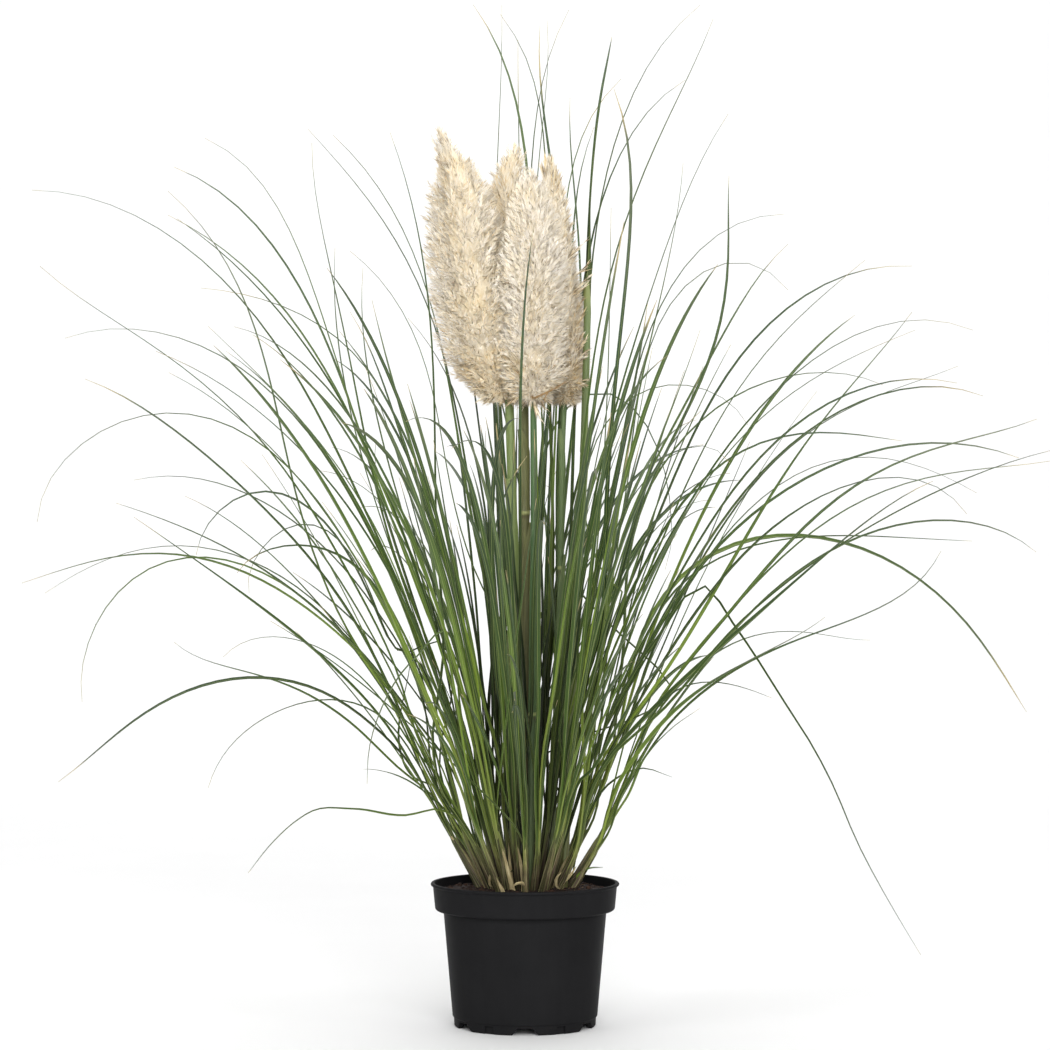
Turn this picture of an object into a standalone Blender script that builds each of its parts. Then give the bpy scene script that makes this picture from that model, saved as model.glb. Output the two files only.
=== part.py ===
"""Potted pampas grass: a clump of grass shoots and flower stems with their plumes, in soil, in a round plastic plant pot.

Metres, +Z up. The origin is the middle of the pot's foot, on the surface it stands on. -Y is the front.
"""
import math

import bmesh
import bpy
import numpy as np

# ------------------------------------------------------------------ pot
POT_HEIGHT = 0.1746
POT_SIDES = 36
FOOT_R = 0.0850            # foot ring, at the floor
FOOT_TOP_R = 0.0868
FOOT_TOP_Z = 0.0110
FOOT_INNER_R = 0.0795
BODY_LOW_R = 0.08835       # wall, just above the foot
BODY_LOW_Z = 0.0125
BODY_TOP_R = 0.0995        # wall, just below the band
BAND_LOW_Z = 0.1410
BAND_LOW_R = 0.1099
BAND_TOP_R = 0.1123
LIP_R = 0.11515
LIP_Z = 0.1706
WALL = 0.0018
FLOOR_UNDER_Z = 0.0082
FLOOR_Z = 0.0104
NOTCHES = 6                # slots in the foot, one at the front
NOTCH_TOP_Z = 0.0086
NOTCH_TOP_HALF = math.radians(5.8)
NOTCH_FLOOR_HALF = math.radians(11.0)
RECESS_HALF = math.radians(4.0)   # shallow flute in the middle of each foot
RECESS_DEEP = 0.0015
DRAIN_R, DRAIN_AT = 0.0045, 0.064

# ------------------------------------------------------------------ soil
GAP = 0.0004               # between pieces that touch
SOIL_EDGE_Z = 0.1635
SOIL_CROWN_Z = 0.1700
SOIL_FLAT_R = 0.0720
SOIL_SIDES = 22

# ---------------------------------------------------------------- front view
# Leaf centrelines are laid out on a front view: u to the right, v down, one
# unit = 1.22 mm in the plane of the pot's axis. AXIS_U is the pot's axis and
# FLOOR_V the surface the pot stands on. The view is taken from VIEW_Y in front
# of the axis at the height VIEW_Z, so depth changes a leaf's scale a little.
VIEW_Y, VIEW_Z, VIEW_F = -4.0, 0.610, 3278.7
AXIS_U, AXIS_V = 525.0, 525.0
SOIL_V = 884.0

# Each leaf: widest width in front-view units, depth side (-1 towards the
# viewer, 1 away, 0 close to the plane of the axis), shape ("s" one smooth
# sweep, "k" with a crease), then points from the tip down towards the clump.
LEAVES = [
    # upper left
    (4.6, 1, "s", (32, 190), (67, 192), (125, 211), (165, 233), (201, 259), (234, 293), (279, 350), (330, 433), (353, 489), (394, 574), (433, 663)),
    (4.4, -1, "s", (205, 138), (237, 157), (263, 187), (286, 223), (306, 266), (333, 350), (350, 409), (368, 453), (394, 525), (422, 600)),
    (4.8, 0, "s", (174, 167), (201, 179), (234, 203), (263, 234), (290, 272), (315, 319), (345, 384), (363, 448), (398, 553), (433, 661)),
    (4.2, -1, "s", (168, 191), (187, 204), (214, 243), (234, 279), (259, 350), (295, 479), (312, 551), (350, 640), (394, 699)),
    (5.0, 1, "s", (168, 215), (216, 245), (257, 279), (286, 310), (312, 350), (350, 420), (376, 470), (404, 540)),
    (4.2, 1, "s", (201, 288), (232, 292), (281, 307), (312, 321), (350, 348), (389, 404), (417, 497), (445, 586), (458, 638)),
    (4.8, -1, "s", (40, 266), (74, 292), (129, 330), (183, 370), (234, 410), (295, 484), (335, 551), (379, 635), (427, 730)),
    (4.4, 1, "s", (65, 338), (125, 329), (167, 335), (212, 350), (271, 392), (306, 433), (350, 495), (391, 576), (425, 650)),
    (3.6, 1, "s", (208, 326), (234, 350), (266, 383), (300, 420), (330, 455), (368, 515)),
    (5.2, 1, "s", (308, 129), (350, 176), (377, 212), (401, 252), (424, 297), (439, 341), (458, 420), (474, 522), (504, 689)),
    (5.6, 1, "s", (333, 135), (350, 153), (383, 196), (415, 254), (433, 312), (450, 400), (480, 561), (495, 640)),
    (4.6, -1, "s", (312, 143), (315, 185), (324, 241), (335, 292), (348, 350), (363, 430), (381, 510), (420, 625)),
    (3.2, 1, "s", (335, 248), (333, 279), (337, 324), (350, 409), (368, 480), (395, 560)),
    (5.2, -1, "s", (390, 132), (406, 179), (417, 230), (424, 268), (430, 330), (435, 433), (435, 510), (438, 600), (448, 700)),
    (4.0, 1, "s", (350, 251), (363, 261), (388, 290), (408, 324), (421, 350), (440, 430), (458, 520)),
    (3.0, -1, "s", (363, 268), (364, 335), (372, 400), (391, 470), (410, 540)),
    (4.6, 1, "s", (350, 312), (361, 330), (370, 350), (391, 407), (404, 445), (443, 561), (474, 689)),
    (4.2, 1, "s", (408, 318), (428, 340), (447, 380), (474, 450), (486, 520)),
    # left
    (4.8, -1, "s", (85, 379), (112, 391), (152, 415), (190, 441), (248, 493), (312, 564), (350, 611), (394, 699)),
    (4.0, 1, "s", (37, 522), (45, 495), (67, 457), (107, 428), (145, 416), (201, 416), (234, 426), (288, 468), (350, 553), (380, 600)),
    (4.4, 1, "s", (134, 480), (167, 477), (201, 479), (234, 487), (268, 506), (312, 537), (350, 575), (415, 680)),
    (4.2, -1, "s", (196, 555), (205, 533), (219, 511), (245, 493), (263, 491), (288, 497), (335, 535), (384, 630)),
    (4.0, 1, "s", (249, 593), (257, 562), (268, 540), (290, 525), (312, 525), (335, 535), (363, 580), (390, 640)),
    (4.4, 1, "s", (185, 496), (214, 512), (241, 529), (268, 551), (324, 613), (350, 640), (384, 690)),
    (4.6, 1, "s", (-7, 583), (33, 570), (78, 561), (123, 554), (152, 553), (190, 559), (223, 569), (268, 591), (312, 620), (350, 649), (394, 700)),
    (4.8, 1, "s", (116, 503), (170, 523), (201, 535), (239, 554), (279, 582), (350, 640), (402, 702)),
    (6.4, -1, "s", (134, 517), (165, 539), (194, 559), (245, 595), (290, 631), (350, 683), (390, 730)),
    (4.6, 1, "s", (82, 702), (84, 674), (94, 633), (112, 598), (138, 573), (174, 560), (223, 559), (262, 573), (300, 597), (345, 640), (390, 700)),
    (3.4, 0, "s", (45, 593), (89, 569), (123, 553), (156, 546), (190, 546), (223, 551), (260, 567), (300, 590), (340, 625), (385, 690)),
    (8.6, -1, "s", (237, 573), (252, 555), (279, 550), (312, 547), (335, 552), (368, 576), (390, 625), (415, 668), (438, 730)),
    (4.6, 1, "s", (174, 642), (201, 658), (234, 669), (257, 676), (286, 683), (317, 701), (350, 722), (390, 760)),
    (4.2, -1, "s", (223, 657), (234, 648), (257, 638), (272, 636), (297, 640), (324, 651), (350, 667), (385, 705)),
    (5.6, -1, "s", (58, 782), (89, 757), (123, 730), (156, 706), (190, 690), (223, 682), (257, 676), (290, 681), (319, 692), (350, 707), (390, 745)),
    (4.4, 1, "s", (208, 788), (214, 768), (234, 743), (252, 726), (272, 715), (301, 704), (324, 699), (350, 701), (390, 725), (415, 760)),
    (4.4, -1, "k", (248, 873), (272, 843), (296, 821), (315, 810), (350, 809), (395, 814), (424, 823), (448, 835), (462, 856)),
    (4.6, 0, "s", (363, 769), (390, 773), (410, 782), (439, 809), (462, 845)),
    (4.4, -1, "k", (367, 784), (369, 750), (379, 715), (400, 675), (425, 648), (443, 629), (452, 640), (458, 690), (468, 760)),
    (4.0, 1, "s", (404, 640), (402, 703), (402, 753), (411, 777), (439, 804), (462, 838)),
    (4.4, 1, "s", (376, 440), (383, 500), (394, 525), (415, 560), (440, 610), (470, 700)),
    # top, behind and before the plumes
    (4.8, 1, "s", (473, -9), (488, 11), (502, 45), (514, 85), (522, 125), (527, 180), (532, 300), (533, 448), (536, 561), (540, 625)),
    (5.0, 1, "s", (502, -8), (503, 22), (501, 67), (497, 134), (496, 200), (496, 300), (498, 394), (505, 470), (512, 560)),
    (4.0, 1, "s", (518, 40), (518, 89), (519, 147), (521, 250), (523, 330), (526, 450), (528, 560)),
    (4.4, 1, "s", (500, 14), (514, 36), (526, 60), (540, 100), (544, 134), (547, 250), (550, 400), (553, 500), (552, 600)),
    (4.4, 1, "s", (540, 26), (537, 50), (540, 78), (544, 112), (552, 161), (560, 260), (561, 399), (558, 470), (556, 586)),
    (5.0, 1, "s", (569, -6), (560, 18), (551, 36), (540, 74), (534, 125), (531, 200), (530, 300), (533, 400), (538, 520)),
    (4.2, 1, "s", (547, 21), (550, 50), (544, 107), (538, 158), (536, 260), (540, 380), (543, 500)),
    (6.6, -1, "s", (534, 226), (528, 266), (523.6, 320), (520, 410), (519, 480), (519, 600), (521, 700)),
    # upper right
    (4.8, 1, "s", (570, 98), (571, 145), (573, 179), (578, 223), (581, 290), (577, 389), (568, 474), (561, 561)),
    (4.8, 1, "s", (621, 79), (602, 100), (587, 125), (573, 165), (566, 210), (560, 300), (556, 407), (555, 474), (550, 600)),
    (5.0, 1, "s", (594, 127), (584, 156), (576, 205), (572, 260), (568, 340), (565, 420), (560, 520)),
    (5.2, -1, "s", (614, 89), (623, 120), (630, 161), (631, 201), (629, 268), (620, 330), (612, 420), (607, 510), (602, 586)),
    (4.6, 1, "s", (685, 80), (662, 91), (640, 123), (620, 161), (604, 199), (591, 237), (580, 320), (575, 420), (568, 540)),
    (5.8, 1, "s", (700, 5), (678, 24), (658, 49), (638, 87), (622, 120), (609, 170), (598, 214), (589, 300), (584, 420), (578, 540)),
    (7.6, -1, "s", (713, 19), (711, 33), (700, 53), (683, 85), (667, 120), (647, 165), (631, 205), (611, 281), (598, 335), (589, 390), (580, 500)),
    (5.2, 1, "s", (683, 163), (678, 208), (671, 245), (662, 290), (651, 350), (638, 394), (625, 458), (617, 535), (604, 620)),
    (5.2, -1, "s", (728, 114), (713, 143), (700, 168), (676, 214), (662, 252), (638, 340), (612, 430), (592, 500), (582, 600)),
    (3.2, -1, "s", (611, 208), (610, 290), (609, 350), (606, 430), (600, 520)),
    (4.4, 1, "s", (729, 176), (729, 223), (727, 268), (722, 312), (709, 366), (675, 430), (650, 490), (625, 580)),
    (4.2, -1, "s", (784, 214), (756, 220), (729, 228), (700, 246), (670, 290), (645, 350), (625, 420), (608, 520)),
    (5.0, 1, "s", (788, 244), (762, 272), (742, 301), (717, 350), (689, 394), (658, 458), (633, 510), (605, 610)),
    (3.6, 1, "s", (788, 290), (762, 271), (745, 264), (727, 261), (700, 268), (675, 300), (650, 360), (632, 430), (615, 520)),
    # right
    (4.6, -1, "s", (865, 260), (845, 277), (807, 310), (768, 350), (729, 404), (700, 457), (671, 520), (615, 650)),
    (4.8, 1, "s", (912, 266), (879, 269), (845, 277), (807, 292), (778, 315), (747, 350), (711, 406), (658, 510), (620, 620), (590, 690)),
    (5.0, -1, "s", (973, 330), (945, 324), (908, 321), (874, 326), (824, 350), (771, 399), (729, 448), (694, 494), (638, 599), (606, 670)),
    (4.4, 1, "s", (915, 330), (894, 338), (864, 350), (834, 369), (774, 408), (722, 457), (690, 510), (630, 640)),
    (5.2, -1, "s", (912, 312), (884, 350), (867, 367), (845, 392), (812, 435), (771, 497), (733, 562), (702, 610), (660, 680)),
    (4.0, 1, "s", (883, 385), (856, 375), (825, 372), (789, 377), (756, 388), (700, 419), (645, 500), (615, 580)),
    (4.6, 1, "s", (983, 396), (966, 390), (934, 386), (912, 387), (879, 397), (816, 426), (745, 490), (680, 590), (640, 660)),
    (4.4, -1, "s", (957, 383), (923, 380), (890, 381), (856, 390), (829, 404), (774, 444), (700, 540), (650, 630)),
    (5.2, 1, "s", (958, 366), (914, 381), (892, 391), (854, 406), (810, 432), (770, 465), (735, 510), (680, 600)),
    (4.6, -1, "s", (902, 441), (856, 435), (825, 432), (798, 435), (767, 441), (700, 482), (665, 530), (620, 620)),
    (4.4, 0, "s", (1019, 458), (968, 446), (923, 443), (890, 446), (856, 457), (812, 477), (767, 502), (702, 565), (660, 625)),
    (4.6, -1, "s", (1037, 419), (1001, 433), (957, 443), (912, 455), (883, 468), (825, 511), (767, 569), (700, 645), (660, 700)),
    (4.0, 1, "s", (977, 493), (945, 477), (912, 464), (883, 458), (856, 457), (815, 466), (770, 492), (730, 530), (680, 600)),
    (6.6, -1, "s", (1052, 450), (1012, 462), (968, 478), (923, 498), (890, 516), (825, 553), (770, 600), (699, 663), (653, 730)),
    (9.2, -1, "s", (933, 481), (890, 506), (856, 529), (820, 560), (767, 607), (718, 651), (671, 690), (640, 725)),
    (4.2, 0, "s", (1050, 461), (1012, 465), (979, 470), (930, 478), (880, 492), (830, 520), (750, 590), (690, 660)),
    (4.4, -1, "s", (967, 514), (941, 491), (914, 478), (890, 477), (856, 482), (800, 511), (735, 562), (671, 650), (640, 700)),
    (4.4, 1, "s", (1048, 552), (1024, 535), (990, 525), (957, 520), (923, 523), (856, 542), (810, 565), (730, 640), (680, 700)),
    (4.2, 1, "s", (972, 541), (923, 539), (879, 536), (834, 536), (789, 540), (722, 555), (695, 575), (640, 650)),
    (7.4, 1, "s", (1029, 712), (1019, 698), (990, 654), (957, 607), (923, 580), (890, 562), (856, 551), (789, 535), (733, 538), (676, 592), (620, 702)),
    (5.0, 1, "s", (941, 551), (919, 578), (901, 597), (879, 610), (825, 630), (789, 642), (722, 680), (660, 735)),
    (9.6, -1, "s", (825, 617), (800, 632), (783, 645), (730, 671), (689, 699), (658, 730), (620, 785)),
    (4.4, 1, "s", (870, 640), (834, 636), (800, 632), (778, 632), (745, 638), (690, 675), (650, 725)),
    (5.0, -1, "s", (772, 698), (745, 689), (722, 683), (700, 681), (680, 690), (640, 745)),
    (6.0, -1, "k", (921, 955), (901, 922), (879, 884), (856, 840), (834, 788), (812, 746), (785, 704), (756, 658), (722, 609), (702, 584), (671, 620), (625, 689), (600, 745)),
    (5.2, 0, "k", (700, 708), (672, 728), (645, 758), (628, 796), (603, 835), (592, 851)),
    # middle
    (6.0, -1, "s", (466, 330), (474, 389), (479, 427), (484, 474), (499, 566), (509, 640)),
    (5.0, 1, "s", (546, 330), (543, 433), (538, 500), (536, 560), (536, 640)),
    (4.0, -1, "s", (527, 456), (513, 476), (502, 505), (493, 545), (490, 620), (494, 700)),
    (3.4, 1, "s", (748, 425), (730, 404), (702, 388), (681, 385), (650, 390), (620, 405), (598, 440), (586, 520)),
    (3.4, -1, "s", (730, 463), (707, 446), (689, 446), (671, 458), (638, 489), (610, 545), (588, 630)),
    (3.2, 1, "s", (665, 570), (668, 515), (661, 458), (645, 427), (620, 398), (594, 381), (572, 392), (560, 440), (552, 540)),
    (5.6, -1, "s", (372, 300), (385, 352), (400, 410), (425, 490), (450, 580), (478, 690)),
    (6.2, 1, "s", (648, 300), (640, 360), (622, 440), (603, 540), (580, 660)),
    (5.8, -1, "s", (700, 330), (680, 390), (655, 450), (632, 520), (600, 620)),
    (6.4, 1, "s", (560, 330), (553, 430), (548, 540), (545, 660)),
]

SEED = 41
STATIONS = (0.0, 0.11, 0.27, 0.45, 0.64, 0.83, 1.0)   # along a leaf, fork to tip
HALF_X, HALF_Y, TOP_Z = 0.648, 0.585, 1.268           # how far the leaves reach
CLUMP_R = 0.060                                       # crown of the clump
N_SHOOTS = 46
LEAVES_PER_SHOOT = 4
CROWN_Z = 0.1703                                      # foot of every shoot
# flower stems: foot (x, y), then points up to the foot of the plume
STEMS = {
    "left": [(-0.012, -0.006, CROWN_Z), (-0.0145, -0.010, 0.40), (-0.0150, -0.012, 0.62), (-0.0190, -0.012, 0.757)],
    "back": [(0.002, 0.026, CROWN_Z), (0.001, 0.036, 0.40), (0.000, 0.040, 0.62), (-0.001, 0.043, 0.757)],
    "front": [(0.006, -0.030, CROWN_Z), (0.009, -0.040, 0.40), (0.0105, -0.044, 0.62), (0.0100, -0.046, 0.757)],
    "right": [(0.030, 0.006, CROWN_Z), (0.040, 0.012, 0.40), (0.0445, 0.015, 0.62), (0.0470, 0.015, 0.757)],
}
PETAL_R = 0.62                                        # where the leaves of a shoot part, in leaf widths from its middle
PETAL_TURN = 0.9                                      # and by how much a blade may be turned from the way it goes, to lie round it
STEM_R = {"left": 0.0046, "back": 0.0050, "front": 0.0046, "right": 0.0040}
CULM = [(0.047, -0.004, CROWN_Z), (0.0600, -0.012, 0.465), (0.0640, -0.014, 0.552), (0.0700, -0.015, 0.664), (0.0740, -0.014, 0.790), (0.0768, -0.012, 0.916)]
CULM_TIP = [(0.0800, -0.011, 1.010), (0.0920, -0.009, 1.130), (0.1020, -0.006, 1.184)]
# plumes: (height, x, y, half width)
PLUMES = {
    "left": [(0.7600, -0.0300, -0.012, 0.0095), (0.7880, -0.0430, -0.012, 0.0250), (0.8250, -0.0560, -0.012, 0.0370), (0.8850, -0.0705, -0.012, 0.0410), (0.9450, -0.0800, -0.012, 0.0385), (1.0050, -0.0860, -0.012, 0.0330), (1.0450, -0.0890, -0.012, 0.0210), (1.0700, -0.1000, -0.012, 0.0095), (1.0940, -0.1070, -0.012, 0.0030)],
    "back": [(0.7600, -0.0020, 0.046, 0.0100), (0.8050, -0.0080, 0.050, 0.0280), (0.8850, -0.0150, 0.053, 0.0335), (0.9450, -0.0185, 0.053, 0.0320), (1.0050, -0.0200, 0.050, 0.0270), (1.0420, -0.0175, 0.048, 0.0190), (1.0680, -0.0135, 0.047, 0.0090), (1.0770, -0.0115, 0.047, 0.0025)],
    "front": [(0.7600, 0.0090, -0.047, 0.0100), (0.7950, 0.0080, -0.049, 0.0270), (0.8400, 0.0100, -0.050, 0.0320), (0.8900, 0.0120, -0.050, 0.0340), (0.9500, 0.0130, -0.050, 0.0310), (1.0000, 0.0095, -0.049, 0.0220), (1.0250, 0.0060, -0.049, 0.0120), (1.0400, 0.0045, -0.049, 0.0030)],
    "right": [(0.7600, 0.0490, 0.016, 0.0090), (0.7900, 0.0540, 0.017, 0.0180), (0.8400, 0.0530, 0.018, 0.0230), (0.8850, 0.0465, 0.018, 0.0240), (0.9450, 0.0395, 0.018, 0.0220), (1.0050, 0.0350, 0.018, 0.0165), (1.0350, 0.0325, 0.018, 0.0100), (1.0630, 0.0290, 0.018, 0.0025)],
}


def smooth_sweep(points, t, degree):
    """x(t), y(t) of one smooth curve through the points, as a least-squares polynomial in the distance along them."""
    points = np.asarray(points, float)
    s = np.concatenate([[0.0], np.cumsum(np.linalg.norm(np.diff(points, axis=0), axis=1))])
    s /= s[-1]
    degree = min(degree, len(points) - 1)
    weight = np.ones(len(s))
    weight[0] = weight[-1] = 30.0
    basis = np.vander(s, degree + 1, increasing=True)
    out = np.vander(np.asarray(t, float), degree + 1, increasing=True)
    columns = []
    for k in range(2):
        c, *_ = np.linalg.lstsq(basis * weight[:, None], points[:, k] * weight, rcond=None)
        columns.append(out @ c)
    return np.stack(columns, axis=1)


def through(points, t):
    """A Catmull-Rom curve through the points, read at the fractions t of its length."""
    p = np.asarray(points, float)
    s = np.concatenate([[0.0], np.cumsum(np.linalg.norm(np.diff(p, axis=0), axis=1))])
    tangent = np.gradient(p, s, axis=0)
    at = np.clip(np.asarray(t, float), 0, 1) * s[-1]
    i = np.clip(np.searchsorted(s, at, side="right") - 1, 0, len(s) - 2)
    h = s[i + 1] - s[i]
    f = ((at - s[i]) / h)[:, None]
    h = h[:, None]
    return (
        (2 * f**3 - 3 * f**2 + 1) * p[i]
        + (f**3 - 2 * f**2 + f) * h * tangent[i]
        + (3 * f**2 - 2 * f**3) * p[i + 1]
        + (f**3 - f**2) * h * tangent[i + 1]
    )


def to_space(u, v, y):
    """The point at depth y that the front view shows at (u, v)."""
    k = (y - VIEW_Y) / VIEW_F
    return np.stack([(u - AXIS_U) * k, y, VIEW_Z - (v - AXIS_V) * k], axis=-1)


def to_view(p):
    k = VIEW_F / (p[..., 1] - VIEW_Y)
    return AXIS_U + p[..., 0] * k, AXIS_V + (VIEW_Z - p[..., 2]) * k


def spread_points(count, radius, keep, gap, rng):
    """Feet of the shoots: points in a disc, pushed apart from each other and from the points in keep."""
    golden = math.pi * (3 - math.sqrt(5))
    n = np.arange(count)
    r = radius * np.sqrt((n + 0.5) / count)
    p = np.stack([r * np.cos(n * golden), r * np.sin(n * golden)], axis=1)
    p += rng.normal(0, 0.002, p.shape)
    keep = np.asarray(keep, float)
    for _ in range(400):
        every = np.concatenate([p, keep])
        d = p[:, None] - every[None]
        dist = np.linalg.norm(d, axis=2) + 1e-9
        dist[np.arange(count), np.arange(count)] = 9.0
        push = np.clip(gap - dist, 0, None)[..., None] * d / dist[..., None]
        p = p + 0.35 * push.sum(axis=1)
        length = np.linalg.norm(p, axis=1, keepdims=True)
        p = np.where(length > radius, p * radius / length, p)
    return p


def clear_forks(feet, forks):
    """Leans the stalks of the shoots clear of the flower stems, the culm and each other."""
    posts = [np.array(points) for points in STEMS.values()] + [np.array(CULM)]
    forks = forks.copy()
    for _ in range(150):
        for level in (0.030, 0.050, 0.070, 0.090):
            share = np.clip(level / (forks[:, 2] - CROWN_Z), 0, 1.0)
            at = feet + (forks[:, :2] - feet) * share[:, None]
            there = level <= forks[:, 2] - CROWN_Z + 0.012
            others = np.array([[np.interp(CROWN_Z + level, q[:, 2], q[:, 0]), np.interp(CROWN_Z + level, q[:, 2], q[:, 1])] for q in posts])
            every = np.concatenate([at, others])
            need = np.concatenate([np.full(len(at), 0.0128), np.full(len(others), 0.0120)])
            d = at[:, None] - every[None]
            dist = np.linalg.norm(d, axis=2) + 1e-9
            dist[np.arange(len(at)), np.arange(len(at))] = 9.0
            dist[:, : len(at)][:, ~there] = 9.0
            push = np.clip(need[None] - dist, 0, None)[..., None] * d / dist[..., None]
            forks[:, :2] += 0.3 * push.sum(axis=1) * there[:, None]
    return forks


def grown_curve(leaf, fork, out_of_plane):
    """The arch of a leaf from its length, its direction and its angles from upright at both ends."""
    fine = np.linspace(0, 1, 25)
    angle = leaf["a0"] + (leaf["a1"] - leaf["a0"]) * fine ** leaf["bend"]
    step = leaf["length"] / 24
    mid = (angle[1:] + angle[:-1]) / 2
    r = np.concatenate([[0], np.cumsum(np.sin(mid)) * step])
    z = np.concatenate([[0], np.cumsum(np.cos(mid)) * step])
    # the free end turns a little out of its own plane
    turn = out_of_plane * r**2 / max(leaf["length"], 0.1)
    e, f = np.array([math.cos(leaf["phi"]), math.sin(leaf["phi"])]), np.array([-math.sin(leaf["phi"]), math.cos(leaf["phi"])])
    return np.column_stack([fork[0] + r * e[0] + turn * f[0], fork[1] + r * e[1] + turn * f[1], fork[2] + z])


def hides_plumes(curve):
    """True where a leaf in front of the plumes rises past their lower edge in the front view."""
    u, v = to_view(curve)
    return bool(((np.abs(u - 506) < 88) & (v < 411) & (curve[:, 1] < -0.02)).any())


def leaf_field():
    """Every leaf as its centreline at STATIONS, with its width, shoot and shape. Nothing here depends on the material or the mesh."""
    rng = np.random.default_rng(SEED)
    feet_kept = [s[0][:2] for s in STEMS.values()] + [CULM[0][:2]]
    feet = spread_points(N_SHOOTS, CLUMP_R, feet_kept, 0.0142, rng)
    fork_h = rng.uniform(0.048, 0.088, N_SHOOTS)
    lean = 0.62 * feet / CLUMP_R                        # horizontal run per unit rise at the foot
    forks = clear_forks(feet, np.column_stack([feet + lean * fork_h[:, None], CROWN_Z + fork_h]))

    drawn = []
    for width, side, shape, *pts in LEAVES:
        pts = np.asarray(pts, float)
        u1, v1 = pts[-1]
        bu = np.clip((u1 - AXIS_U) / (1 + 0.01187 * (SOIL_V - v1)), -46, 46)
        reach = (pts[0, 0] - AXIS_U) * 0.00122
        height = VIEW_Z - (pts[0, 1] - AXIS_V) * 0.00122
        run = np.linalg.norm(np.diff(pts, axis=0), axis=1).sum() * 0.00122
        most = np.interp(height, [0.2, 0.6, 0.9, 1.1, 1.25], [0.50, 0.60, 0.60, 0.40, 0.22])
        rho = max(abs(reach) * rng.uniform(1.003, 1.11), most * rng.uniform(0.62, 1.0))
        y_tip = side * min(math.sqrt(max(rho**2 - reach**2, 0.0)), 0.56, 0.62 * run + 0.04)
        if side == 0:
            y_tip = rng.uniform(-0.10, 0.10)
        drawn.append(dict(width=width * 0.00122, shape=shape, pts=pts, bu=bu, y_tip=y_tip, want=(bu * 0.00122, 0.050 * y_tip / 0.5)))
    # the one that stands close in front of the plumes
    for leaf in drawn:
        if tuple(leaf["pts"][0]) == (534.0, 226.0):
            leaf["y_tip"] = -0.150
            leaf["want"] = (0.0, -0.050)
        # and one whose tip is lost behind them
        if tuple(leaf["pts"][0]) == (466.0, 330.0):
            leaf["y_tip"] = 0.100

    grown = []
    total = N_SHOOTS * LEAVES_PER_SHOOT
    while len(drawn) + len(grown) < total:
        n = len(grown)
        away = 1 if n % 2 else -1
        phi = away * math.radians(90 + np.clip(rng.normal(0, 22), -46, 46))
        kind = rng.random()
        if kind < 0.50:      # long outer sweep
            length, a0, a1 = rng.uniform(0.60, 0.88), rng.uniform(16, 36), rng.uniform(58, 104)
        elif kind < 0.86:    # upright
            length, a0, a1 = rng.uniform(0.46, 0.78), rng.uniform(3, 20), rng.uniform(18, 56)
        else:                # short outer
            length, a0, a1 = rng.uniform(0.24, 0.42), rng.uniform(28, 46), rng.uniform(60, 112)
        out = math.sin(math.radians(a0)) * 1.75
        want = 0.054 * min(out, 1.0)
        grown.append(dict(width=rng.uniform(4.4, 7.6) * 0.00122, shape="g", phi=phi, length=length, a0=math.radians(a0), a1=math.radians(a1),
                          bend=rng.uniform(1.3, 2.1), want=(want * math.cos(phi), want * math.sin(phi))))
    # the foremost and hindmost reach as far as the plant is deep
    for n, away in ((0, -1), (1, 1)):
        grown[n].update(phi=away * math.radians(90 + 6 * away), length=0.86, a0=math.radians(30), a1=math.radians(104), bend=1.5, want=(0.0, 0.056 * away))

    leaves = drawn + grown
    want = np.array([leaf["want"] for leaf in leaves])
    # leaves go to the shoots nearest to where they want to start, LEAVES_PER_SHOOT each
    cost = ((want[:, None] - feet[None]) ** 2).sum(axis=2)
    owner = np.full(len(leaves), -1)
    room = np.full(N_SHOOTS, LEAVES_PER_SHOOT)
    for i in np.argsort(-np.linalg.norm(want, axis=1)):
        for s in np.argsort(cost[i]):
            if room[s]:
                owner[i] = s
                room[s] -= 1
                break
    for _ in range(60):
        changed = 0
        for i in range(len(leaves)):
            gain = cost[i, owner[i]] + cost[np.arange(len(leaves)), owner] - cost[i, owner] - cost[np.arange(len(leaves)), owner[i]]
            j = int(np.argmax(gain))
            if gain[j] > 1e-7:
                owner[i], owner[j] = owner[j], owner[i]
                changed += 1
        if not changed:
            break

    fine = np.linspace(0, 1, 25)
    for leaf, s in zip(leaves, owner):
        leaf["shoot"] = int(s)
        fork = forks[s]
        if leaf["shape"] == "g":
            out_of_plane = rng.normal(0, 0.10)
            curve = grown_curve(leaf, fork, out_of_plane)
            # those in front lean out further, so that the plumes stay clear
            while hides_plumes(curve):
                leaf["a0"] += 0.025
                leaf["a1"] += 0.030
                if leaf["length"] < 0.86:
                    leaf["length"] *= 0.975
                curve = grown_curve(leaf, fork, out_of_plane)
        else:
            fu, fv = to_view(fork)
            pts = [(fu, fv)] + [tuple(p) for p in leaf["pts"][::-1] if p[1] < fv - 14 or leaf["shape"] == "k"]
            if leaf["shape"] == "k":
                above = [tuple(p) for p in leaf["pts"][::-1]]
                while len(above) > 2 and above[0][1] > fv - 14:
                    above.pop(0)
                uv = through([(fu, fv)] + above, fine)
            else:
                uv = smooth_sweep(pts, fine, 5 if len(pts) > 7 else 4)
            y = fork[1] + (leaf["y_tip"] - fork[1]) * fine**1.25
            curve = to_space(uv[:, 0], uv[:, 1], y)
        leaf["curve"] = curve
    for leaf in leaves:
        c = leaf["curve"]
        # the tips stay inside the reach in depth and height, by easing the free end back
        for axis, low, high in ((1, -HALF_Y, HALF_Y), (2, 0.070, TOP_Z), (0, -HALF_X, HALF_X)):
            over = max(c[:, axis].max() - high, 0) - max(low - c[:, axis].min(), 0)
            if over:
                c[:, axis] -= over * fine**1.5
        leaf["base"] = through(c, np.array(STATIONS))
        leaf["nodes"] = leaf["base"].copy()
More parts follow.
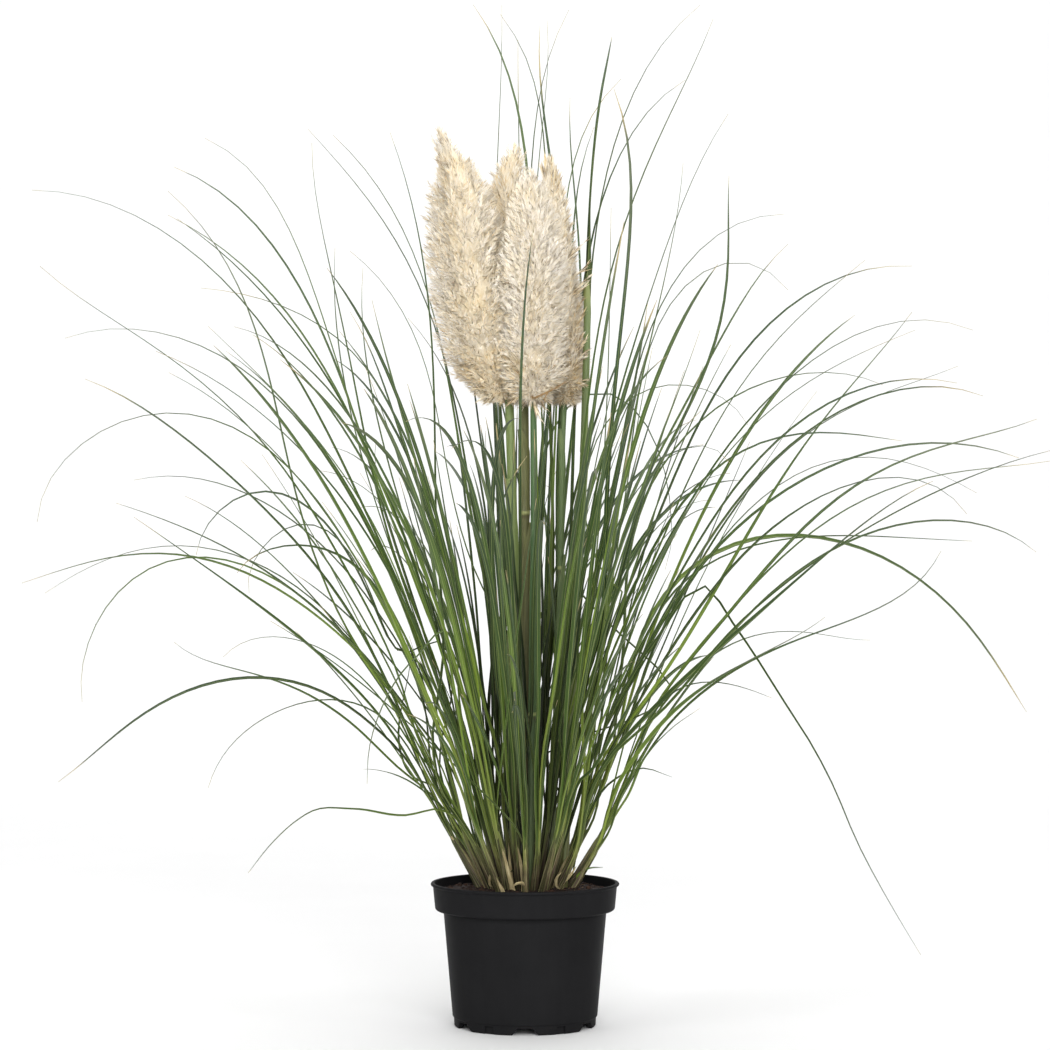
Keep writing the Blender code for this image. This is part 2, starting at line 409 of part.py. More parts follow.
    # the leaves of one shoot part like petals: each starts on its own side of the way they all go
    for s in range(N_SHOOTS):
        own = [leaf for leaf in leaves if leaf["shoot"] == s]
        axis, e1, e2 = fan_axes([leaf["base"][1] for leaf in own], forks[s])
        slots, angles = fan_slots([leaf["base"][2] for leaf in own], forks[s], axis, e1, e2)
        for which, angle in zip(slots, angles):
            leaf = own[which]
            r = PETAL_R * leaf["width"] * float(leaf_width(STATIONS[1])) + 0.0012
            rise = min(max(float((leaf["base"][1] - forks[s]) @ axis), 0.045), 0.55 * float((leaf["base"][2] - forks[s]) @ axis))
            leaf["nodes"][1] = forks[s] + axis * rise + r * (math.cos(angle) * e1 + math.sin(angle) * e2)
    turns = np.random.default_rng(SEED + 1).normal(0, 0.9, len(leaves))
    for leaf, turn in zip(leaves, turns):
        leaf["turn"] = float(turn)
    return leaves, feet, forks


def fan_axes(points, fork):
    """The way that the points lie from the fork on the whole, and two directions square to it."""
    way = np.asarray(points) - fork
    axis = (way / np.linalg.norm(way, axis=1, keepdims=True)).mean(axis=0)
    axis /= np.linalg.norm(axis)
    e1 = np.array([axis[2], 0.0, -axis[0]])
    e1 /= np.linalg.norm(e1)
    return axis, e1, np.cross(axis, e1)


def fan_slots(points, fork, axis, e1, e2):
    """The order of the points round the axis, and the evenly spaced angles that lie nearest to theirs."""
    way = np.asarray(points) - fork
    along = np.maximum(way @ axis, 0.3 * np.linalg.norm(way, axis=1))
    flat = np.column_stack([way @ e1, way @ e2]) / along[:, None]
    flat = flat - flat.mean(axis=0)
    beta = np.arctan2(flat[:, 1], flat[:, 0])
    order = np.argsort(beta)
    n = len(points)
    phase = beta[order] - np.arange(n) * 2 * math.pi / n
    start = math.atan2(np.sin(phase).sum(), np.cos(phase).sum())
    return [int(k) for k in order], [start + k * 2 * math.pi / n for k in range(n)]


def leaf_width(t):
    """Share of the full width at the fraction t of the way to the tip."""
    return np.interp(t, [0, 0.08, 0.25, 0.45, 0.64, 0.83, 0.95, 1.0], [0.62, 0.86, 1.0, 0.93, 0.72, 0.40, 0.16, 0.03])


def capsules(points, radii):
    """Ends and radii of the stretches between consecutive points."""
    return points[:-1], points[1:], radii[:-1], radii[1:]


def settle(leaves, feet, forks, rounds=260, gap=0.0007):
    """Pushes the leaves apart, and off the stems, the plumes and the shoots, until none passes through another."""
    count, last = len(leaves), len(STATIONS) - 1
    nodes = np.array([leaf["nodes"] for leaf in leaves])
    radius = np.array([leaf["width"] / 2 * leaf_width(STATIONS) for leaf in leaves])
    radius[:, 0] = 0.0046
    drawn = np.array([leaf["shape"] != "g" for leaf in leaves])
    shoot = np.array([leaf["shoot"] for leaf in leaves])
    ease = np.array([0.0, 0.55, 1.0, 1.0, 1.0, 1.0, 1.0])[None, :, None]
    free = np.where(drawn[:, None, None], np.array([0.35, 1.0, 0.35])[None, None, :], 1.0) * ease

    fixed_a, fixed_b, fixed_ra, fixed_rb, fixed_shoot = [], [], [], [], []
    def add(points, radii, owner=-2):
        a, b, ra, rb = capsules(np.asarray(points, float), np.asarray(radii, float))
        fixed_a.extend(a), fixed_b.extend(b), fixed_ra.extend(ra), fixed_rb.extend(rb)
        fixed_shoot.extend([owner] * len(a))
    for name, points in STEMS.items():
        add(points, [STEM_R[name] + 0.0004] * len(points))
    add(CULM + CULM_TIP, [0.0052] * len(CULM) + [0.0046] * len(CULM_TIP))
    for rings in PLUMES.values():
        rings = np.array(rings)
        add(rings[:, [1, 2, 0]], rings[:, 3] + 0.0006)
    for s in range(len(feet)):
        add([(*feet[s], CROWN_Z), forks[s]], [0.0062, 0.0050], s)
    fixed_a, fixed_b = np.array(fixed_a), np.array(fixed_b)
    fixed_ra, fixed_rb, fixed_shoot = np.array(fixed_ra), np.array(fixed_rb), np.array(fixed_shoot)

    leaf_of = np.repeat(np.arange(count), last)
    part_of = np.tile(np.arange(last), count)
    owner = np.concatenate([shoot[leaf_of], fixed_shoot])
    leaf_id = np.concatenate([leaf_of, -1 - np.arange(len(fixed_a))])
    part_id = np.concatenate([part_of, np.full(len(fixed_a), 9)])
    moving = len(leaf_of)
    worst = 0.0
    for turn in range(rounds):
        a = np.concatenate([nodes[:, :-1].reshape(-1, 3), fixed_a])
        b = np.concatenate([nodes[:, 1:].reshape(-1, 3), fixed_b])
        ra = np.concatenate([radius[:, :-1].reshape(-1), fixed_ra])
        rb = np.concatenate([radius[:, 1:].reshape(-1), fixed_rb])
        if turn % 6 == 0:
            middle, half = (a + b) / 2, np.linalg.norm(b - a, axis=1) / 2
            d2 = ((middle[:moving, None] - middle[None]) ** 2).sum(axis=2)
            near = d2 < (half[:moving, None] + half[None] + 0.055) ** 2
            i, j = np.nonzero(near)
            keep = (i < j) & (leaf_id[i] != leaf_id[j])
            same = owner[i] == owner[j]
            # leaves of one shoot part at its fork, and a leaf leaves its own shoot there
            keep &= ~(same & (part_id[i] == 0) & (part_id[j] == 9))
            i, j = i[keep], j[keep]
            same = owner[i] == owner[j]
        p1, d1, p2, d2v = a[i], b[i] - a[i], a[j], b[j] - a[j]
        r = p1 - p2
        aa, ee, ff = (d1 * d1).sum(1), (d2v * d2v).sum(1), (d2v * r).sum(1)
        cc, bb = (d1 * r).sum(1), (d1 * d2v).sum(1)
        denom = aa * ee - bb * bb
        s = np.where(denom > 1e-12, np.clip((bb * ff - cc * ee) / np.maximum(denom, 1e-12), 0, 1), 0.5)
        t = (bb * s + ff) / ee
        t2 = np.clip(t, 0, 1)
        s = np.clip(np.where(t2 != t, (bb * t2 - cc) / aa, s), 0, 1)
        t = t2
        c = (p1 + d1 * s[:, None]) - (p2 + d2v * t[:, None])
        dist = np.linalg.norm(c, axis=1)
        need = ra[i] * (1 - s) + rb[i] * s + ra[j] * (1 - t) + rb[j] * t + gap
        start = same & (part_id[i] == 0) & (part_id[j] == 0)
        # on the first stretch from one fork the gap opens gradually
        c1 = b[i] - b[j]
        dist = np.where(start, np.linalg.norm(c1, axis=1), dist)
        c = np.where(start[:, None], c1, c)
        need = np.where(start, (rb[i] + rb[j]) * 0.95, need)
        s, t = np.where(start, 1.0, s), np.where(start, 1.0, t)
        need = np.where(same & ~start & (np.minimum(part_id[i], part_id[j]) == 0), need * 0.8, need)
        deep = need - dist
        hit = deep > 0
        if not hit.any():
            break
        i_, j_, s_, t_, c_, dist_, deep_ = i[hit], j[hit], s[hit], t[hit], c[hit], dist[hit], deep[hit]
        worst = deep_.max()
        way = np.where(dist_[:, None] > 1e-6, c_ / np.maximum(dist_, 1e-6)[:, None], np.array([0.0, 1.0, 0.0]))
        # two drawn leaves that cross in the front view part in depth
        both = np.where(j_ < moving, drawn[leaf_of[np.minimum(j_, moving - 1)]], False) & drawn[leaf_of[i_]]
        flat = np.stack([way[:, 0] * 0.3, np.where(np.abs(way[:, 1]) < 0.05, np.where(((i_ + j_) % 2) == 0, 0.05, -0.05), way[:, 1]), way[:, 2] * 0.3], axis=1)
        flat /= np.linalg.norm(flat, axis=1, keepdims=True)
        way = np.where(both[:, None], flat, way)
        share = np.where(j_ < moving, 0.5, 1.0)
        push = np.zeros_like(nodes)
        amount = np.zeros(nodes.shape[:2] + (1,))
        def give(seg, f, vec):
            l, k = leaf_of[seg], part_of[seg]
            np.add.at(push, (l, k), vec * (1 - f)[:, None])
            np.add.at(push, (l, k + 1), vec * f[:, None])
            np.add.at(amount, (l, k), (1 - f)[:, None])
            np.add.at(amount, (l, k + 1), f[:, None])
        vec = way * (deep_ * share * 1.25 + 0.0001)[:, None]
        give(i_, s_, vec)
        m = j_ < moving
        give(j_[m], t_[m], -vec[m])
        push = push / np.maximum(amount, 0.7)
        # a leaf bends as a whole: neighbours follow a push
        spread = push.copy()
        spread[:, 1:-1] = 0.72 * push[:, 1:-1] + 0.14 * (push[:, :-2] + push[:, 2:])
        spread[:, -1] = 0.75 * push[:, -1] + 0.25 * push[:, -2]
        nodes = nodes + spread * free
        nodes[:, :, 1] = np.clip(nodes[:, :, 1], -HALF_Y, HALF_Y)
    for leaf, n in zip(leaves, nodes):
        leaf["nodes"], leaf["shift"] = n, n - leaf["base"]
    return int(hit.sum()), float(worst), turn


# ------------------------------------------------------------------ helpers
def clear_scene():
    for obj in list(bpy.data.objects):
        bpy.data.objects.remove(obj, do_unlink=True)


def material(name, colour, roughness, metallic=0.0):
    mat = bpy.data.materials.new(name)
    mat.use_nodes = True
    shader = mat.node_tree.nodes["Principled BSDF"]
    shader.inputs["Base Color"].default_value = (*colour, 1.0)
    shader.inputs["Roughness"].default_value = roughness
    shader.inputs["Metallic"].default_value = metallic
    mat.diffuse_color = (*colour, 1.0)
    return mat


def add_object(name, mesh, mat, smooth_deg=None, parent=None):
    mesh.materials.append(mat)
    obj = bpy.data.objects.new(name, mesh)
    bpy.context.scene.collection.objects.link(obj)
    if smooth_deg is not None:
        mesh.shade_smooth()
        mesh.set_sharp_from_angle(angle=math.radians(smooth_deg))
    if parent is not None:
        obj.parent = parent
    return obj


def turned(profile, sides, name):
    """A solid of revolution about Z. The profile runs from the axis, round the outside, back to the axis."""
    bm = bmesh.new()
    rings = []
    for r, z in profile:
        if r < 1e-9:
            rings.append([bm.verts.new((0.0, 0.0, z))])
        else:
            rings.append([bm.verts.new((r * math.cos(2 * math.pi * k / sides), r * math.sin(2 * math.pi * k / sides), z)) for k in range(sides)])
    for low, high in zip(rings, rings[1:]):
        for k in range(sides):
            n = (k + 1) % sides
            if len(low) == 1:
                bm.faces.new((low[0], high[n], high[k]))
            elif len(high) == 1:
                bm.faces.new((low[k], low[n], high[0]))
            else:
                bm.faces.new((low[k], low[n], high[n], high[k]))
    mesh = bpy.data.meshes.new(name)
    bm.to_mesh(mesh)
    bm.free()
    return mesh


def mesh_of(name, verts, faces):
    mesh = bpy.data.meshes.new(name)
    mesh.from_pydata([tuple(v) for v in verts], [], faces)
    mesh.validate()
    mesh.update()
    return mesh


def cutter_object(name, verts, faces):
    obj = bpy.data.objects.new(name, mesh_of(name, verts, faces))
    bpy.context.scene.collection.objects.link(obj)
    obj.hide_render = True
    obj.display_type = "WIRE"
    return obj


def cut(target, cutter):
    mod = target.modifiers.new("cut_" + cutter.name, "BOOLEAN")
    mod.operation = "DIFFERENCE"
    mod.solver = "EXACT"
    mod.object = cutter


def prism_block(quads_low, quads_high):
    """Vertices and faces of a six-sided block from its lower and upper outlines, both counter-clockwise from above."""
    verts = list(quads_low) + list(quads_high)
    faces = [(3, 2, 1, 0), (4, 5, 6, 7)] + [(k, (k + 1) % 4, 4 + (k + 1) % 4, 4 + k) for k in range(4)]
    return verts, faces


# ------------------------------------------------------------------ pot and soil
def make_pot(mat, parent):
    inner = BODY_TOP_R - WALL
    profile = [
        (0.0, FLOOR_UNDER_Z),
        (FOOT_INNER_R, FLOOR_UNDER_Z),
        (FOOT_INNER_R + 0.0006, 0.0),
        (FOOT_R, 0.0),
        (FOOT_R + 0.0013, 0.0016),
        (FOOT_TOP_R, FOOT_TOP_Z),
        (BODY_LOW_R, BODY_LOW_Z),
        (BODY_TOP_R, BAND_LOW_Z - 0.0006),
        (BAND_LOW_R - 0.0024, BAND_LOW_Z),
        (BAND_LOW_R - 0.0004, BAND_LOW_Z + 0.0016),
        (BAND_LOW_R, BAND_LOW_Z + 0.0040),
        (BAND_TOP_R, LIP_Z),
        (LIP_R - 0.0007, LIP_Z + 0.0004),
        (LIP_R, LIP_Z + 0.0016),
        (LIP_R - 0.0007, POT_HEIGHT - 0.0006),
        (LIP_R - 0.0022, POT_HEIGHT),
        (BAND_TOP_R - WALL, POT_HEIGHT - 0.0004),
        (BAND_LOW_R - WALL, BAND_LOW_Z + 0.0030),
        (inner, BAND_LOW_Z + 0.0008),
        (BODY_LOW_R - WALL, FLOOR_Z + 0.0022),
        (BODY_LOW_R - WALL - 0.0020, FLOOR_Z),
        (0.0, FLOOR_Z),
    ]
    pot = add_object("pot", turned(profile, POT_SIDES, "pot"), mat, 35, parent)

    verts, faces = [], []

    def add(block):
        v, f = block
        faces.extend([tuple(i + len(verts) for i in face) for face in f])
        verts.extend(v)

    def ring_point(r, angle, z):
        return (r * math.sin(angle), -r * math.cos(angle), z)

    def sector(r0, r1, angle, low_half, high_half, z0, z1):
        def outline(half, z):
            return [ring_point(r0, angle - half, z), ring_point(r1, angle - half, z), ring_point(r1, angle + half, z), ring_point(r0, angle + half, z)]
        return prism_block(outline(low_half, z0), outline(high_half, z1))

    for k in range(NOTCHES):
        angle = 2 * math.pi * k / NOTCHES
        # the slot's sides run on below the floor, so that the cut is clean there
        below = 0.004
        slope = (NOTCH_FLOOR_HALF - NOTCH_TOP_HALF) / NOTCH_TOP_Z
        add(sector(FOOT_INNER_R - 0.0035, FOOT_TOP_R + 0.010, angle, NOTCH_FLOOR_HALF + slope * below, NOTCH_TOP_HALF, -below, NOTCH_TOP_Z))
        middle = angle + math.pi / NOTCHES
        add(sector(FOOT_R - RECESS_DEEP, FOOT_TOP_R + 0.010, middle, RECESS_HALF, RECESS_HALF, -below, FOOT_TOP_Z - 0.0014))
    cut(pot, cutter_object("foot_slots", verts, faces))

    verts, faces = [], []
    for k in range(NOTCHES):
        angle = 2 * math.pi * k / NOTCHES + math.pi / NOTCHES
        x, y = DRAIN_AT * math.sin(angle), -DRAIN_AT * math.cos(angle)
        start, n = len(verts), 8
        for z in (FLOOR_UNDER_Z - 0.004, FLOOR_Z + 0.004):
            verts += [(x + DRAIN_R * math.cos(2 * math.pi * j / n), y + DRAIN_R * math.sin(2 * math.pi * j / n), z) for j in range(n)]
        faces.append(tuple(start + j for j in reversed(range(n))))
        faces.append(tuple(start + n + j for j in range(n)))
        faces += [(start + j, start + (j + 1) % n, start + n + (j + 1) % n, start + n + j) for j in range(n)]
    cut(pot, cutter_object("drain_holes", verts, faces))
    return pot


def make_soil(mat, parent):
    inner_top = BODY_TOP_R - WALL
    profile = [
        (0.0, FLOOR_Z + GAP),
        (BODY_LOW_R - WALL - 0.0024, FLOOR_Z + GAP),
        (BODY_LOW_R - WALL - 0.0008, FLOOR_Z + 0.0030),
        (inner_top - 0.0008, BAND_LOW_Z + 0.0010),
        (BAND_LOW_R - WALL - 0.0012, BAND_LOW_Z + 0.0036),
        (BAND_LOW_R - WALL + 0.0002, SOIL_EDGE_Z - 0.0010),
        (BAND_LOW_R - WALL - 0.0020, SOIL_EDGE_Z),
        (0.0900, SOIL_EDGE_Z + 0.0022),
        (SOIL_FLAT_R, SOIL_CROWN_Z),
        (0.0, SOIL_CROWN_Z),
    ]
    return add_object("soil", turned(profile, SOIL_SIDES, "soil"), mat, 35, parent)


# ------------------------------------------------------------------ stems, culm and plumes
def frames_along(points):
    """Tangents and two carried normals at each point."""
    p = np.asarray(points, float)
    tangent = np.gradient(p, axis=0)
    tangent /= np.linalg.norm(tangent, axis=1, keepdims=True)
    side = np.cross(tangent[0], (0.0, 1.0, 0.0))
    side /= np.linalg.norm(side)
    sides = []
    for t in tangent:
        side = side - t * (side @ t)
        side /= np.linalg.norm(side)
        sides.append(side)
    sides = np.array(sides)
    return tangent, sides, np.cross(tangent, sides)


def tube(points, radii, sides, name, tip=False, flat_ends=True):
    """A closed round tube along the points. With a tip, the last point is its end."""
    p = np.asarray(points, float)
    _, e1, e2 = frames_along(p)
    if flat_ends:
        # the first ring lies flat, turned as the next one is
        e1, e2 = e1.copy(), e2.copy()
        e1[0, 2] = 0.0
        e1[0] /= np.linalg.norm(e1[0])
        e2[0] = np.cross((0.0, 0.0, 1.0), e1[0])
    verts, faces = [], []
    count = len(p) - (1 if tip else 0)
    for k in range(count):
        for j in range(sides):
            a = 2 * math.pi * j / sides
            verts.append(p[k] + radii[k] * (math.cos(a) * e1[k] + math.sin(a) * e2[k]))
    for k in range(count - 1):
        for j in range(sides):
            n = (j + 1) % sides
            faces.append((k * sides + j, k * sides + n, (k + 1) * sides + n, (k + 1) * sides + j))
    faces.append(tuple(reversed(range(sides))))
    if tip:
        verts.append(p[-1])
        for j in range(sides):
            faces.append(((count - 1) * sides + j, (count - 1) * sides + (j + 1) % sides, len(verts) - 1))
    else:
        faces.append(tuple((count - 1) * sides + j for j in range(sides)))
    return mesh_of(name, verts, faces)


def make_stems(mats, parent):
    for name, points in STEMS.items():
        r = STEM_R[name]
        top = PLUMES[name][0]
        ends = list(points)
        ends[-1] = (top[1], top[2], top[0] - GAP)
        t = np.linspace(0, 1, 6)
        line = through(ends, t)
        add_object("stem_" + name, tube(line, [r * 1.12, r * 1.05, r, r, r * 0.95, r * 0.85], 8, "stem_" + name), mats["stem_" + name], 60, parent)
    line = list(CULM) + list(CULM_TIP)
    radii = [0.0050, 0.0044, 0.0042, 0.0038, 0.0034, 0.0028, 0.0022, 0.0012, 0.0]
    add_object("culm", tube(line, radii, 6, "culm", tip=True), mats["culm"], 60, parent)


def make_plumes(mat, parent):
    """The outer shape of each plume, as one closed solid: wide below the middle and drawn out to its tip."""
    sides = 12
    for name, rings in PLUMES.items():
        rings = np.array(rings)
        verts, faces = [], []
        count = len(rings) - 1
        for k in range(count):
            z, x, y, r = rings[k]
            for j in range(sides):
                a = 2 * math.pi * j / sides
                swell = 1.0 if k in (0, count - 1) else 1.0 - 0.055 * (1 + math.sin(2.0 * a + 1.3 * k)) * 0.5
                verts.append((x + r * swell * math.cos(a), y + r * swell * math.sin(a), z))
        for k in range(count - 1):
            for j in range(sides):
                n = (j + 1) % sides
                faces.append((k * sides + j, k * sides + n, (k + 1) * sides + n, (k + 1) * sides + j))
        faces.append(tuple(reversed(range(sides))))
        z, x, y, r = rings[-1]
        verts.append((x, y, z))
        for j in range(sides):
            faces.append(((count - 1) * sides + j, (count - 1) * sides + (j + 1) % sides, len(verts) - 1))
        add_object("plume_" + name, mesh_of("plume_" + name, verts, faces), mat, 40, parent)


# ------------------------------------------------------------------ shoots
def leaf_frames(leaf, away, axis):
    """At each station the direction along the leaf, across it, and through it towards its ridge."""
    p = leaf["nodes"]
    tangent = np.gradient(p, np.cumsum(np.r_[0, np.linalg.norm(np.diff(p, axis=0), axis=1)]), axis=0)
    tangent /= np.linalg.norm(tangent, axis=1, keepdims=True)
    heading = p[2, :2] - p[0, :2]
    if np.linalg.norm(heading) < 0.004:
        heading = np.array([1.0, 0.3])
    level = np.array([-heading[1], heading[0], 0.0])
    level -= tangent[1] * (level @ tangent[1])
    level /= np.linalg.norm(level)
    # where the leaves part, a blade lies round the way they all go, its ridge inwards, and further out it lies level
    round_it = np.cross(axis, away)
    round_it -= tangent[1] * (round_it @ tangent[1])
    round_it /= np.linalg.norm(round_it)
    if round_it @ level < 0:
        level = -level
    angle = math.atan2(np.cross(level, round_it) @ tangent[1], level @ round_it)
    angle = min(max(angle, -PETAL_TURN), PETAL_TURN)
    first = level * math.cos(angle) + np.cross(tangent[1], level) * math.sin(angle)
    out, across = [], None
    for k, t in enumerate(tangent):
        if k < 3:
            across = first if k < 2 else level
        across = across - t * (across @ t)
        across /= np.linalg.norm(across)
        up = np.cross(t, across)
        a = leaf["turn"] * max(STATIONS[k] - STATIONS[1], 0.0)
        out.append((t, across * math.cos(a) + up * math.sin(a), up * math.cos(a) - across * math.sin(a)))
    return out


def shoot_shell(leaves, foot, fork):
    """Corners and faces of one closed shoot: its sheaths rolled into a short stalk, which divides into its leaves."""
    n = len(leaves)
    ring1 = [leaf["nodes"][1] for leaf in leaves]
    axis, e1, e2 = fan_axes(ring1, fork)
    order, angles = fan_slots(ring1, fork, axis, e1, e2)
    corners = [a - math.pi / n for a in angles]

    verts, faces = [], []

    def ring(centre, r, x, y):
        first = len(verts)
        for a in corners:
            verts.append(tuple(np.asarray(centre) + r * math.cos(a) * x + r * math.sin(a) * y))
        return first

    low = ring((foot[0], foot[1], CROWN_Z), 0.0056, np.array([1.0, 0.0, 0.0]), np.array([0.0, 1.0, 0.0]))
    high = ring(fork, 0.0046, e1, e2)
    crotch = len(verts)
    verts.append(tuple(fork))
    # the end face is cut into triangles, as every other face is
    for k in range(1, n - 1):
        faces.append((low, low + k + 1, low + k))
    for k in range(n):
        m = (k + 1) % n
        faces.append((low + k, low + m, high + m))
        faces.append((low + k, high + m, high + k))

    for slot, which in enumerate(order):
        leaf = leaves[which]
        frames = leaf_frames(leaf, math.cos(angles[slot]) * e1 + math.sin(angles[slot]) * e2, axis)
        last = [crotch, high + slot, high + (slot + 1) % n]
        for k in range(1, len(STATIONS) - 1):
            t, across, up = frames[k]
            w = leaf["width"] * float(leaf_width(STATIONS[k]))
            thick = max(0.24 * w, 0.0007)
            c = leaf["nodes"][k]
            tri = [c + up * thick * 0.6, c - across * w / 2 - up * thick * 0.4, c + across * w / 2 - up * thick * 0.4]
            # counter-clockwise when seen with the leaf running away from the eye's far side
            if np.dot(np.cross(tri[1] - tri[0], tri[2] - tri[0]), t) < 0:
                tri = [tri[0], tri[2], tri[1]]
            old = np.array([verts[i] for i in last])
            new = np.array(tri)
            a, b = old - old.mean(axis=0), new - new.mean(axis=0)
            shift = min(range(3), key=lambda q: float(((a / np.linalg.norm(a) - np.roll(b, -q, axis=0) / np.linalg.norm(b)) ** 2).sum()))
            new = np.roll(new, -shift, axis=0)
            first = len(verts)
            verts.extend(tuple(v) for v in new)
            now = [first, first + 1, first + 2]
            for q in range(3):
                m = (q + 1) % 3
                p0, p1, p2, p3 = (np.array(verts[i]) for i in (last[q], last[m], now[m], now[q]))
                # of a four-cornered face's two diagonals, the one that bulges outwards
                if np.dot(np.cross(p1 - p0, p2 - p0), p3 - p0) <= 0:
                    faces += [(last[q], last[m], now[m]), (last[q], now[m], now[q])]
                else:
                    faces += [(last[q], last[m], now[q]), (last[m], now[m], now[q])]
            last = now
        tip = len(verts)
        verts.append(tuple(leaf["nodes"][-1]))
        for q in range(3):
            faces.append((last[q], last[(q + 1) % 3], tip))
    return np.array(verts), np.array(faces)


def make_shoot(number, leaves, foot, fork, mat, parent):
    verts, faces = shoot_shell(leaves, foot, fork)
    name = "shoot_%02d" % number
    add_object(name, mesh_of(name, verts.tolist(), faces.tolist()), mat, 50, parent)


def main():
    clear_scene()
    root = bpy.data.objects.new("potted_pampas_grass", None)
    bpy.context.scene.collection.objects.link(root)

    make_pot(material("pot_plastic", (0.016, 0.016, 0.018), 0.38), root)
    make_soil(material("soil", (0.050, 0.028, 0.019), 0.95), root)
    mats = {
        "stem_left": material("stem_light_green", (0.22, 0.33, 0.12), 0.45),
        "stem_back": material("stem_olive", (0.18, 0.17, 0.10), 0.50),
        "stem_front": material("stem_green", (0.10, 0.17, 0.07), 0.45),
        "stem_right": material("stem_mid_green", (0.13, 0.22, 0.08), 0.45),
        "culm": material("culm_green", (0.20, 0.30, 0.12), 0.45),
    }
    make_stems(mats, root)
    make_plumes(material("plume_cream", (0.80, 0.69, 0.54), 0.90), root)

    leaves, feet, forks = leaf_field()
    settle(leaves, feet, forks)
    greens = [material("leaf_green_%d" % k, c, 0.45) for k, c in enumerate([(0.07, 0.14, 0.06), (0.10, 0.19, 0.06), (0.15, 0.25, 0.06), (0.05, 0.11, 0.07)])]
    for s in range(N_SHOOTS):
        make_shoot(s + 1, [leaf for leaf in leaves if leaf["shoot"] == s], feet[s], forks[s], greens[s % 4], root)


main()
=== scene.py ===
"""Potted pampas grass: its looks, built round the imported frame.

Metres, +Z up. The origin is the middle of the pot's foot, on the surface it stands on. -Y is the front.
"""
import math

import bpy
import numpy as np
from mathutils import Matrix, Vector, noise


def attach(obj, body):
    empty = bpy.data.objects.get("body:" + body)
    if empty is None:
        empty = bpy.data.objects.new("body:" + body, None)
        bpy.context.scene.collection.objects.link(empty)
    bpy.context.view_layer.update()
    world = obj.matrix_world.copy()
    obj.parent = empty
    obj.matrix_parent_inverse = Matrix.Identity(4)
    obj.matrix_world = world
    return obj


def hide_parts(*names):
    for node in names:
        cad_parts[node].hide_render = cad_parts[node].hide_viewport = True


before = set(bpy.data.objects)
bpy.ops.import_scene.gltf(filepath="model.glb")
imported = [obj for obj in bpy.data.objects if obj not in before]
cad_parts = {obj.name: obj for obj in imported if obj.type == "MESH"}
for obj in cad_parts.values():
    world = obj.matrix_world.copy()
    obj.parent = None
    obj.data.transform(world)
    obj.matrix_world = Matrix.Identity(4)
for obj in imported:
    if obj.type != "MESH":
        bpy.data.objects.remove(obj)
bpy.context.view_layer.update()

# ------------------------------------------------------------------ pot and soil, as the frame has them
POT_HEIGHT = 0.1746
FOOT_R, FOOT_TOP_R, FOOT_TOP_Z, FOOT_INNER_R = 0.0850, 0.0868, 0.0110, 0.0795
BODY_LOW_R, BODY_LOW_Z, BODY_TOP_R = 0.08835, 0.0125, 0.0995
BAND_LOW_Z, BAND_LOW_R, BAND_TOP_R = 0.1410, 0.1099, 0.1123
LIP_R, LIP_Z = 0.11515, 0.1706
WALL = 0.0018
FLOOR_UNDER_Z, FLOOR_Z = 0.0082, 0.0104
NOTCHES, NOTCH_TOP_Z = 6, 0.0086
NOTCH_TOP_HALF, NOTCH_FLOOR_HALF = math.radians(5.8), math.radians(11.0)
RECESS_HALF, RECESS_DEEP = math.radians(4.0), 0.0015
DRAIN_R, DRAIN_AT = 0.0045, 0.064
SOIL_EDGE_Z, SOIL_CROWN_Z = 0.1635, 0.1700

# ---------------------------------------------------------------- front view
# Leaf centrelines are laid out on a front view: u to the right, v down, one
# unit = 1.22 mm in the plane of the pot's axis. AXIS_U is the pot's axis and
# FLOOR_V the surface the pot stands on. The view is taken from VIEW_Y in front
# of the axis at the height VIEW_Z, so depth changes a leaf's scale a little.
VIEW_Y, VIEW_Z, VIEW_F = -4.0, 0.610, 3278.7
AXIS_U, AXIS_V = 525.0, 525.0
SOIL_V = 884.0

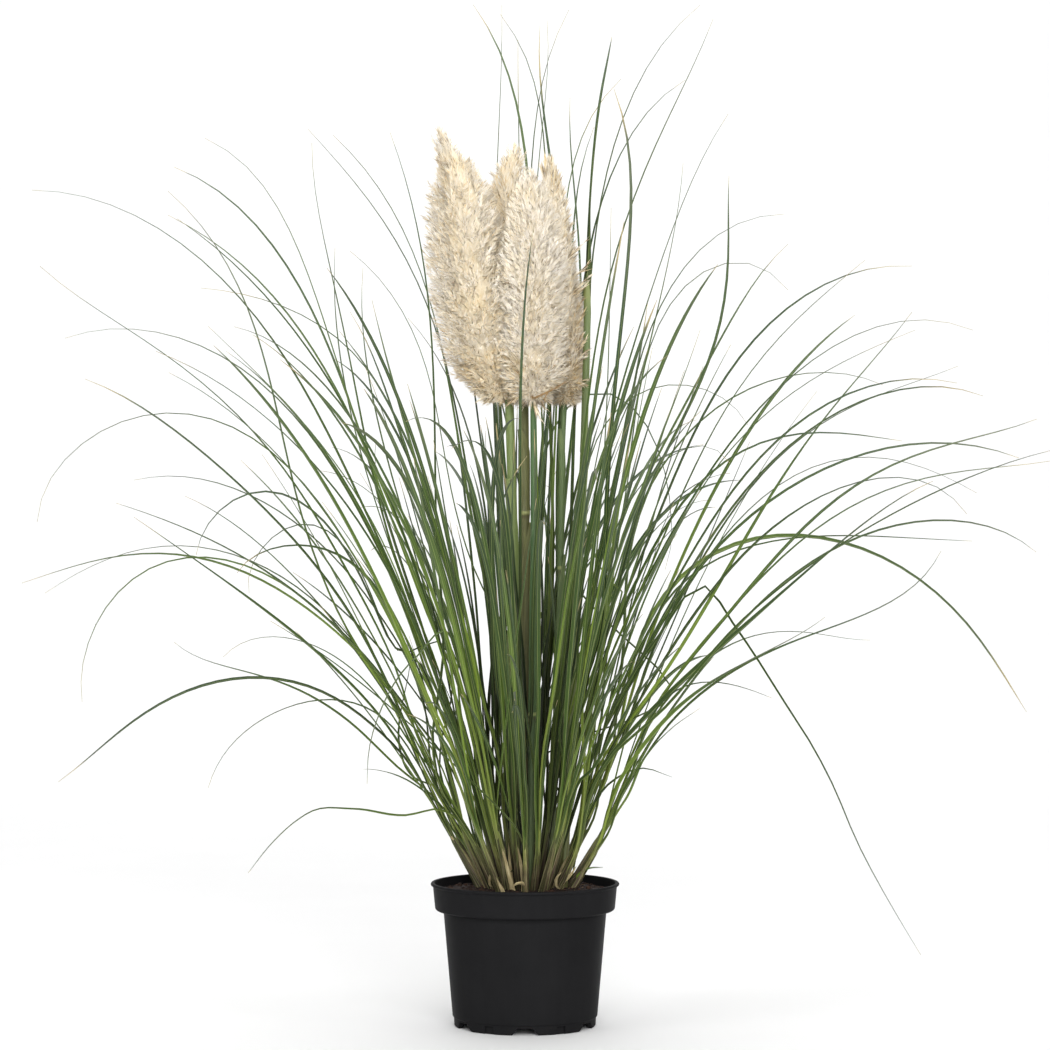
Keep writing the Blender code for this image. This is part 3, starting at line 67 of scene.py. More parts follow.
# Each leaf: widest width in front-view units, depth side (-1 towards the
# viewer, 1 away, 0 close to the plane of the axis), shape ("s" one smooth
# sweep, "k" with a crease), then points from the tip down towards the clump.
LEAVES = [
    # upper left
    (4.6, 1, "s", (32, 190), (67, 192), (125, 211), (165, 233), (201, 259), (234, 293), (279, 350), (330, 433), (353, 489), (394, 574), (433, 663)),
    (4.4, -1, "s", (205, 138), (237, 157), (263, 187), (286, 223), (306, 266), (333, 350), (350, 409), (368, 453), (394, 525), (422, 600)),
    (4.8, 0, "s", (174, 167), (201, 179), (234, 203), (263, 234), (290, 272), (315, 319), (345, 384), (363, 448), (398, 553), (433, 661)),
    (4.2, -1, "s", (168, 191), (187, 204), (214, 243), (234, 279), (259, 350), (295, 479), (312, 551), (350, 640), (394, 699)),
    (5.0, 1, "s", (168, 215), (216, 245), (257, 279), (286, 310), (312, 350), (350, 420), (376, 470), (404, 540)),
    (4.2, 1, "s", (201, 288), (232, 292), (281, 307), (312, 321), (350, 348), (389, 404), (417, 497), (445, 586), (458, 638)),
    (4.8, -1, "s", (40, 266), (74, 292), (129, 330), (183, 370), (234, 410), (295, 484), (335, 551), (379, 635), (427, 730)),
    (4.4, 1, "s", (65, 338), (125, 329), (167, 335), (212, 350), (271, 392), (306, 433), (350, 495), (391, 576), (425, 650)),
    (3.6, 1, "s", (208, 326), (234, 350), (266, 383), (300, 420), (330, 455), (368, 515)),
    (5.2, 1, "s", (308, 129), (350, 176), (377, 212), (401, 252), (424, 297), (439, 341), (458, 420), (474, 522), (504, 689)),
    (5.6, 1, "s", (333, 135), (350, 153), (383, 196), (415, 254), (433, 312), (450, 400), (480, 561), (495, 640)),
    (4.6, -1, "s", (312, 143), (315, 185), (324, 241), (335, 292), (348, 350), (363, 430), (381, 510), (420, 625)),
    (3.2, 1, "s", (335, 248), (333, 279), (337, 324), (350, 409), (368, 480), (395, 560)),
    (5.2, -1, "s", (390, 132), (406, 179), (417, 230), (424, 268), (430, 330), (435, 433), (435, 510), (438, 600), (448, 700)),
    (4.0, 1, "s", (350, 251), (363, 261), (388, 290), (408, 324), (421, 350), (440, 430), (458, 520)),
    (3.0, -1, "s", (363, 268), (364, 335), (372, 400), (391, 470), (410, 540)),
    (4.6, 1, "s", (350, 312), (361, 330), (370, 350), (391, 407), (404, 445), (443, 561), (474, 689)),
    (4.2, 1, "s", (408, 318), (428, 340), (447, 380), (474, 450), (486, 520)),
    # left
    (4.8, -1, "s", (85, 379), (112, 391), (152, 415), (190, 441), (248, 493), (312, 564), (350, 611), (394, 699)),
    (4.0, 1, "s", (37, 522), (45, 495), (67, 457), (107, 428), (145, 416), (201, 416), (234, 426), (288, 468), (350, 553), (380, 600)),
    (4.4, 1, "s", (134, 480), (167, 477), (201, 479), (234, 487), (268, 506), (312, 537), (350, 575), (415, 680)),
    (4.2, -1, "s", (196, 555), (205, 533), (219, 511), (245, 493), (263, 491), (288, 497), (335, 535), (384, 630)),
    (4.0, 1, "s", (249, 593), (257, 562), (268, 540), (290, 525), (312, 525), (335, 535), (363, 580), (390, 640)),
    (4.4, 1, "s", (185, 496), (214, 512), (241, 529), (268, 551), (324, 613), (350, 640), (384, 690)),
    (4.6, 1, "s", (-7, 583), (33, 570), (78, 561), (123, 554), (152, 553), (190, 559), (223, 569), (268, 591), (312, 620), (350, 649), (394, 700)),
    (4.8, 1, "s", (116, 503), (170, 523), (201, 535), (239, 554), (279, 582), (350, 640), (402, 702)),
    (6.4, -1, "s", (134, 517), (165, 539), (194, 559), (245, 595), (290, 631), (350, 683), (390, 730)),
    (4.6, 1, "s", (82, 702), (84, 674), (94, 633), (112, 598), (138, 573), (174, 560), (223, 559), (262, 573), (300, 597), (345, 640), (390, 700)),
    (3.4, 0, "s", (45, 593), (89, 569), (123, 553), (156, 546), (190, 546), (223, 551), (260, 567), (300, 590), (340, 625), (385, 690)),
    (8.6, -1, "s", (237, 573), (252, 555), (279, 550), (312, 547), (335, 552), (368, 576), (390, 625), (415, 668), (438, 730)),
    (4.6, 1, "s", (174, 642), (201, 658), (234, 669), (257, 676), (286, 683), (317, 701), (350, 722), (390, 760)),
    (4.2, -1, "s", (223, 657), (234, 648), (257, 638), (272, 636), (297, 640), (324, 651), (350, 667), (385, 705)),
    (5.6, -1, "s", (58, 782), (89, 757), (123, 730), (156, 706), (190, 690), (223, 682), (257, 676), (290, 681), (319, 692), (350, 707), (390, 745)),
    (4.4, 1, "s", (208, 788), (214, 768), (234, 743), (252, 726), (272, 715), (301, 704), (324, 699), (350, 701), (390, 725), (415, 760)),
    (4.4, -1, "k", (248, 873), (272, 843), (296, 821), (315, 810), (350, 809), (395, 814), (424, 823), (448, 835), (462, 856)),
    (4.6, 0, "s", (363, 769), (390, 773), (410, 782), (439, 809), (462, 845)),
    (4.4, -1, "k", (367, 784), (369, 750), (379, 715), (400, 675), (425, 648), (443, 629), (452, 640), (458, 690), (468, 760)),
    (4.0, 1, "s", (404, 640), (402, 703), (402, 753), (411, 777), (439, 804), (462, 838)),
    (4.4, 1, "s", (376, 440), (383, 500), (394, 525), (415, 560), (440, 610), (470, 700)),
    # top, behind and before the plumes
    (4.8, 1, "s", (473, -9), (488, 11), (502, 45), (514, 85), (522, 125), (527, 180), (532, 300), (533, 448), (536, 561), (540, 625)),
    (5.0, 1, "s", (502, -8), (503, 22), (501, 67), (497, 134), (496, 200), (496, 300), (498, 394), (505, 470), (512, 560)),
    (4.0, 1, "s", (518, 40), (518, 89), (519, 147), (521, 250), (523, 330), (526, 450), (528, 560)),
    (4.4, 1, "s", (500, 14), (514, 36), (526, 60), (540, 100), (544, 134), (547, 250), (550, 400), (553, 500), (552, 600)),
    (4.4, 1, "s", (540, 26), (537, 50), (540, 78), (544, 112), (552, 161), (560, 260), (561, 399), (558, 470), (556, 586)),
    (5.0, 1, "s", (569, -6), (560, 18), (551, 36), (540, 74), (534, 125), (531, 200), (530, 300), (533, 400), (538, 520)),
    (4.2, 1, "s", (547, 21), (550, 50), (544, 107), (538, 158), (536, 260), (540, 380), (543, 500)),
    (6.6, -1, "s", (534, 226), (528, 266), (523.6, 320), (520, 410), (519, 480), (519, 600), (521, 700)),
    # upper right
    (4.8, 1, "s", (570, 98), (571, 145), (573, 179), (578, 223), (581, 290), (577, 389), (568, 474), (561, 561)),
    (4.8, 1, "s", (621, 79), (602, 100), (587, 125), (573, 165), (566, 210), (560, 300), (556, 407), (555, 474), (550, 600)),
    (5.0, 1, "s", (594, 127), (584, 156), (576, 205), (572, 260), (568, 340), (565, 420), (560, 520)),
    (5.2, -1, "s", (614, 89), (623, 120), (630, 161), (631, 201), (629, 268), (620, 330), (612, 420), (607, 510), (602, 586)),
    (4.6, 1, "s", (685, 80), (662, 91), (640, 123), (620, 161), (604, 199), (591, 237), (580, 320), (575, 420), (568, 540)),
    (5.8, 1, "s", (700, 5), (678, 24), (658, 49), (638, 87), (622, 120), (609, 170), (598, 214), (589, 300), (584, 420), (578, 540)),
    (7.6, -1, "s", (713, 19), (711, 33), (700, 53), (683, 85), (667, 120), (647, 165), (631, 205), (611, 281), (598, 335), (589, 390), (580, 500)),
    (5.2, 1, "s", (683, 163), (678, 208), (671, 245), (662, 290), (651, 350), (638, 394), (625, 458), (617, 535), (604, 620)),
    (5.2, -1, "s", (728, 114), (713, 143), (700, 168), (676, 214), (662, 252), (638, 340), (612, 430), (592, 500), (582, 600)),
    (3.2, -1, "s", (611, 208), (610, 290), (609, 350), (606, 430), (600, 520)),
    (4.4, 1, "s", (729, 176), (729, 223), (727, 268), (722, 312), (709, 366), (675, 430), (650, 490), (625, 580)),
    (4.2, -1, "s", (784, 214), (756, 220), (729, 228), (700, 246), (670, 290), (645, 350), (625, 420), (608, 520)),
    (5.0, 1, "s", (788, 244), (762, 272), (742, 301), (717, 350), (689, 394), (658, 458), (633, 510), (605, 610)),
    (3.6, 1, "s", (788, 290), (762, 271), (745, 264), (727, 261), (700, 268), (675, 300), (650, 360), (632, 430), (615, 520)),
    # right
    (4.6, -1, "s", (865, 260), (845, 277), (807, 310), (768, 350), (729, 404), (700, 457), (671, 520), (615, 650)),
    (4.8, 1, "s", (912, 266), (879, 269), (845, 277), (807, 292), (778, 315), (747, 350), (711, 406), (658, 510), (620, 620), (590, 690)),
    (5.0, -1, "s", (973, 330), (945, 324), (908, 321), (874, 326), (824, 350), (771, 399), (729, 448), (694, 494), (638, 599), (606, 670)),
    (4.4, 1, "s", (915, 330), (894, 338), (864, 350), (834, 369), (774, 408), (722, 457), (690, 510), (630, 640)),
    (5.2, -1, "s", (912, 312), (884, 350), (867, 367), (845, 392), (812, 435), (771, 497), (733, 562), (702, 610), (660, 680)),
    (4.0, 1, "s", (883, 385), (856, 375), (825, 372), (789, 377), (756, 388), (700, 419), (645, 500), (615, 580)),
    (4.6, 1, "s", (983, 396), (966, 390), (934, 386), (912, 387), (879, 397), (816, 426), (745, 490), (680, 590), (640, 660)),
    (4.4, -1, "s", (957, 383), (923, 380), (890, 381), (856, 390), (829, 404), (774, 444), (700, 540), (650, 630)),
    (5.2, 1, "s", (958, 366), (914, 381), (892, 391), (854, 406), (810, 432), (770, 465), (735, 510), (680, 600)),
    (4.6, -1, "s", (902, 441), (856, 435), (825, 432), (798, 435), (767, 441), (700, 482), (665, 530), (620, 620)),
    (4.4, 0, "s", (1019, 458), (968, 446), (923, 443), (890, 446), (856, 457), (812, 477), (767, 502), (702, 565), (660, 625)),
    (4.6, -1, "s", (1037, 419), (1001, 433), (957, 443), (912, 455), (883, 468), (825, 511), (767, 569), (700, 645), (660, 700)),
    (4.0, 1, "s", (977, 493), (945, 477), (912, 464), (883, 458), (856, 457), (815, 466), (770, 492), (730, 530), (680, 600)),
    (6.6, -1, "s", (1052, 450), (1012, 462), (968, 478), (923, 498), (890, 516), (825, 553), (770, 600), (699, 663), (653, 730)),
    (9.2, -1, "s", (933, 481), (890, 506), (856, 529), (820, 560), (767, 607), (718, 651), (671, 690), (640, 725)),
    (4.2, 0, "s", (1050, 461), (1012, 465), (979, 470), (930, 478), (880, 492), (830, 520), (750, 590), (690, 660)),
    (4.4, -1, "s", (967, 514), (941, 491), (914, 478), (890, 477), (856, 482), (800, 511), (735, 562), (671, 650), (640, 700)),
    (4.4, 1, "s", (1048, 552), (1024, 535), (990, 525), (957, 520), (923, 523), (856, 542), (810, 565), (730, 640), (680, 700)),
    (4.2, 1, "s", (972, 541), (923, 539), (879, 536), (834, 536), (789, 540), (722, 555), (695, 575), (640, 650)),
    (7.4, 1, "s", (1029, 712), (1019, 698), (990, 654), (957, 607), (923, 580), (890, 562), (856, 551), (789, 535), (733, 538), (676, 592), (620, 702)),
    (5.0, 1, "s", (941, 551), (919, 578), (901, 597), (879, 610), (825, 630), (789, 642), (722, 680), (660, 735)),
    (9.6, -1, "s", (825, 617), (800, 632), (783, 645), (730, 671), (689, 699), (658, 730), (620, 785)),
    (4.4, 1, "s", (870, 640), (834, 636), (800, 632), (778, 632), (745, 638), (690, 675), (650, 725)),
    (5.0, -1, "s", (772, 698), (745, 689), (722, 683), (700, 681), (680, 690), (640, 745)),
    (6.0, -1, "k", (921, 955), (901, 922), (879, 884), (856, 840), (834, 788), (812, 746), (785, 704), (756, 658), (722, 609), (702, 584), (671, 620), (625, 689), (600, 745)),
    (5.2, 0, "k", (700, 708), (672, 728), (645, 758), (628, 796), (603, 835), (592, 851)),
    # middle
    (6.0, -1, "s", (466, 330), (474, 389), (479, 427), (484, 474), (499, 566), (509, 640)),
    (5.0, 1, "s", (546, 330), (543, 433), (538, 500), (536, 560), (536, 640)),
    (4.0, -1, "s", (527, 456), (513, 476), (502, 505), (493, 545), (490, 620), (494, 700)),
    (3.4, 1, "s", (748, 425), (730, 404), (702, 388), (681, 385), (650, 390), (620, 405), (598, 440), (586, 520)),
    (3.4, -1, "s", (730, 463), (707, 446), (689, 446), (671, 458), (638, 489), (610, 545), (588, 630)),
    (3.2, 1, "s", (665, 570), (668, 515), (661, 458), (645, 427), (620, 398), (594, 381), (572, 392), (560, 440), (552, 540)),
    (5.6, -1, "s", (372, 300), (385, 352), (400, 410), (425, 490), (450, 580), (478, 690)),
    (6.2, 1, "s", (648, 300), (640, 360), (622, 440), (603, 540), (580, 660)),
    (5.8, -1, "s", (700, 330), (680, 390), (655, 450), (632, 520), (600, 620)),
    (6.4, 1, "s", (560, 330), (553, 430), (548, 540), (545, 660)),
]


SEED = 41
STATIONS = (0.0, 0.11, 0.27, 0.45, 0.64, 0.83, 1.0)   # along a leaf, fork to tip
HALF_X, HALF_Y, TOP_Z = 0.648, 0.585, 1.268           # how far the leaves reach
CLUMP_R = 0.060                                       # crown of the clump
N_SHOOTS = 46
LEAVES_PER_SHOOT = 4
CROWN_Z = 0.1703                                      # foot of every shoot
# flower stems: foot (x, y), then points up to the foot of the plume
STEMS = {
    "left": [(-0.012, -0.006, CROWN_Z), (-0.0145, -0.010, 0.40), (-0.0150, -0.012, 0.62), (-0.0190, -0.012, 0.757)],
    "back": [(0.002, 0.026, CROWN_Z), (0.001, 0.036, 0.40), (0.000, 0.040, 0.62), (-0.001, 0.043, 0.757)],
    "front": [(0.006, -0.030, CROWN_Z), (0.009, -0.040, 0.40), (0.0105, -0.044, 0.62), (0.0100, -0.046, 0.757)],
    "right": [(0.030, 0.006, CROWN_Z), (0.040, 0.012, 0.40), (0.0445, 0.015, 0.62), (0.0470, 0.015, 0.757)],
}
PETAL_R = 0.62                                        # where the leaves of a shoot part, in leaf widths from its middle
PETAL_TURN = 0.9                                      # and by how much a blade may be turned from the way it goes, to lie round it
STEM_R = {"left": 0.0046, "back": 0.0050, "front": 0.0046, "right": 0.0040}
CULM = [(0.047, -0.004, CROWN_Z), (0.0600, -0.012, 0.465), (0.0640, -0.014, 0.552), (0.0700, -0.015, 0.664), (0.0740, -0.014, 0.790), (0.0768, -0.012, 0.916)]
CULM_TIP = [(0.0800, -0.011, 1.010), (0.0920, -0.009, 1.130), (0.1020, -0.006, 1.184)]
# plumes: (height, x, y, half width)
PLUMES = {
    "left": [(0.7600, -0.0300, -0.012, 0.0095), (0.7880, -0.0430, -0.012, 0.0250), (0.8250, -0.0560, -0.012, 0.0370), (0.8850, -0.0705, -0.012, 0.0410), (0.9450, -0.0800, -0.012, 0.0385), (1.0050, -0.0860, -0.012, 0.0330), (1.0450, -0.0890, -0.012, 0.0210), (1.0700, -0.1000, -0.012, 0.0095), (1.0940, -0.1070, -0.012, 0.0030)],
    "back": [(0.7600, -0.0020, 0.046, 0.0100), (0.8050, -0.0080, 0.050, 0.0280), (0.8850, -0.0150, 0.053, 0.0335), (0.9450, -0.0185, 0.053, 0.0320), (1.0050, -0.0200, 0.050, 0.0270), (1.0420, -0.0175, 0.048, 0.0190), (1.0680, -0.0135, 0.047, 0.0090), (1.0770, -0.0115, 0.047, 0.0025)],
    "front": [(0.7600, 0.0090, -0.047, 0.0100), (0.7950, 0.0080, -0.049, 0.0270), (0.8400, 0.0100, -0.050, 0.0320), (0.8900, 0.0120, -0.050, 0.0340), (0.9500, 0.0130, -0.050, 0.0310), (1.0000, 0.0095, -0.049, 0.0220), (1.0250, 0.0060, -0.049, 0.0120), (1.0400, 0.0045, -0.049, 0.0030)],
    "right": [(0.7600, 0.0490, 0.016, 0.0090), (0.7900, 0.0540, 0.017, 0.0180), (0.8400, 0.0530, 0.018, 0.0230), (0.8850, 0.0465, 0.018, 0.0240), (0.9450, 0.0395, 0.018, 0.0220), (1.0050, 0.0350, 0.018, 0.0165), (1.0350, 0.0325, 0.018, 0.0100), (1.0630, 0.0290, 0.018, 0.0025)],
}


def smooth_sweep(points, t, degree):
    """x(t), y(t) of one smooth curve through the points, as a least-squares polynomial in the distance along them."""
    points = np.asarray(points, float)
    s = np.concatenate([[0.0], np.cumsum(np.linalg.norm(np.diff(points, axis=0), axis=1))])
    s /= s[-1]
    degree = min(degree, len(points) - 1)
    weight = np.ones(len(s))
    weight[0] = weight[-1] = 30.0
    basis = np.vander(s, degree + 1, increasing=True)
    out = np.vander(np.asarray(t, float), degree + 1, increasing=True)
    columns = []
    for k in range(2):
        c, *_ = np.linalg.lstsq(basis * weight[:, None], points[:, k] * weight, rcond=None)
        columns.append(out @ c)
    return np.stack(columns, axis=1)


def through(points, t):
    """A Catmull-Rom curve through the points, read at the fractions t of its length."""
    p = np.asarray(points, float)
    s = np.concatenate([[0.0], np.cumsum(np.linalg.norm(np.diff(p, axis=0), axis=1))])
    tangent = np.gradient(p, s, axis=0)
    at = np.clip(np.asarray(t, float), 0, 1) * s[-1]
    i = np.clip(np.searchsorted(s, at, side="right") - 1, 0, len(s) - 2)
    h = s[i + 1] - s[i]
    f = ((at - s[i]) / h)[:, None]
    h = h[:, None]
    return (
        (2 * f**3 - 3 * f**2 + 1) * p[i]
        + (f**3 - 2 * f**2 + f) * h * tangent[i]
        + (3 * f**2 - 2 * f**3) * p[i + 1]
        + (f**3 - f**2) * h * tangent[i + 1]
    )


def to_space(u, v, y):
    """The point at depth y that the front view shows at (u, v)."""
    k = (y - VIEW_Y) / VIEW_F
    return np.stack([(u - AXIS_U) * k, y, VIEW_Z - (v - AXIS_V) * k], axis=-1)


def to_view(p):
    k = VIEW_F / (p[..., 1] - VIEW_Y)
    return AXIS_U + p[..., 0] * k, AXIS_V + (VIEW_Z - p[..., 2]) * k


def spread_points(count, radius, keep, gap, rng):
    """Feet of the shoots: points in a disc, pushed apart from each other and from the points in keep."""
    golden = math.pi * (3 - math.sqrt(5))
    n = np.arange(count)
    r = radius * np.sqrt((n + 0.5) / count)
    p = np.stack([r * np.cos(n * golden), r * np.sin(n * golden)], axis=1)
    p += rng.normal(0, 0.002, p.shape)
    keep = np.asarray(keep, float)
    for _ in range(400):
        every = np.concatenate([p, keep])
        d = p[:, None] - every[None]
        dist = np.linalg.norm(d, axis=2) + 1e-9
        dist[np.arange(count), np.arange(count)] = 9.0
        push = np.clip(gap - dist, 0, None)[..., None] * d / dist[..., None]
        p = p + 0.35 * push.sum(axis=1)
        length = np.linalg.norm(p, axis=1, keepdims=True)
        p = np.where(length > radius, p * radius / length, p)
    return p


def clear_forks(feet, forks):
    """Leans the stalks of the shoots clear of the flower stems, the culm and each other."""
    posts = [np.array(points) for points in STEMS.values()] + [np.array(CULM)]
    forks = forks.copy()
    for _ in range(150):
        for level in (0.030, 0.050, 0.070, 0.090):
            share = np.clip(level / (forks[:, 2] - CROWN_Z), 0, 1.0)
            at = feet + (forks[:, :2] - feet) * share[:, None]
            there = level <= forks[:, 2] - CROWN_Z + 0.012
            others = np.array([[np.interp(CROWN_Z + level, q[:, 2], q[:, 0]), np.interp(CROWN_Z + level, q[:, 2], q[:, 1])] for q in posts])
            every = np.concatenate([at, others])
            need = np.concatenate([np.full(len(at), 0.0128), np.full(len(others), 0.0120)])
            d = at[:, None] - every[None]
            dist = np.linalg.norm(d, axis=2) + 1e-9
            dist[np.arange(len(at)), np.arange(len(at))] = 9.0
            dist[:, : len(at)][:, ~there] = 9.0
            push = np.clip(need[None] - dist, 0, None)[..., None] * d / dist[..., None]
            forks[:, :2] += 0.3 * push.sum(axis=1) * there[:, None]
    return forks


def grown_curve(leaf, fork, out_of_plane):
    """The arch of a leaf from its length, its direction and its angles from upright at both ends."""
    fine = np.linspace(0, 1, 25)
    angle = leaf["a0"] + (leaf["a1"] - leaf["a0"]) * fine ** leaf["bend"]
    step = leaf["length"] / 24
    mid = (angle[1:] + angle[:-1]) / 2
    r = np.concatenate([[0], np.cumsum(np.sin(mid)) * step])
    z = np.concatenate([[0], np.cumsum(np.cos(mid)) * step])
    # the free end turns a little out of its own plane
    turn = out_of_plane * r**2 / max(leaf["length"], 0.1)
    e, f = np.array([math.cos(leaf["phi"]), math.sin(leaf["phi"])]), np.array([-math.sin(leaf["phi"]), math.cos(leaf["phi"])])
    return np.column_stack([fork[0] + r * e[0] + turn * f[0], fork[1] + r * e[1] + turn * f[1], fork[2] + z])


def hides_plumes(curve):
    """True where a leaf in front of the plumes rises past their lower edge in the front view."""
    u, v = to_view(curve)
    return bool(((np.abs(u - 506) < 88) & (v < 411) & (curve[:, 1] < -0.02)).any())


def leaf_field():
    """Every leaf as its centreline at STATIONS, with its width, shoot and shape. Nothing here depends on the material or the mesh."""
    rng = np.random.default_rng(SEED)
    feet_kept = [s[0][:2] for s in STEMS.values()] + [CULM[0][:2]]
    feet = spread_points(N_SHOOTS, CLUMP_R, feet_kept, 0.0142, rng)
    fork_h = rng.uniform(0.048, 0.088, N_SHOOTS)
    lean = 0.62 * feet / CLUMP_R                        # horizontal run per unit rise at the foot
    forks = clear_forks(feet, np.column_stack([feet + lean * fork_h[:, None], CROWN_Z + fork_h]))

    drawn = []
    for width, side, shape, *pts in LEAVES:
        pts = np.asarray(pts, float)
        u1, v1 = pts[-1]
        bu = np.clip((u1 - AXIS_U) / (1 + 0.01187 * (SOIL_V - v1)), -46, 46)
        reach = (pts[0, 0] - AXIS_U) * 0.00122
        height = VIEW_Z - (pts[0, 1] - AXIS_V) * 0.00122
        run = np.linalg.norm(np.diff(pts, axis=0), axis=1).sum() * 0.00122
        most = np.interp(height, [0.2, 0.6, 0.9, 1.1, 1.25], [0.50, 0.60, 0.60, 0.40, 0.22])
        rho = max(abs(reach) * rng.uniform(1.003, 1.11), most * rng.uniform(0.62, 1.0))
        y_tip = side * min(math.sqrt(max(rho**2 - reach**2, 0.0)), 0.56, 0.62 * run + 0.04)
        if side == 0:
            y_tip = rng.uniform(-0.10, 0.10)
        drawn.append(dict(width=width * 0.00122, shape=shape, pts=pts, bu=bu, y_tip=y_tip, want=(bu * 0.00122, 0.050 * y_tip / 0.5)))
    # the one that stands close in front of the plumes
    for leaf in drawn:
        if tuple(leaf["pts"][0]) == (534.0, 226.0):
            leaf["y_tip"] = -0.150
            leaf["want"] = (0.0, -0.050)
        # and one whose tip is lost behind them
        if tuple(leaf["pts"][0]) == (466.0, 330.0):
            leaf["y_tip"] = 0.100

    grown = []
    total = N_SHOOTS * LEAVES_PER_SHOOT
    while len(drawn) + len(grown) < total:
        n = len(grown)
        away = 1 if n % 2 else -1
        phi = away * math.radians(90 + np.clip(rng.normal(0, 22), -46, 46))
        kind = rng.random()
        if kind < 0.50:      # long outer sweep
            length, a0, a1 = rng.uniform(0.60, 0.88), rng.uniform(16, 36), rng.uniform(58, 104)
        elif kind < 0.86:    # upright
            length, a0, a1 = rng.uniform(0.46, 0.78), rng.uniform(3, 20), rng.uniform(18, 56)
        else:                # short outer
            length, a0, a1 = rng.uniform(0.24, 0.42), rng.uniform(28, 46), rng.uniform(60, 112)
        out = math.sin(math.radians(a0)) * 1.75
        want = 0.054 * min(out, 1.0)
        grown.append(dict(width=rng.uniform(4.4, 7.6) * 0.00122, shape="g", phi=phi, length=length, a0=math.radians(a0), a1=math.radians(a1),
                          bend=rng.uniform(1.3, 2.1), want=(want * math.cos(phi), want * math.sin(phi))))
    # the foremost and hindmost reach as far as the plant is deep
    for n, away in ((0, -1), (1, 1)):
        grown[n].update(phi=away * math.radians(90 + 6 * away), length=0.86, a0=math.radians(30), a1=math.radians(104), bend=1.5, want=(0.0, 0.056 * away))

    leaves = drawn + grown
    want = np.array([leaf["want"] for leaf in leaves])
    # leaves go to the shoots nearest to where they want to start, LEAVES_PER_SHOOT each
    cost = ((want[:, None] - feet[None]) ** 2).sum(axis=2)
    owner = np.full(len(leaves), -1)
    room = np.full(N_SHOOTS, LEAVES_PER_SHOOT)
    for i in np.argsort(-np.linalg.norm(want, axis=1)):
        for s in np.argsort(cost[i]):
            if room[s]:
                owner[i] = s
                room[s] -= 1
                break
    for _ in range(60):
        changed = 0
        for i in range(len(leaves)):
            gain = cost[i, owner[i]] + cost[np.arange(len(leaves)), owner] - cost[i, owner] - cost[np.arange(len(leaves)), owner[i]]
            j = int(np.argmax(gain))
            if gain[j] > 1e-7:
                owner[i], owner[j] = owner[j], owner[i]
                changed += 1
        if not changed:
            break

    fine = np.linspace(0, 1, 25)
    for leaf, s in zip(leaves, owner):
        leaf["shoot"] = int(s)
        fork = forks[s]
        if leaf["shape"] == "g":
            out_of_plane = rng.normal(0, 0.10)
            curve = grown_curve(leaf, fork, out_of_plane)
            # those in front lean out further, so that the plumes stay clear
            while hides_plumes(curve):
                leaf["a0"] += 0.025
                leaf["a1"] += 0.030
                if leaf["length"] < 0.86:
                    leaf["length"] *= 0.975
                curve = grown_curve(leaf, fork, out_of_plane)
        else:
            fu, fv = to_view(fork)
            pts = [(fu, fv)] + [tuple(p) for p in leaf["pts"][::-1] if p[1] < fv - 14 or leaf["shape"] == "k"]
            if leaf["shape"] == "k":
                above = [tuple(p) for p in leaf["pts"][::-1]]
                while len(above) > 2 and above[0][1] > fv - 14:
                    above.pop(0)
                uv = through([(fu, fv)] + above, fine)
            else:
                uv = smooth_sweep(pts, fine, 5 if len(pts) > 7 else 4)
            y = fork[1] + (leaf["y_tip"] - fork[1]) * fine**1.25
            curve = to_space(uv[:, 0], uv[:, 1], y)
        leaf["curve"] = curve
    for leaf in leaves:
        c = leaf["curve"]
        # the tips stay inside the reach in depth and height, by easing the free end back
        for axis, low, high in ((1, -HALF_Y, HALF_Y), (2, 0.070, TOP_Z), (0, -HALF_X, HALF_X)):
            over = max(c[:, axis].max() - high, 0) - max(low - c[:, axis].min(), 0)
            if over:
                c[:, axis] -= over * fine**1.5
        leaf["base"] = through(c, np.array(STATIONS))
        leaf["nodes"] = leaf["base"].copy()
    # the leaves of one shoot part like petals: each starts on its own side of the way they all go
    for s in range(N_SHOOTS):
        own = [leaf for leaf in leaves if leaf["shoot"] == s]
        axis, e1, e2 = fan_axes([leaf["base"][1] for leaf in own], forks[s])
        slots, angles = fan_slots([leaf["base"][2] for leaf in own], forks[s], axis, e1, e2)
        for which, angle in zip(slots, angles):
            leaf = own[which]
            r = PETAL_R * leaf["width"] * float(leaf_width(STATIONS[1])) + 0.0012
            rise = min(max(float((leaf["base"][1] - forks[s]) @ axis), 0.045), 0.55 * float((leaf["base"][2] - forks[s]) @ axis))
            leaf["nodes"][1] = forks[s] + axis * rise + r * (math.cos(angle) * e1 + math.sin(angle) * e2)
    turns = np.random.default_rng(SEED + 1).normal(0, 0.9, len(leaves))
    for leaf, turn in zip(leaves, turns):
        leaf["turn"] = float(turn)
    return leaves, feet, forks


def fan_axes(points, fork):
    """The way that the points lie from the fork on the whole, and two directions square to it."""
    way = np.asarray(points) - fork
    axis = (way / np.linalg.norm(way, axis=1, keepdims=True)).mean(axis=0)
    axis /= np.linalg.norm(axis)
    e1 = np.array([axis[2], 0.0, -axis[0]])
    e1 /= np.linalg.norm(e1)
    return axis, e1, np.cross(axis, e1)


def fan_slots(points, fork, axis, e1, e2):
    """The order of the points round the axis, and the evenly spaced angles that lie nearest to theirs."""
    way = np.asarray(points) - fork
    along = np.maximum(way @ axis, 0.3 * np.linalg.norm(way, axis=1))
    flat = np.column_stack([way @ e1, way @ e2]) / along[:, None]
    flat = flat - flat.mean(axis=0)
    beta = np.arctan2(flat[:, 1], flat[:, 0])
    order = np.argsort(beta)
    n = len(points)
    phase = beta[order] - np.arange(n) * 2 * math.pi / n
    start = math.atan2(np.sin(phase).sum(), np.cos(phase).sum())
    return [int(k) for k in order], [start + k * 2 * math.pi / n for k in range(n)]


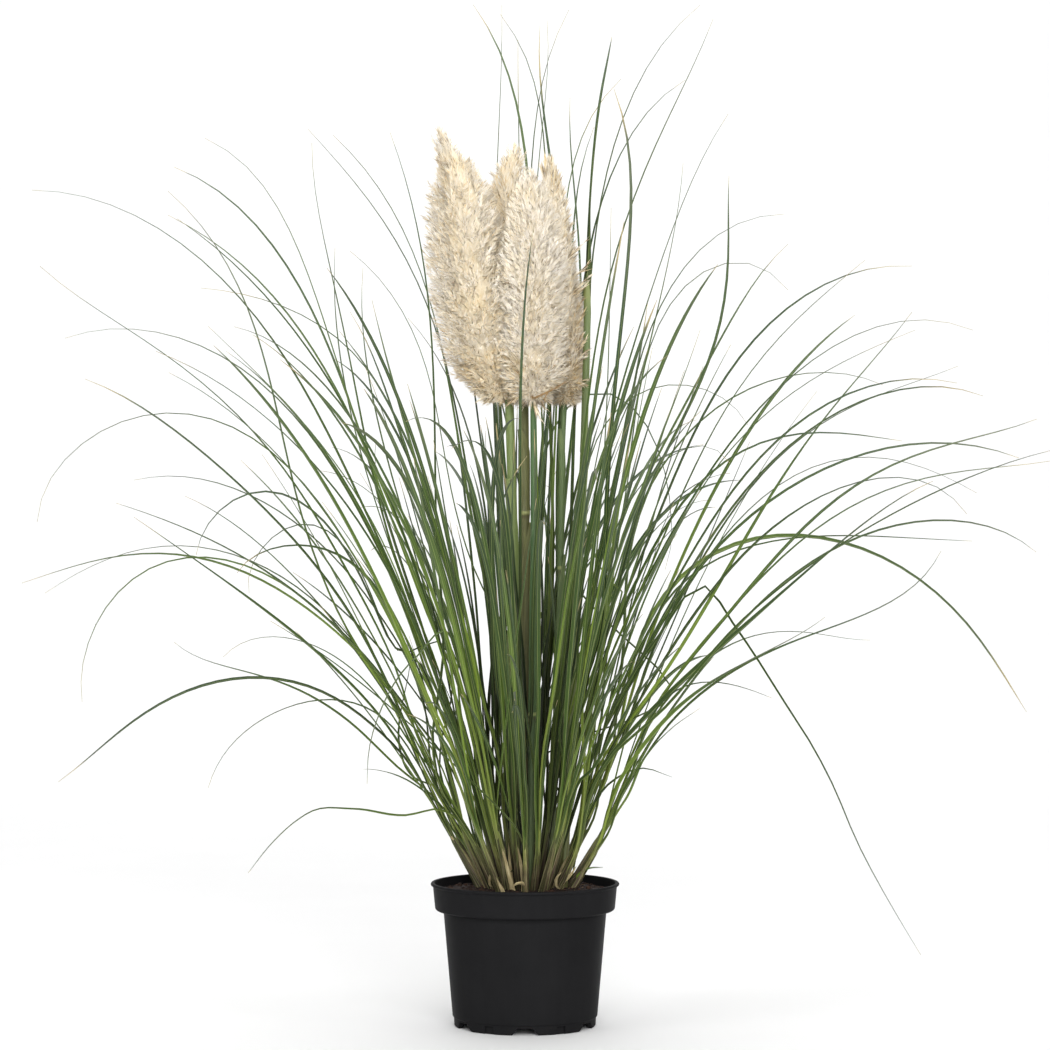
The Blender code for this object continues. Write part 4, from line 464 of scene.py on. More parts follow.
def leaf_width(t):
    """Share of the full width at the fraction t of the way to the tip."""
    return np.interp(t, [0, 0.08, 0.25, 0.45, 0.64, 0.83, 0.95, 1.0], [0.62, 0.86, 1.0, 0.93, 0.72, 0.40, 0.16, 0.03])


def capsules(points, radii):
    """Ends and radii of the stretches between consecutive points."""
    return points[:-1], points[1:], radii[:-1], radii[1:]


def settle(leaves, feet, forks, rounds=260, gap=0.0007):
    """Pushes the leaves apart, and off the stems, the plumes and the shoots, until none passes through another."""
    count, last = len(leaves), len(STATIONS) - 1
    nodes = np.array([leaf["nodes"] for leaf in leaves])
    radius = np.array([leaf["width"] / 2 * leaf_width(STATIONS) for leaf in leaves])
    radius[:, 0] = 0.0046
    drawn = np.array([leaf["shape"] != "g" for leaf in leaves])
    shoot = np.array([leaf["shoot"] for leaf in leaves])
    ease = np.array([0.0, 0.55, 1.0, 1.0, 1.0, 1.0, 1.0])[None, :, None]
    free = np.where(drawn[:, None, None], np.array([0.35, 1.0, 0.35])[None, None, :], 1.0) * ease

    fixed_a, fixed_b, fixed_ra, fixed_rb, fixed_shoot = [], [], [], [], []
    def add(points, radii, owner=-2):
        a, b, ra, rb = capsules(np.asarray(points, float), np.asarray(radii, float))
        fixed_a.extend(a), fixed_b.extend(b), fixed_ra.extend(ra), fixed_rb.extend(rb)
        fixed_shoot.extend([owner] * len(a))
    for name, points in STEMS.items():
        add(points, [STEM_R[name] + 0.0004] * len(points))
    add(CULM + CULM_TIP, [0.0052] * len(CULM) + [0.0046] * len(CULM_TIP))
    for rings in PLUMES.values():
        rings = np.array(rings)
        add(rings[:, [1, 2, 0]], rings[:, 3] + 0.0006)
    for s in range(len(feet)):
        add([(*feet[s], CROWN_Z), forks[s]], [0.0062, 0.0050], s)
    fixed_a, fixed_b = np.array(fixed_a), np.array(fixed_b)
    fixed_ra, fixed_rb, fixed_shoot = np.array(fixed_ra), np.array(fixed_rb), np.array(fixed_shoot)

    leaf_of = np.repeat(np.arange(count), last)
    part_of = np.tile(np.arange(last), count)
    owner = np.concatenate([shoot[leaf_of], fixed_shoot])
    leaf_id = np.concatenate([leaf_of, -1 - np.arange(len(fixed_a))])
    part_id = np.concatenate([part_of, np.full(len(fixed_a), 9)])
    moving = len(leaf_of)
    worst = 0.0
    for turn in range(rounds):
        a = np.concatenate([nodes[:, :-1].reshape(-1, 3), fixed_a])
        b = np.concatenate([nodes[:, 1:].reshape(-1, 3), fixed_b])
        ra = np.concatenate([radius[:, :-1].reshape(-1), fixed_ra])
        rb = np.concatenate([radius[:, 1:].reshape(-1), fixed_rb])
        if turn % 6 == 0:
            middle, half = (a + b) / 2, np.linalg.norm(b - a, axis=1) / 2
            d2 = ((middle[:moving, None] - middle[None]) ** 2).sum(axis=2)
            near = d2 < (half[:moving, None] + half[None] + 0.055) ** 2
            i, j = np.nonzero(near)
            keep = (i < j) & (leaf_id[i] != leaf_id[j])
            same = owner[i] == owner[j]
            # leaves of one shoot part at its fork, and a leaf leaves its own shoot there
            keep &= ~(same & (part_id[i] == 0) & (part_id[j] == 9))
            i, j = i[keep], j[keep]
            same = owner[i] == owner[j]
        p1, d1, p2, d2v = a[i], b[i] - a[i], a[j], b[j] - a[j]
        r = p1 - p2
        aa, ee, ff = (d1 * d1).sum(1), (d2v * d2v).sum(1), (d2v * r).sum(1)
        cc, bb = (d1 * r).sum(1), (d1 * d2v).sum(1)
        denom = aa * ee - bb * bb
        s = np.where(denom > 1e-12, np.clip((bb * ff - cc * ee) / np.maximum(denom, 1e-12), 0, 1), 0.5)
        t = (bb * s + ff) / ee
        t2 = np.clip(t, 0, 1)
        s = np.clip(np.where(t2 != t, (bb * t2 - cc) / aa, s), 0, 1)
        t = t2
        c = (p1 + d1 * s[:, None]) - (p2 + d2v * t[:, None])
        dist = np.linalg.norm(c, axis=1)
        need = ra[i] * (1 - s) + rb[i] * s + ra[j] * (1 - t) + rb[j] * t + gap
        start = same & (part_id[i] == 0) & (part_id[j] == 0)
        # on the first stretch from one fork the gap opens gradually
        c1 = b[i] - b[j]
        dist = np.where(start, np.linalg.norm(c1, axis=1), dist)
        c = np.where(start[:, None], c1, c)
        need = np.where(start, (rb[i] + rb[j]) * 0.95, need)
        s, t = np.where(start, 1.0, s), np.where(start, 1.0, t)
        need = np.where(same & ~start & (np.minimum(part_id[i], part_id[j]) == 0), need * 0.8, need)
        deep = need - dist
        hit = deep > 0
        if not hit.any():
            break
        i_, j_, s_, t_, c_, dist_, deep_ = i[hit], j[hit], s[hit], t[hit], c[hit], dist[hit], deep[hit]
        worst = deep_.max()
        way = np.where(dist_[:, None] > 1e-6, c_ / np.maximum(dist_, 1e-6)[:, None], np.array([0.0, 1.0, 0.0]))
        # two drawn leaves that cross in the front view part in depth
        both = np.where(j_ < moving, drawn[leaf_of[np.minimum(j_, moving - 1)]], False) & drawn[leaf_of[i_]]
        flat = np.stack([way[:, 0] * 0.3, np.where(np.abs(way[:, 1]) < 0.05, np.where(((i_ + j_) % 2) == 0, 0.05, -0.05), way[:, 1]), way[:, 2] * 0.3], axis=1)
        flat /= np.linalg.norm(flat, axis=1, keepdims=True)
        way = np.where(both[:, None], flat, way)
        share = np.where(j_ < moving, 0.5, 1.0)
        push = np.zeros_like(nodes)
        amount = np.zeros(nodes.shape[:2] + (1,))
        def give(seg, f, vec):
            l, k = leaf_of[seg], part_of[seg]
            np.add.at(push, (l, k), vec * (1 - f)[:, None])
            np.add.at(push, (l, k + 1), vec * f[:, None])
            np.add.at(amount, (l, k), (1 - f)[:, None])
            np.add.at(amount, (l, k + 1), f[:, None])
        vec = way * (deep_ * share * 1.25 + 0.0001)[:, None]
        give(i_, s_, vec)
        m = j_ < moving
        give(j_[m], t_[m], -vec[m])
        push = push / np.maximum(amount, 0.7)
        # a leaf bends as a whole: neighbours follow a push
        spread = push.copy()
        spread[:, 1:-1] = 0.72 * push[:, 1:-1] + 0.14 * (push[:, :-2] + push[:, 2:])
        spread[:, -1] = 0.75 * push[:, -1] + 0.25 * push[:, -2]
        nodes = nodes + spread * free
        nodes[:, :, 1] = np.clip(nodes[:, :, 1], -HALF_Y, HALF_Y)
    for leaf, n in zip(leaves, nodes):
        leaf["nodes"], leaf["shift"] = n, n - leaf["base"]
    return int(hit.sum()), float(worst), turn


# ------------------------------------------------------------------ mesh and material helpers
def clamp01(x):
    return np.clip(x, 0.0, 1.0)


def ease(x):
    x = clamp01(x)
    return x * x * (3 - 2 * x)


def unit(v):
    return v / np.maximum(np.linalg.norm(v, axis=-1, keepdims=True), 1e-12)


def hermite(x, xs, ys):
    """A smooth curve through the rows of ys, which stand at xs, read at x."""
    x, xs, ys = np.asarray(x, float), np.asarray(xs, float), np.asarray(ys, float)
    m = np.gradient(ys, xs, axis=0)
    k = np.clip(np.searchsorted(xs, x, side="right") - 1, 0, len(xs) - 2)
    h = xs[k + 1] - xs[k]
    u = (x - xs[k]) / h
    if ys.ndim > 1:
        h, u = h[:, None], u[:, None]
    u2, u3 = u * u, u * u * u
    return (2 * u3 - 3 * u2 + 1) * ys[k] + (u3 - 2 * u2 + u) * h * m[k] + (3 * u2 - 2 * u3) * ys[k + 1] + (u3 - u2) * h * m[k + 1]


def carried(points, first):
    """Tangents along a line, and the first direction carried along it without twist."""
    p = np.asarray(points, float)
    t = unit(np.gradient(p, axis=0))
    out = np.empty_like(p)
    a = np.asarray(first, float)
    for k in range(len(p)):
        a = a - t[k] * (a @ t[k])
        n = np.linalg.norm(a)
        a = a / n if n > 1e-9 else unit(np.cross(t[k], (0.31, 0.77, 0.55)))
        out[k] = a
    return t, out


class Parts:
    """Gathers corners, faces and their values, and makes one mesh of them."""

    def __init__(self):
        self.count, self.verts, self.quads, self.tris, self.values, self.uv4, self.uv3 = 0, [], [], [], {}, [], []

    def add(self, verts, quads=None, tris=None, uv4=None, uv3=None, **values):
        verts = np.asarray(verts, float).reshape(-1, 3)
        n = len(verts)
        self.verts.append(verts)
        if quads is not None and len(quads):
            q = np.asarray(quads, np.int64).reshape(-1, 4)
            self.quads.append(q + self.count)
            self.uv4.append(np.zeros((len(q), 4, 2)) if uv4 is None else np.asarray(uv4, float).reshape(len(q), 4, 2))
        if tris is not None and len(tris):
            t = np.asarray(tris, np.int64).reshape(-1, 3)
            self.tris.append(t + self.count)
            self.uv3.append(np.zeros((len(t), 3, 2)) if uv3 is None else np.asarray(uv3, float).reshape(len(t), 3, 2))
        for key, value in values.items():
            value = np.asarray(value, float)
            if value.ndim == 0:
                value = np.full(n, float(value))
            self.values.setdefault(key, []).append((self.count, value.reshape(n, -1)))
        self.count += n
        return self.count - n

    def mesh(self, name, uv_name=None):
        verts = np.concatenate(self.verts)
        quads = np.concatenate(self.quads) if self.quads else np.zeros((0, 4), np.int64)
        tris = np.concatenate(self.tris) if self.tris else np.zeros((0, 3), np.int64)
        mesh = bpy.data.meshes.new(name)
        mesh.vertices.add(len(verts))
        mesh.vertices.foreach_set("co", verts.astype(np.float32).ravel())
        loops = np.concatenate([quads.ravel(), tris.ravel()])
        mesh.loops.add(len(loops))
        mesh.loops.foreach_set("vertex_index", loops.astype(np.int32))
        mesh.polygons.add(len(quads) + len(tris))
        starts = np.concatenate([np.arange(len(quads)) * 4, len(quads) * 4 + np.arange(len(tris)) * 3])
        mesh.polygons.foreach_set("loop_start", starts.astype(np.int32))
        mesh.polygons.foreach_set("use_smooth", np.ones(len(starts), bool))
        if uv_name:
            layer = mesh.uv_layers.new(name=uv_name)
            flat = [np.concatenate(u).reshape(-1, 2) for u in (self.uv4, self.uv3) if u]
            layer.data.foreach_set("uv", np.concatenate(flat).astype(np.float32).ravel())
        for key, found in self.values.items():
            width = found[0][1].shape[1]
            full = np.zeros((len(verts), width))
            for start, value in found:
                full[start : start + len(value)] = value
            attribute = mesh.attributes.new(key, "FLOAT" if width == 1 else "FLOAT_VECTOR", "POINT")
            attribute.data.foreach_set("value" if width == 1 else "vector", full.astype(np.float32).ravel())
        mesh.update(calc_edges=True)
        mesh.validate()
        return mesh


def piece(name, mesh, mat, nodes=(), sharp=None):
    """An object of the plant or its pot: it rides on the frame and stands for the frame's nodes named."""
    obj = bpy.data.objects.new(name, mesh)
    bpy.context.scene.collection.objects.link(obj)
    mesh.materials.clear()
    mesh.materials.append(mat)
    if sharp is not None:
        mesh.shade_smooth()
        mesh.set_sharp_from_angle(angle=math.radians(sharp))
    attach(obj, "root")
    if nodes:
        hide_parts(*nodes)
    return obj


class Shade:
    """A short hand for a procedural material's nodes."""

    def __init__(self, name, **fixed):
        self.mat = bpy.data.materials.new(name)
        self.mat.use_nodes = True
        self.tree = self.mat.node_tree
        self.out = self.tree.nodes["Principled BSDF"]
        for key, value in fixed.items():
            self.out.inputs[key.replace("_", " ")].default_value = value

    def node(self, kind, **fixed):
        n = self.tree.nodes.new("ShaderNode" + kind)
        for key, value in fixed.items():
            setattr(n, key, value)
        return n

    def put(self, socket, value):
        if isinstance(value, (int, float, tuple, list)):
            socket.default_value = value
        else:
            self.tree.links.new(value, socket)

    def attribute(self, name, vector=False):
        n = self.node("Attribute", attribute_name=name)
        return n.outputs["Vector" if vector else "Fac"]

    def split(self, vector):
        n = self.node("SeparateXYZ")
        self.put(n.inputs[0], vector)
        return n.outputs

    def join(self, x, y, z):
        n = self.node("CombineXYZ")
        for socket, value in zip(n.inputs, (x, y, z)):
            self.put(socket, value)
        return n.outputs[0]

    def math(self, kind, a, b=0.0, c=0.0, clamp=False):
        n = self.node("Math", operation=kind, use_clamp=clamp)
        for socket, value in zip(n.inputs, (a, b, c)):
            self.put(socket, value)
        return n.outputs[0]

    def where(self):
        return self.node("TexCoord").outputs["Object"]

    def noise(self, at, scale, detail=3.0, rough=0.55, twist=0.0):
        n = self.node("TexNoise")
        self.put(n.inputs["Vector"], at)
        n.inputs["Scale"].default_value = scale
        n.inputs["Detail"].default_value = detail
        n.inputs["Roughness"].default_value = rough
        n.inputs["Distortion"].default_value = twist
        return n.outputs["Fac"]

    def spread(self, value, low, high, to_low=0.0, to_high=1.0):
        n = self.node("MapRange", clamp=True)
        for socket, v in zip(n.inputs, (value, low, high, to_low, to_high)):
            self.put(socket, v)
        return n.outputs["Result"]

    def ramp(self, value, stops):
        n = self.node("ValToRGB")
        self.put(n.inputs[0], value)
        marks = n.color_ramp.elements
        while len(marks) < len(stops):
            marks.new(0.5)
        for mark, (at, colour) in zip(marks, stops):
            mark.position = at
            mark.color = (*colour, 1.0)
        return n.outputs["Color"]

    def mix(self, share, a, b, kind="MIX"):
        n = self.node("Mix", data_type="RGBA", blend_type=kind, clamp_factor=True)
        self.put(n.inputs[0], share)
        for socket, value in ((n.inputs[6], a), (n.inputs[7], b)):
            self.put(socket, (*value, 1.0) if isinstance(value, tuple) and len(value) == 3 else value)
        return n.outputs[2]

    def bump(self, height, strength, distance, before=None):
        n = self.node("Bump")
        n.inputs["Strength"].default_value = strength
        n.inputs["Distance"].default_value = distance
        self.put(n.inputs["Height"], height)
        if before is not None:
            self.put(n.inputs["Normal"], before)
        return n.outputs["Normal"]

    def done(self, colour=None, roughness=None, normal=None):
        for key, value in (("Base Color", colour), ("Roughness", roughness), ("Normal", normal)):
            if value is not None:
                self.put(self.out.inputs[key], value)
        return self.mat


def round_tube(parts, line, radii, sides, first=(1.0, 0.0, 0.0), close_low=True, close_high=True, wobble=None, **values):
    """A round rod along a line. Values are one per ring, or one for all."""
    line = np.asarray(line, float)
    n = len(line)
    radii = np.broadcast_to(np.asarray(radii, float), (n,))
    t, a = carried(line, first)
    b = np.cross(t, a)
    ang = np.arange(sides) * 2 * math.pi / sides
    r = radii[:, None] * (np.ones((n, sides)) if wobble is None else wobble)
    verts = line[:, None] + (r * np.cos(ang))[..., None] * a[:, None] + (r * np.sin(ang))[..., None] * b[:, None]
    k, j = np.meshgrid(np.arange(n - 1), np.arange(sides), indexing="ij")
    m = (j + 1) % sides
    quads = np.stack([k * sides + j, k * sides + m, (k + 1) * sides + m, (k + 1) * sides + j], axis=-1).reshape(-1, 4)
    flat = verts.reshape(-1, 3)
    tris = []
    extra = []
    if close_low:
        extra.append(line[0])
        c = n * sides
        tris += [(c, (q + 1) % sides, q) for q in range(sides)]
    if close_high:
        extra.append(line[-1] + t[-1] * radii[-1] * 0.4)
        c = n * sides + len(extra) - 1
        top = (n - 1) * sides
        tris += [(c, top + q, top + (q + 1) % sides) for q in range(sides)]
    if extra:
        flat = np.concatenate([flat, extra])
    out = {}
    for key, value in values.items():
        value = np.asarray(value, float)
        if value.ndim == 0 or (value.ndim == 1 and value.shape[0] != n):
            per = np.broadcast_to(value, (len(flat),) + value.shape)
        else:
            per = np.repeat(value, sides, axis=0)
            ends = [value[0]] * close_low + [value[-1]] * close_high
            if ends:
                per = np.concatenate([per, np.array(ends).reshape((len(ends),) + value.shape[1:])])
        out[key] = per
    return parts.add(flat, quads=quads, tris=tris, **out)

# ------------------------------------------------------------------ leaves
RING_Q = np.array([-1.0, -0.62, -0.28, 0.0, 0.28, 0.62, 1.0, 0.62, 0.28, 0.0, -0.28, -0.62])
RING_BACK = np.array([0.0] * 7 + [1.0] * 5)
SIDES = len(RING_Q)


def tint(code):
    """A colour written as six hex digits, as linear light."""
    c = [int(code[k : k + 2], 16) / 255 for k in (1, 3, 5)]
    return tuple(x / 12.92 if x <= 0.04045 else ((x + 0.055) / 1.055) ** 2.4 for x in c)


def blade(parts, line, up, half, fold, opened, roll_r, roll_turn, thick, t, strip, seed, dry, tone):
    """One leaf as a thin closed strip: rolled round its stalk where opened is 0, folded to a shallow V where it is 1."""
    n = len(line)
    way = unit(np.gradient(line, axis=0))
    up = unit(up - way * (up * way).sum(axis=1, keepdims=True))
    across = np.cross(way, up)
    q = RING_Q[None]
    m, f, theta, r = opened[:, None], fold[:, None], roll_turn[:, None], roll_r[:, None]
    x = (1 - m) * r * np.sin(theta * q) + m * q * half[:, None] * np.cos(f)
    y = (1 - m) * r * (1 - np.cos(theta * q)) + m * np.abs(q) * half[:, None] * np.sin(f)
    off_x = (1 - m) * np.sin(theta * q) + m * np.sign(q) * np.sin(f)
    off_y = -((1 - m) * np.cos(theta * q) + m * np.cos(f))
    deep = RING_BACK[None] * (thick[:, None] * (1 - 0.7 * np.abs(q)) + 0.75 * thick[:, None] * clamp01(1 - np.abs(q) / 0.25))
    verts = line[:, None] + (x + off_x * deep)[..., None] * across[:, None] + (y + off_y * deep)[..., None] * up[:, None]
    k, j = np.meshgrid(np.arange(n - 1), np.arange(SIDES), indexing="ij")
    m_ = (j + 1) % SIDES
    quads = np.stack([k * SIDES + j, k * SIDES + m_, (k + 1) * SIDES + m_, (k + 1) * SIDES + j], axis=-1).reshape(-1, 4)
    which, count = strip
    x0, span = (which + 0.05) / count, 0.90 / count
    u0, u1 = x0 + span * j / SIDES, x0 + span * (j + 1) / SIDES
    v0, v1 = 0.01 + 0.98 * k / (n - 1), 0.01 + 0.98 * (k + 1) / (n - 1)
    uv4 = np.stack([np.stack([u0, v0], -1), np.stack([u1, v0], -1), np.stack([u1, v1], -1), np.stack([u0, v1], -1)], axis=2).reshape(-1, 4, 2)
    flat = verts.reshape(-1, 3)
    top = (n - 1) * SIDES
    # the foot and the tip close across the strip
    pairs = [(0, 11, 1), (1, 11, 10), (1, 10, 2), (2, 10, 9), (2, 9, 3), (3, 9, 4), (4, 9, 8), (4, 8, 5), (5, 8, 7), (5, 7, 6)]
    tris = [(a, b, c) for a, b, c in pairs] + [(top + a, top + c, top + b) for a, b, c in pairs]
    uv3 = np.zeros((len(tris), 3, 2))
    uv3[...] = (x0, 0.005)
    uv3[:, 1, 0] += 0.3 * span
    uv3[:, 2, 1] += 0.003
    shape = (n, SIDES)
    leaf = np.stack([np.broadcast_to(np.asarray(t)[:, None], shape), np.broadcast_to(q, shape), np.full(shape, seed)], axis=-1).reshape(-1, 3)
    kind = np.stack([np.broadcast_to(np.asarray(dry)[:, None], shape), np.broadcast_to(RING_BACK[None], shape), np.full(shape, tone)], axis=-1).reshape(-1, 3)
    parts.add(flat, quads=quads, tris=tris, uv4=uv4, uv3=uv3, leaf=leaf, kind=kind)


def turned(line, first, target, hold, settle_at):
    """Face directions that start as first and turn, by the shorter way, to target between the rings where hold goes from 0 to 1."""
    way, a = carried(line, first)
    b = np.cross(way, a)
    angle = np.unwrap(np.arctan2((target * b).sum(axis=1), (target * a).sum(axis=1)))
    at = angle[settle_at]
    angle = angle - 2 * math.pi * round(at / (2 * math.pi))
    angle = hold * angle
    return np.cos(angle)[:, None] * a + np.sin(angle)[:, None] * b, abs(at - 2 * math.pi * round(at / (2 * math.pi)))


def relaxed(line, low, high, rounds):
    """The line with its stretch from low to high smoothed."""
    line = line.copy()
    for _ in range(rounds):
        mid = (line[low - 1 : high - 1] + line[low + 1 : high + 1]) / 2
        line[low:high] = 0.5 * line[low:high] + 0.5 * mid
    return line


N_SHEATH, N_BLADE = 9, 32


def seen_width(t):
    """Share of a blade's full width at the fraction t of its length: it keeps its width long, and then draws out to a fine tip."""
    return np.interp(t, [0, 0.08, 0.25, 0.45, 0.64, 0.83, 0.95, 1.0], [0.68, 0.79, 0.87, 0.88, 0.83, 0.66, 0.36, 0.04])


def grow_leaf(parts, rng, leaf, foot, fork, petal, order, strip, widen=0.84):
    """A leaf of the frame: its sheath round the stalk, then its blade along the leaf's line."""
    low = np.array([*foot, CROWN_Z])
    u = np.linspace(-0.085, 1.0, N_SHEATH)
    r_k = 0.0022 + 0.00032 * order
    if np.hypot(*(np.array(to_view(leaf["curve"][-1])) - (534, 226))) < 3:
        widen *= 0.72
    elif leaf["curve"][-1][2] > 1.05:
        widen *= 1.22
    elif leaf["curve"][-1][0] < -0.15:
        widen *= 0.88
    stalk = low + (fork - low) * u[:, None] + petal * 0.0012
    t = (np.arange(1, N_BLADE + 1) / N_BLADE) ** 1.06
    line = through(leaf["curve"], t) + hermite(t, STATIONS, leaf["shift"])
    line += (petal * (r_k - 0.0006)) * (1 - ease(t / 0.14))[:, None]
    stalk = stalk + petal * (r_k - 0.0018) * ease((u - 0.1) / 0.9)[:, None]
    line = relaxed(np.concatenate([stalk, line]), N_SHEATH - 3, N_SHEATH + 5, 3)
    s = np.concatenate([np.minimum(u, 1) - 1, t])
    n = len(line)
    way = unit(np.gradient(line, axis=0))
    if leaf["shape"] == "g":
        side = np.array([-math.sin(leaf["phi"]), math.cos(leaf["phi"]), 0.0])
        target = unit(np.cross(way, side))
        lean = np.cross(way, target)
        roll = rng.normal(0, 0.22) + rng.normal(0, 0.35) * ease(s) + 0.12 * np.sin(2 * math.pi * (1.3 * s + rng.random()))
        target = np.cos(roll)[:, None] * target + np.sin(roll)[:, None] * lean
    else:
        flat = np.stack([-way[:, 2], np.zeros(n), way[:, 0]], axis=1)
        flat = unit(flat - way * (flat * way).sum(axis=1, keepdims=True))
        upper = s > 0.4
        tilt = flat[upper, 2].mean()
        if abs(tilt) < 0.12:
            tilt = -flat[upper, 0].mean() * line[upper, 0].mean()
        flat = flat * (1 if tilt > 0 else -1)
        front = np.cross(way, flat)
        front = front * np.where(front[:, 1:2] > 0, -1.0, 1.0)
        a = rng.uniform(0.20, 1.00) + (rng.uniform(0.85, 1.40) - rng.uniform(0.20, 1.00)) * ease((s - 0.25) / 0.7)
        a = np.clip(a + 0.16 * np.sin(2 * math.pi * (1.4 * s + rng.random())), 0.08, 1.5)
        options = []
        for sign in (1.0, -1.0):
            target = np.sin(a)[:, None] * flat + sign * np.cos(a)[:, None] * front
            options.append((turned(line, -petal, target, np.ones(n), N_SHEATH + 8)[1] + rng.uniform(0, 0.9), sign))
        sign = min(options)[1]
        target = np.sin(a)[:, None] * flat + sign * np.cos(a)[:, None] * front
    up, _ = turned(line, -petal, target, ease((s + 0.05) / 0.30), N_SHEATH + 8)
    start = rng.uniform(-0.02, 0.07)
    opened = ease((s - start) / rng.uniform(0.14, 0.28))
    half = leaf["width"] * widen / 2 * seen_width(clamp01(s))
    half = np.maximum(half, 0.00026)
    fold = np.interp(s, [-1, 0.0, 0.15, 0.45, 0.8, 1.0], [0.9, 0.80, rng.uniform(0.50, 0.72), rng.uniform(0.30, 0.52), rng.uniform(0.20, 0.36), 0.15])
    # the sheath narrows to a tube no wider than the blade that unrolls from it
    roll_turn = np.interp(s, [-1, -0.4, 0.05, 0.3], [2.75 - 0.05 * order, 2.5, 2.2, 1.5])
    swell = np.interp(s, [-1.1, -0.8, -0.4, 0.0], [1.12, 1.05, 1.0, 0.94])
    slim = ease((s + 0.25) / 0.36)
    roll_r = (1 - slim) * r_k * swell + slim * half / roll_turn
    thick = np.interp(s, [-1, 0, 0.3, 1.0], [0.00075, 0.00070, 0.00050, 0.00022])
    tip_dry = rng.random() < 0.45
    dry = np.interp(s, [0.0, 1.0 - (rng.uniform(0.04, 0.16) if tip_dry else 0.015), 1.0], [0.0, 0.02, 0.9])
    seed = rng.random()
    if rng.random() < 0.008:
        dry = np.maximum(dry, np.interp(s, [0.0, 0.25, 0.7], [0.25, 0.65, 0.95]))
    blade(parts, line, up, half, fold, opened, roll_r, roll_turn, thick, s, strip, seed, dry, rng.random())


def grow_extra(parts, rng, fork, foot, axis, width, length, lean, turn_out, phi, strip, dry_all=0.0, rings=26):
    """A younger leaf, that rises from the middle of its shoot."""
    low = np.array([*foot, CROWN_Z])
    u = np.array([0.35, 0.6, 0.82, 1.0])
    stalk = low + (fork - low) * u[:, None]
    f = np.linspace(0, 1, rings - 3)[1:]
    angle = lean + turn_out * f ** rng.uniform(1.3, 2.2)
    step = length / len(f)
    r, z = np.cumsum(np.sin(angle)) * step, np.cumsum(np.cos(angle)) * step
    bend = rng.normal(0, 0.10) * r**2 / length
    e, g = np.array([math.cos(phi), math.sin(phi)]), np.array([-math.sin(phi), math.cos(phi)])
    line = np.column_stack([fork[0] + r * e[0] + bend * g[0], fork[1] + r * e[1] + bend * g[1], fork[2] + z])
    while hides_plumes(line):
        line = line[0] + (line - line[0]) * 0.93
    line = relaxed(np.concatenate([stalk, line]), 2, 10, 4)
    s = np.concatenate([u - 1, f])
    n = len(line)
    way = unit(np.gradient(line, axis=0))
    side = np.array([-math.sin(phi), math.cos(phi), 0.0])
    target = unit(np.cross(way, side))
    lean_to = np.cross(way, target)
    roll = rng.normal(0, 0.5) + rng.normal(0, 0.5) * ease(s)
    up = np.cos(roll)[:, None] * target + np.sin(roll)[:, None] * lean_to
    half = np.maximum(width / 2 * seen_width(clamp01(s)) * np.interp(s, [-1, 0], [0.5, 1.0]), 0.00026)
    fold = np.interp(s, [-1, 0.0, 0.15, 0.5, 1.0], [1.25, 1.15, 0.85, 0.50, 0.20])
    thick = np.interp(s, [-1, 0, 1.0], [0.00060, 0.00050, 0.00022])
    dry = np.maximum(np.interp(s, [0.0, 1.0 - rng.uniform(0.02, 0.12), 1.0], [0.0, 0.02, 0.9]), dry_all)
    blade(parts, line, up, half, fold, np.ones(n), np.full(n, 0.003), np.full(n, 1.5), thick, s, strip, rng.random(), dry, rng.random())


def dry_sheath(parts, rng, fork, foot, strip):
    """A dead outer sheath: a papery half tube round the foot of a shoot, torn and flared at its top."""
    low = np.array([*foot, CROWN_Z])
    tall = rng.uniform(0.35, 1.0)
    n = 9
    u = np.linspace(-0.085, tall, n)
    out = unit(np.array([foot[0], foot[1], 0.0]) + rng.normal(0, 0.02, 3) * [1, 1, 0])
    spin = rng.normal(0, 0.9)
    out = np.array([out[0] * math.cos(spin) - out[1] * math.sin(spin), out[0] * math.sin(spin) + out[1] * math.cos(spin), 0.0])
    line = low + (fork - low) * u[:, None] + out * (0.0004 + 0.0022 * ease((u - 0.5 * tall) / (0.6 * tall)) * rng.uniform(0.2, 1.5))[:, None]
    s = np.linspace(-1, -0.1, n)
    target = np.broadcast_to(-out, (n, 3))
    f = np.linspace(0, 1, n)
    half = 0.0036 * np.interp(f, [0, 0.6, 1.0], [1.0, 0.8, rng.uniform(0.06, 0.35)])
    roll_r = 0.0041 * np.interp(f, [0, 0.25, 1.0], [1.10, 1.0, 0.92])
    turn = np.interp(f, [0, 0.5, 1.0], [2.4, rng.uniform(1.5, 2.2), 0.35])
    opened = ease((f - 0.55) / 0.5)
    fold = np.full(n, rng.uniform(0.1, 0.5))
    blade(parts, line, target, half, fold, opened, roll_r, turn, np.full(n, 0.00045), s, strip, rng.random(), np.full(n, rng.uniform(0.72, 1.0)), rng.random())


def strip_leaf(parts, rng, points, width, facing, strip, dry, tone, base_s=0.02, curl=0.0):
    """A small loose leaf along the points given."""
    n = 18
    f = np.linspace(0, 1, n)
    line = through(np.asarray(points, float), f)
    way, up = carried(line, facing)
    side = np.cross(way, up)
    roll = curl * f
    up = np.cos(roll)[:, None] * up + np.sin(roll)[:, None] * side
    half = np.maximum(width / 2 * np.interp(f, [0, 0.12, 0.5, 0.85, 1.0], [0.55, 0.95, 1.0, 0.5, 0.05]), 0.00022)
    blade(parts, line, up, half, np.full(n, 0.45), np.ones(n), np.full(n, 0.003), np.full(n, 1.5), np.interp(f, [0, 1], [0.0006, 0.00025]), base_s + (0.9 - base_s) * f, strip, rng.random(), np.full(n, dry), tone)


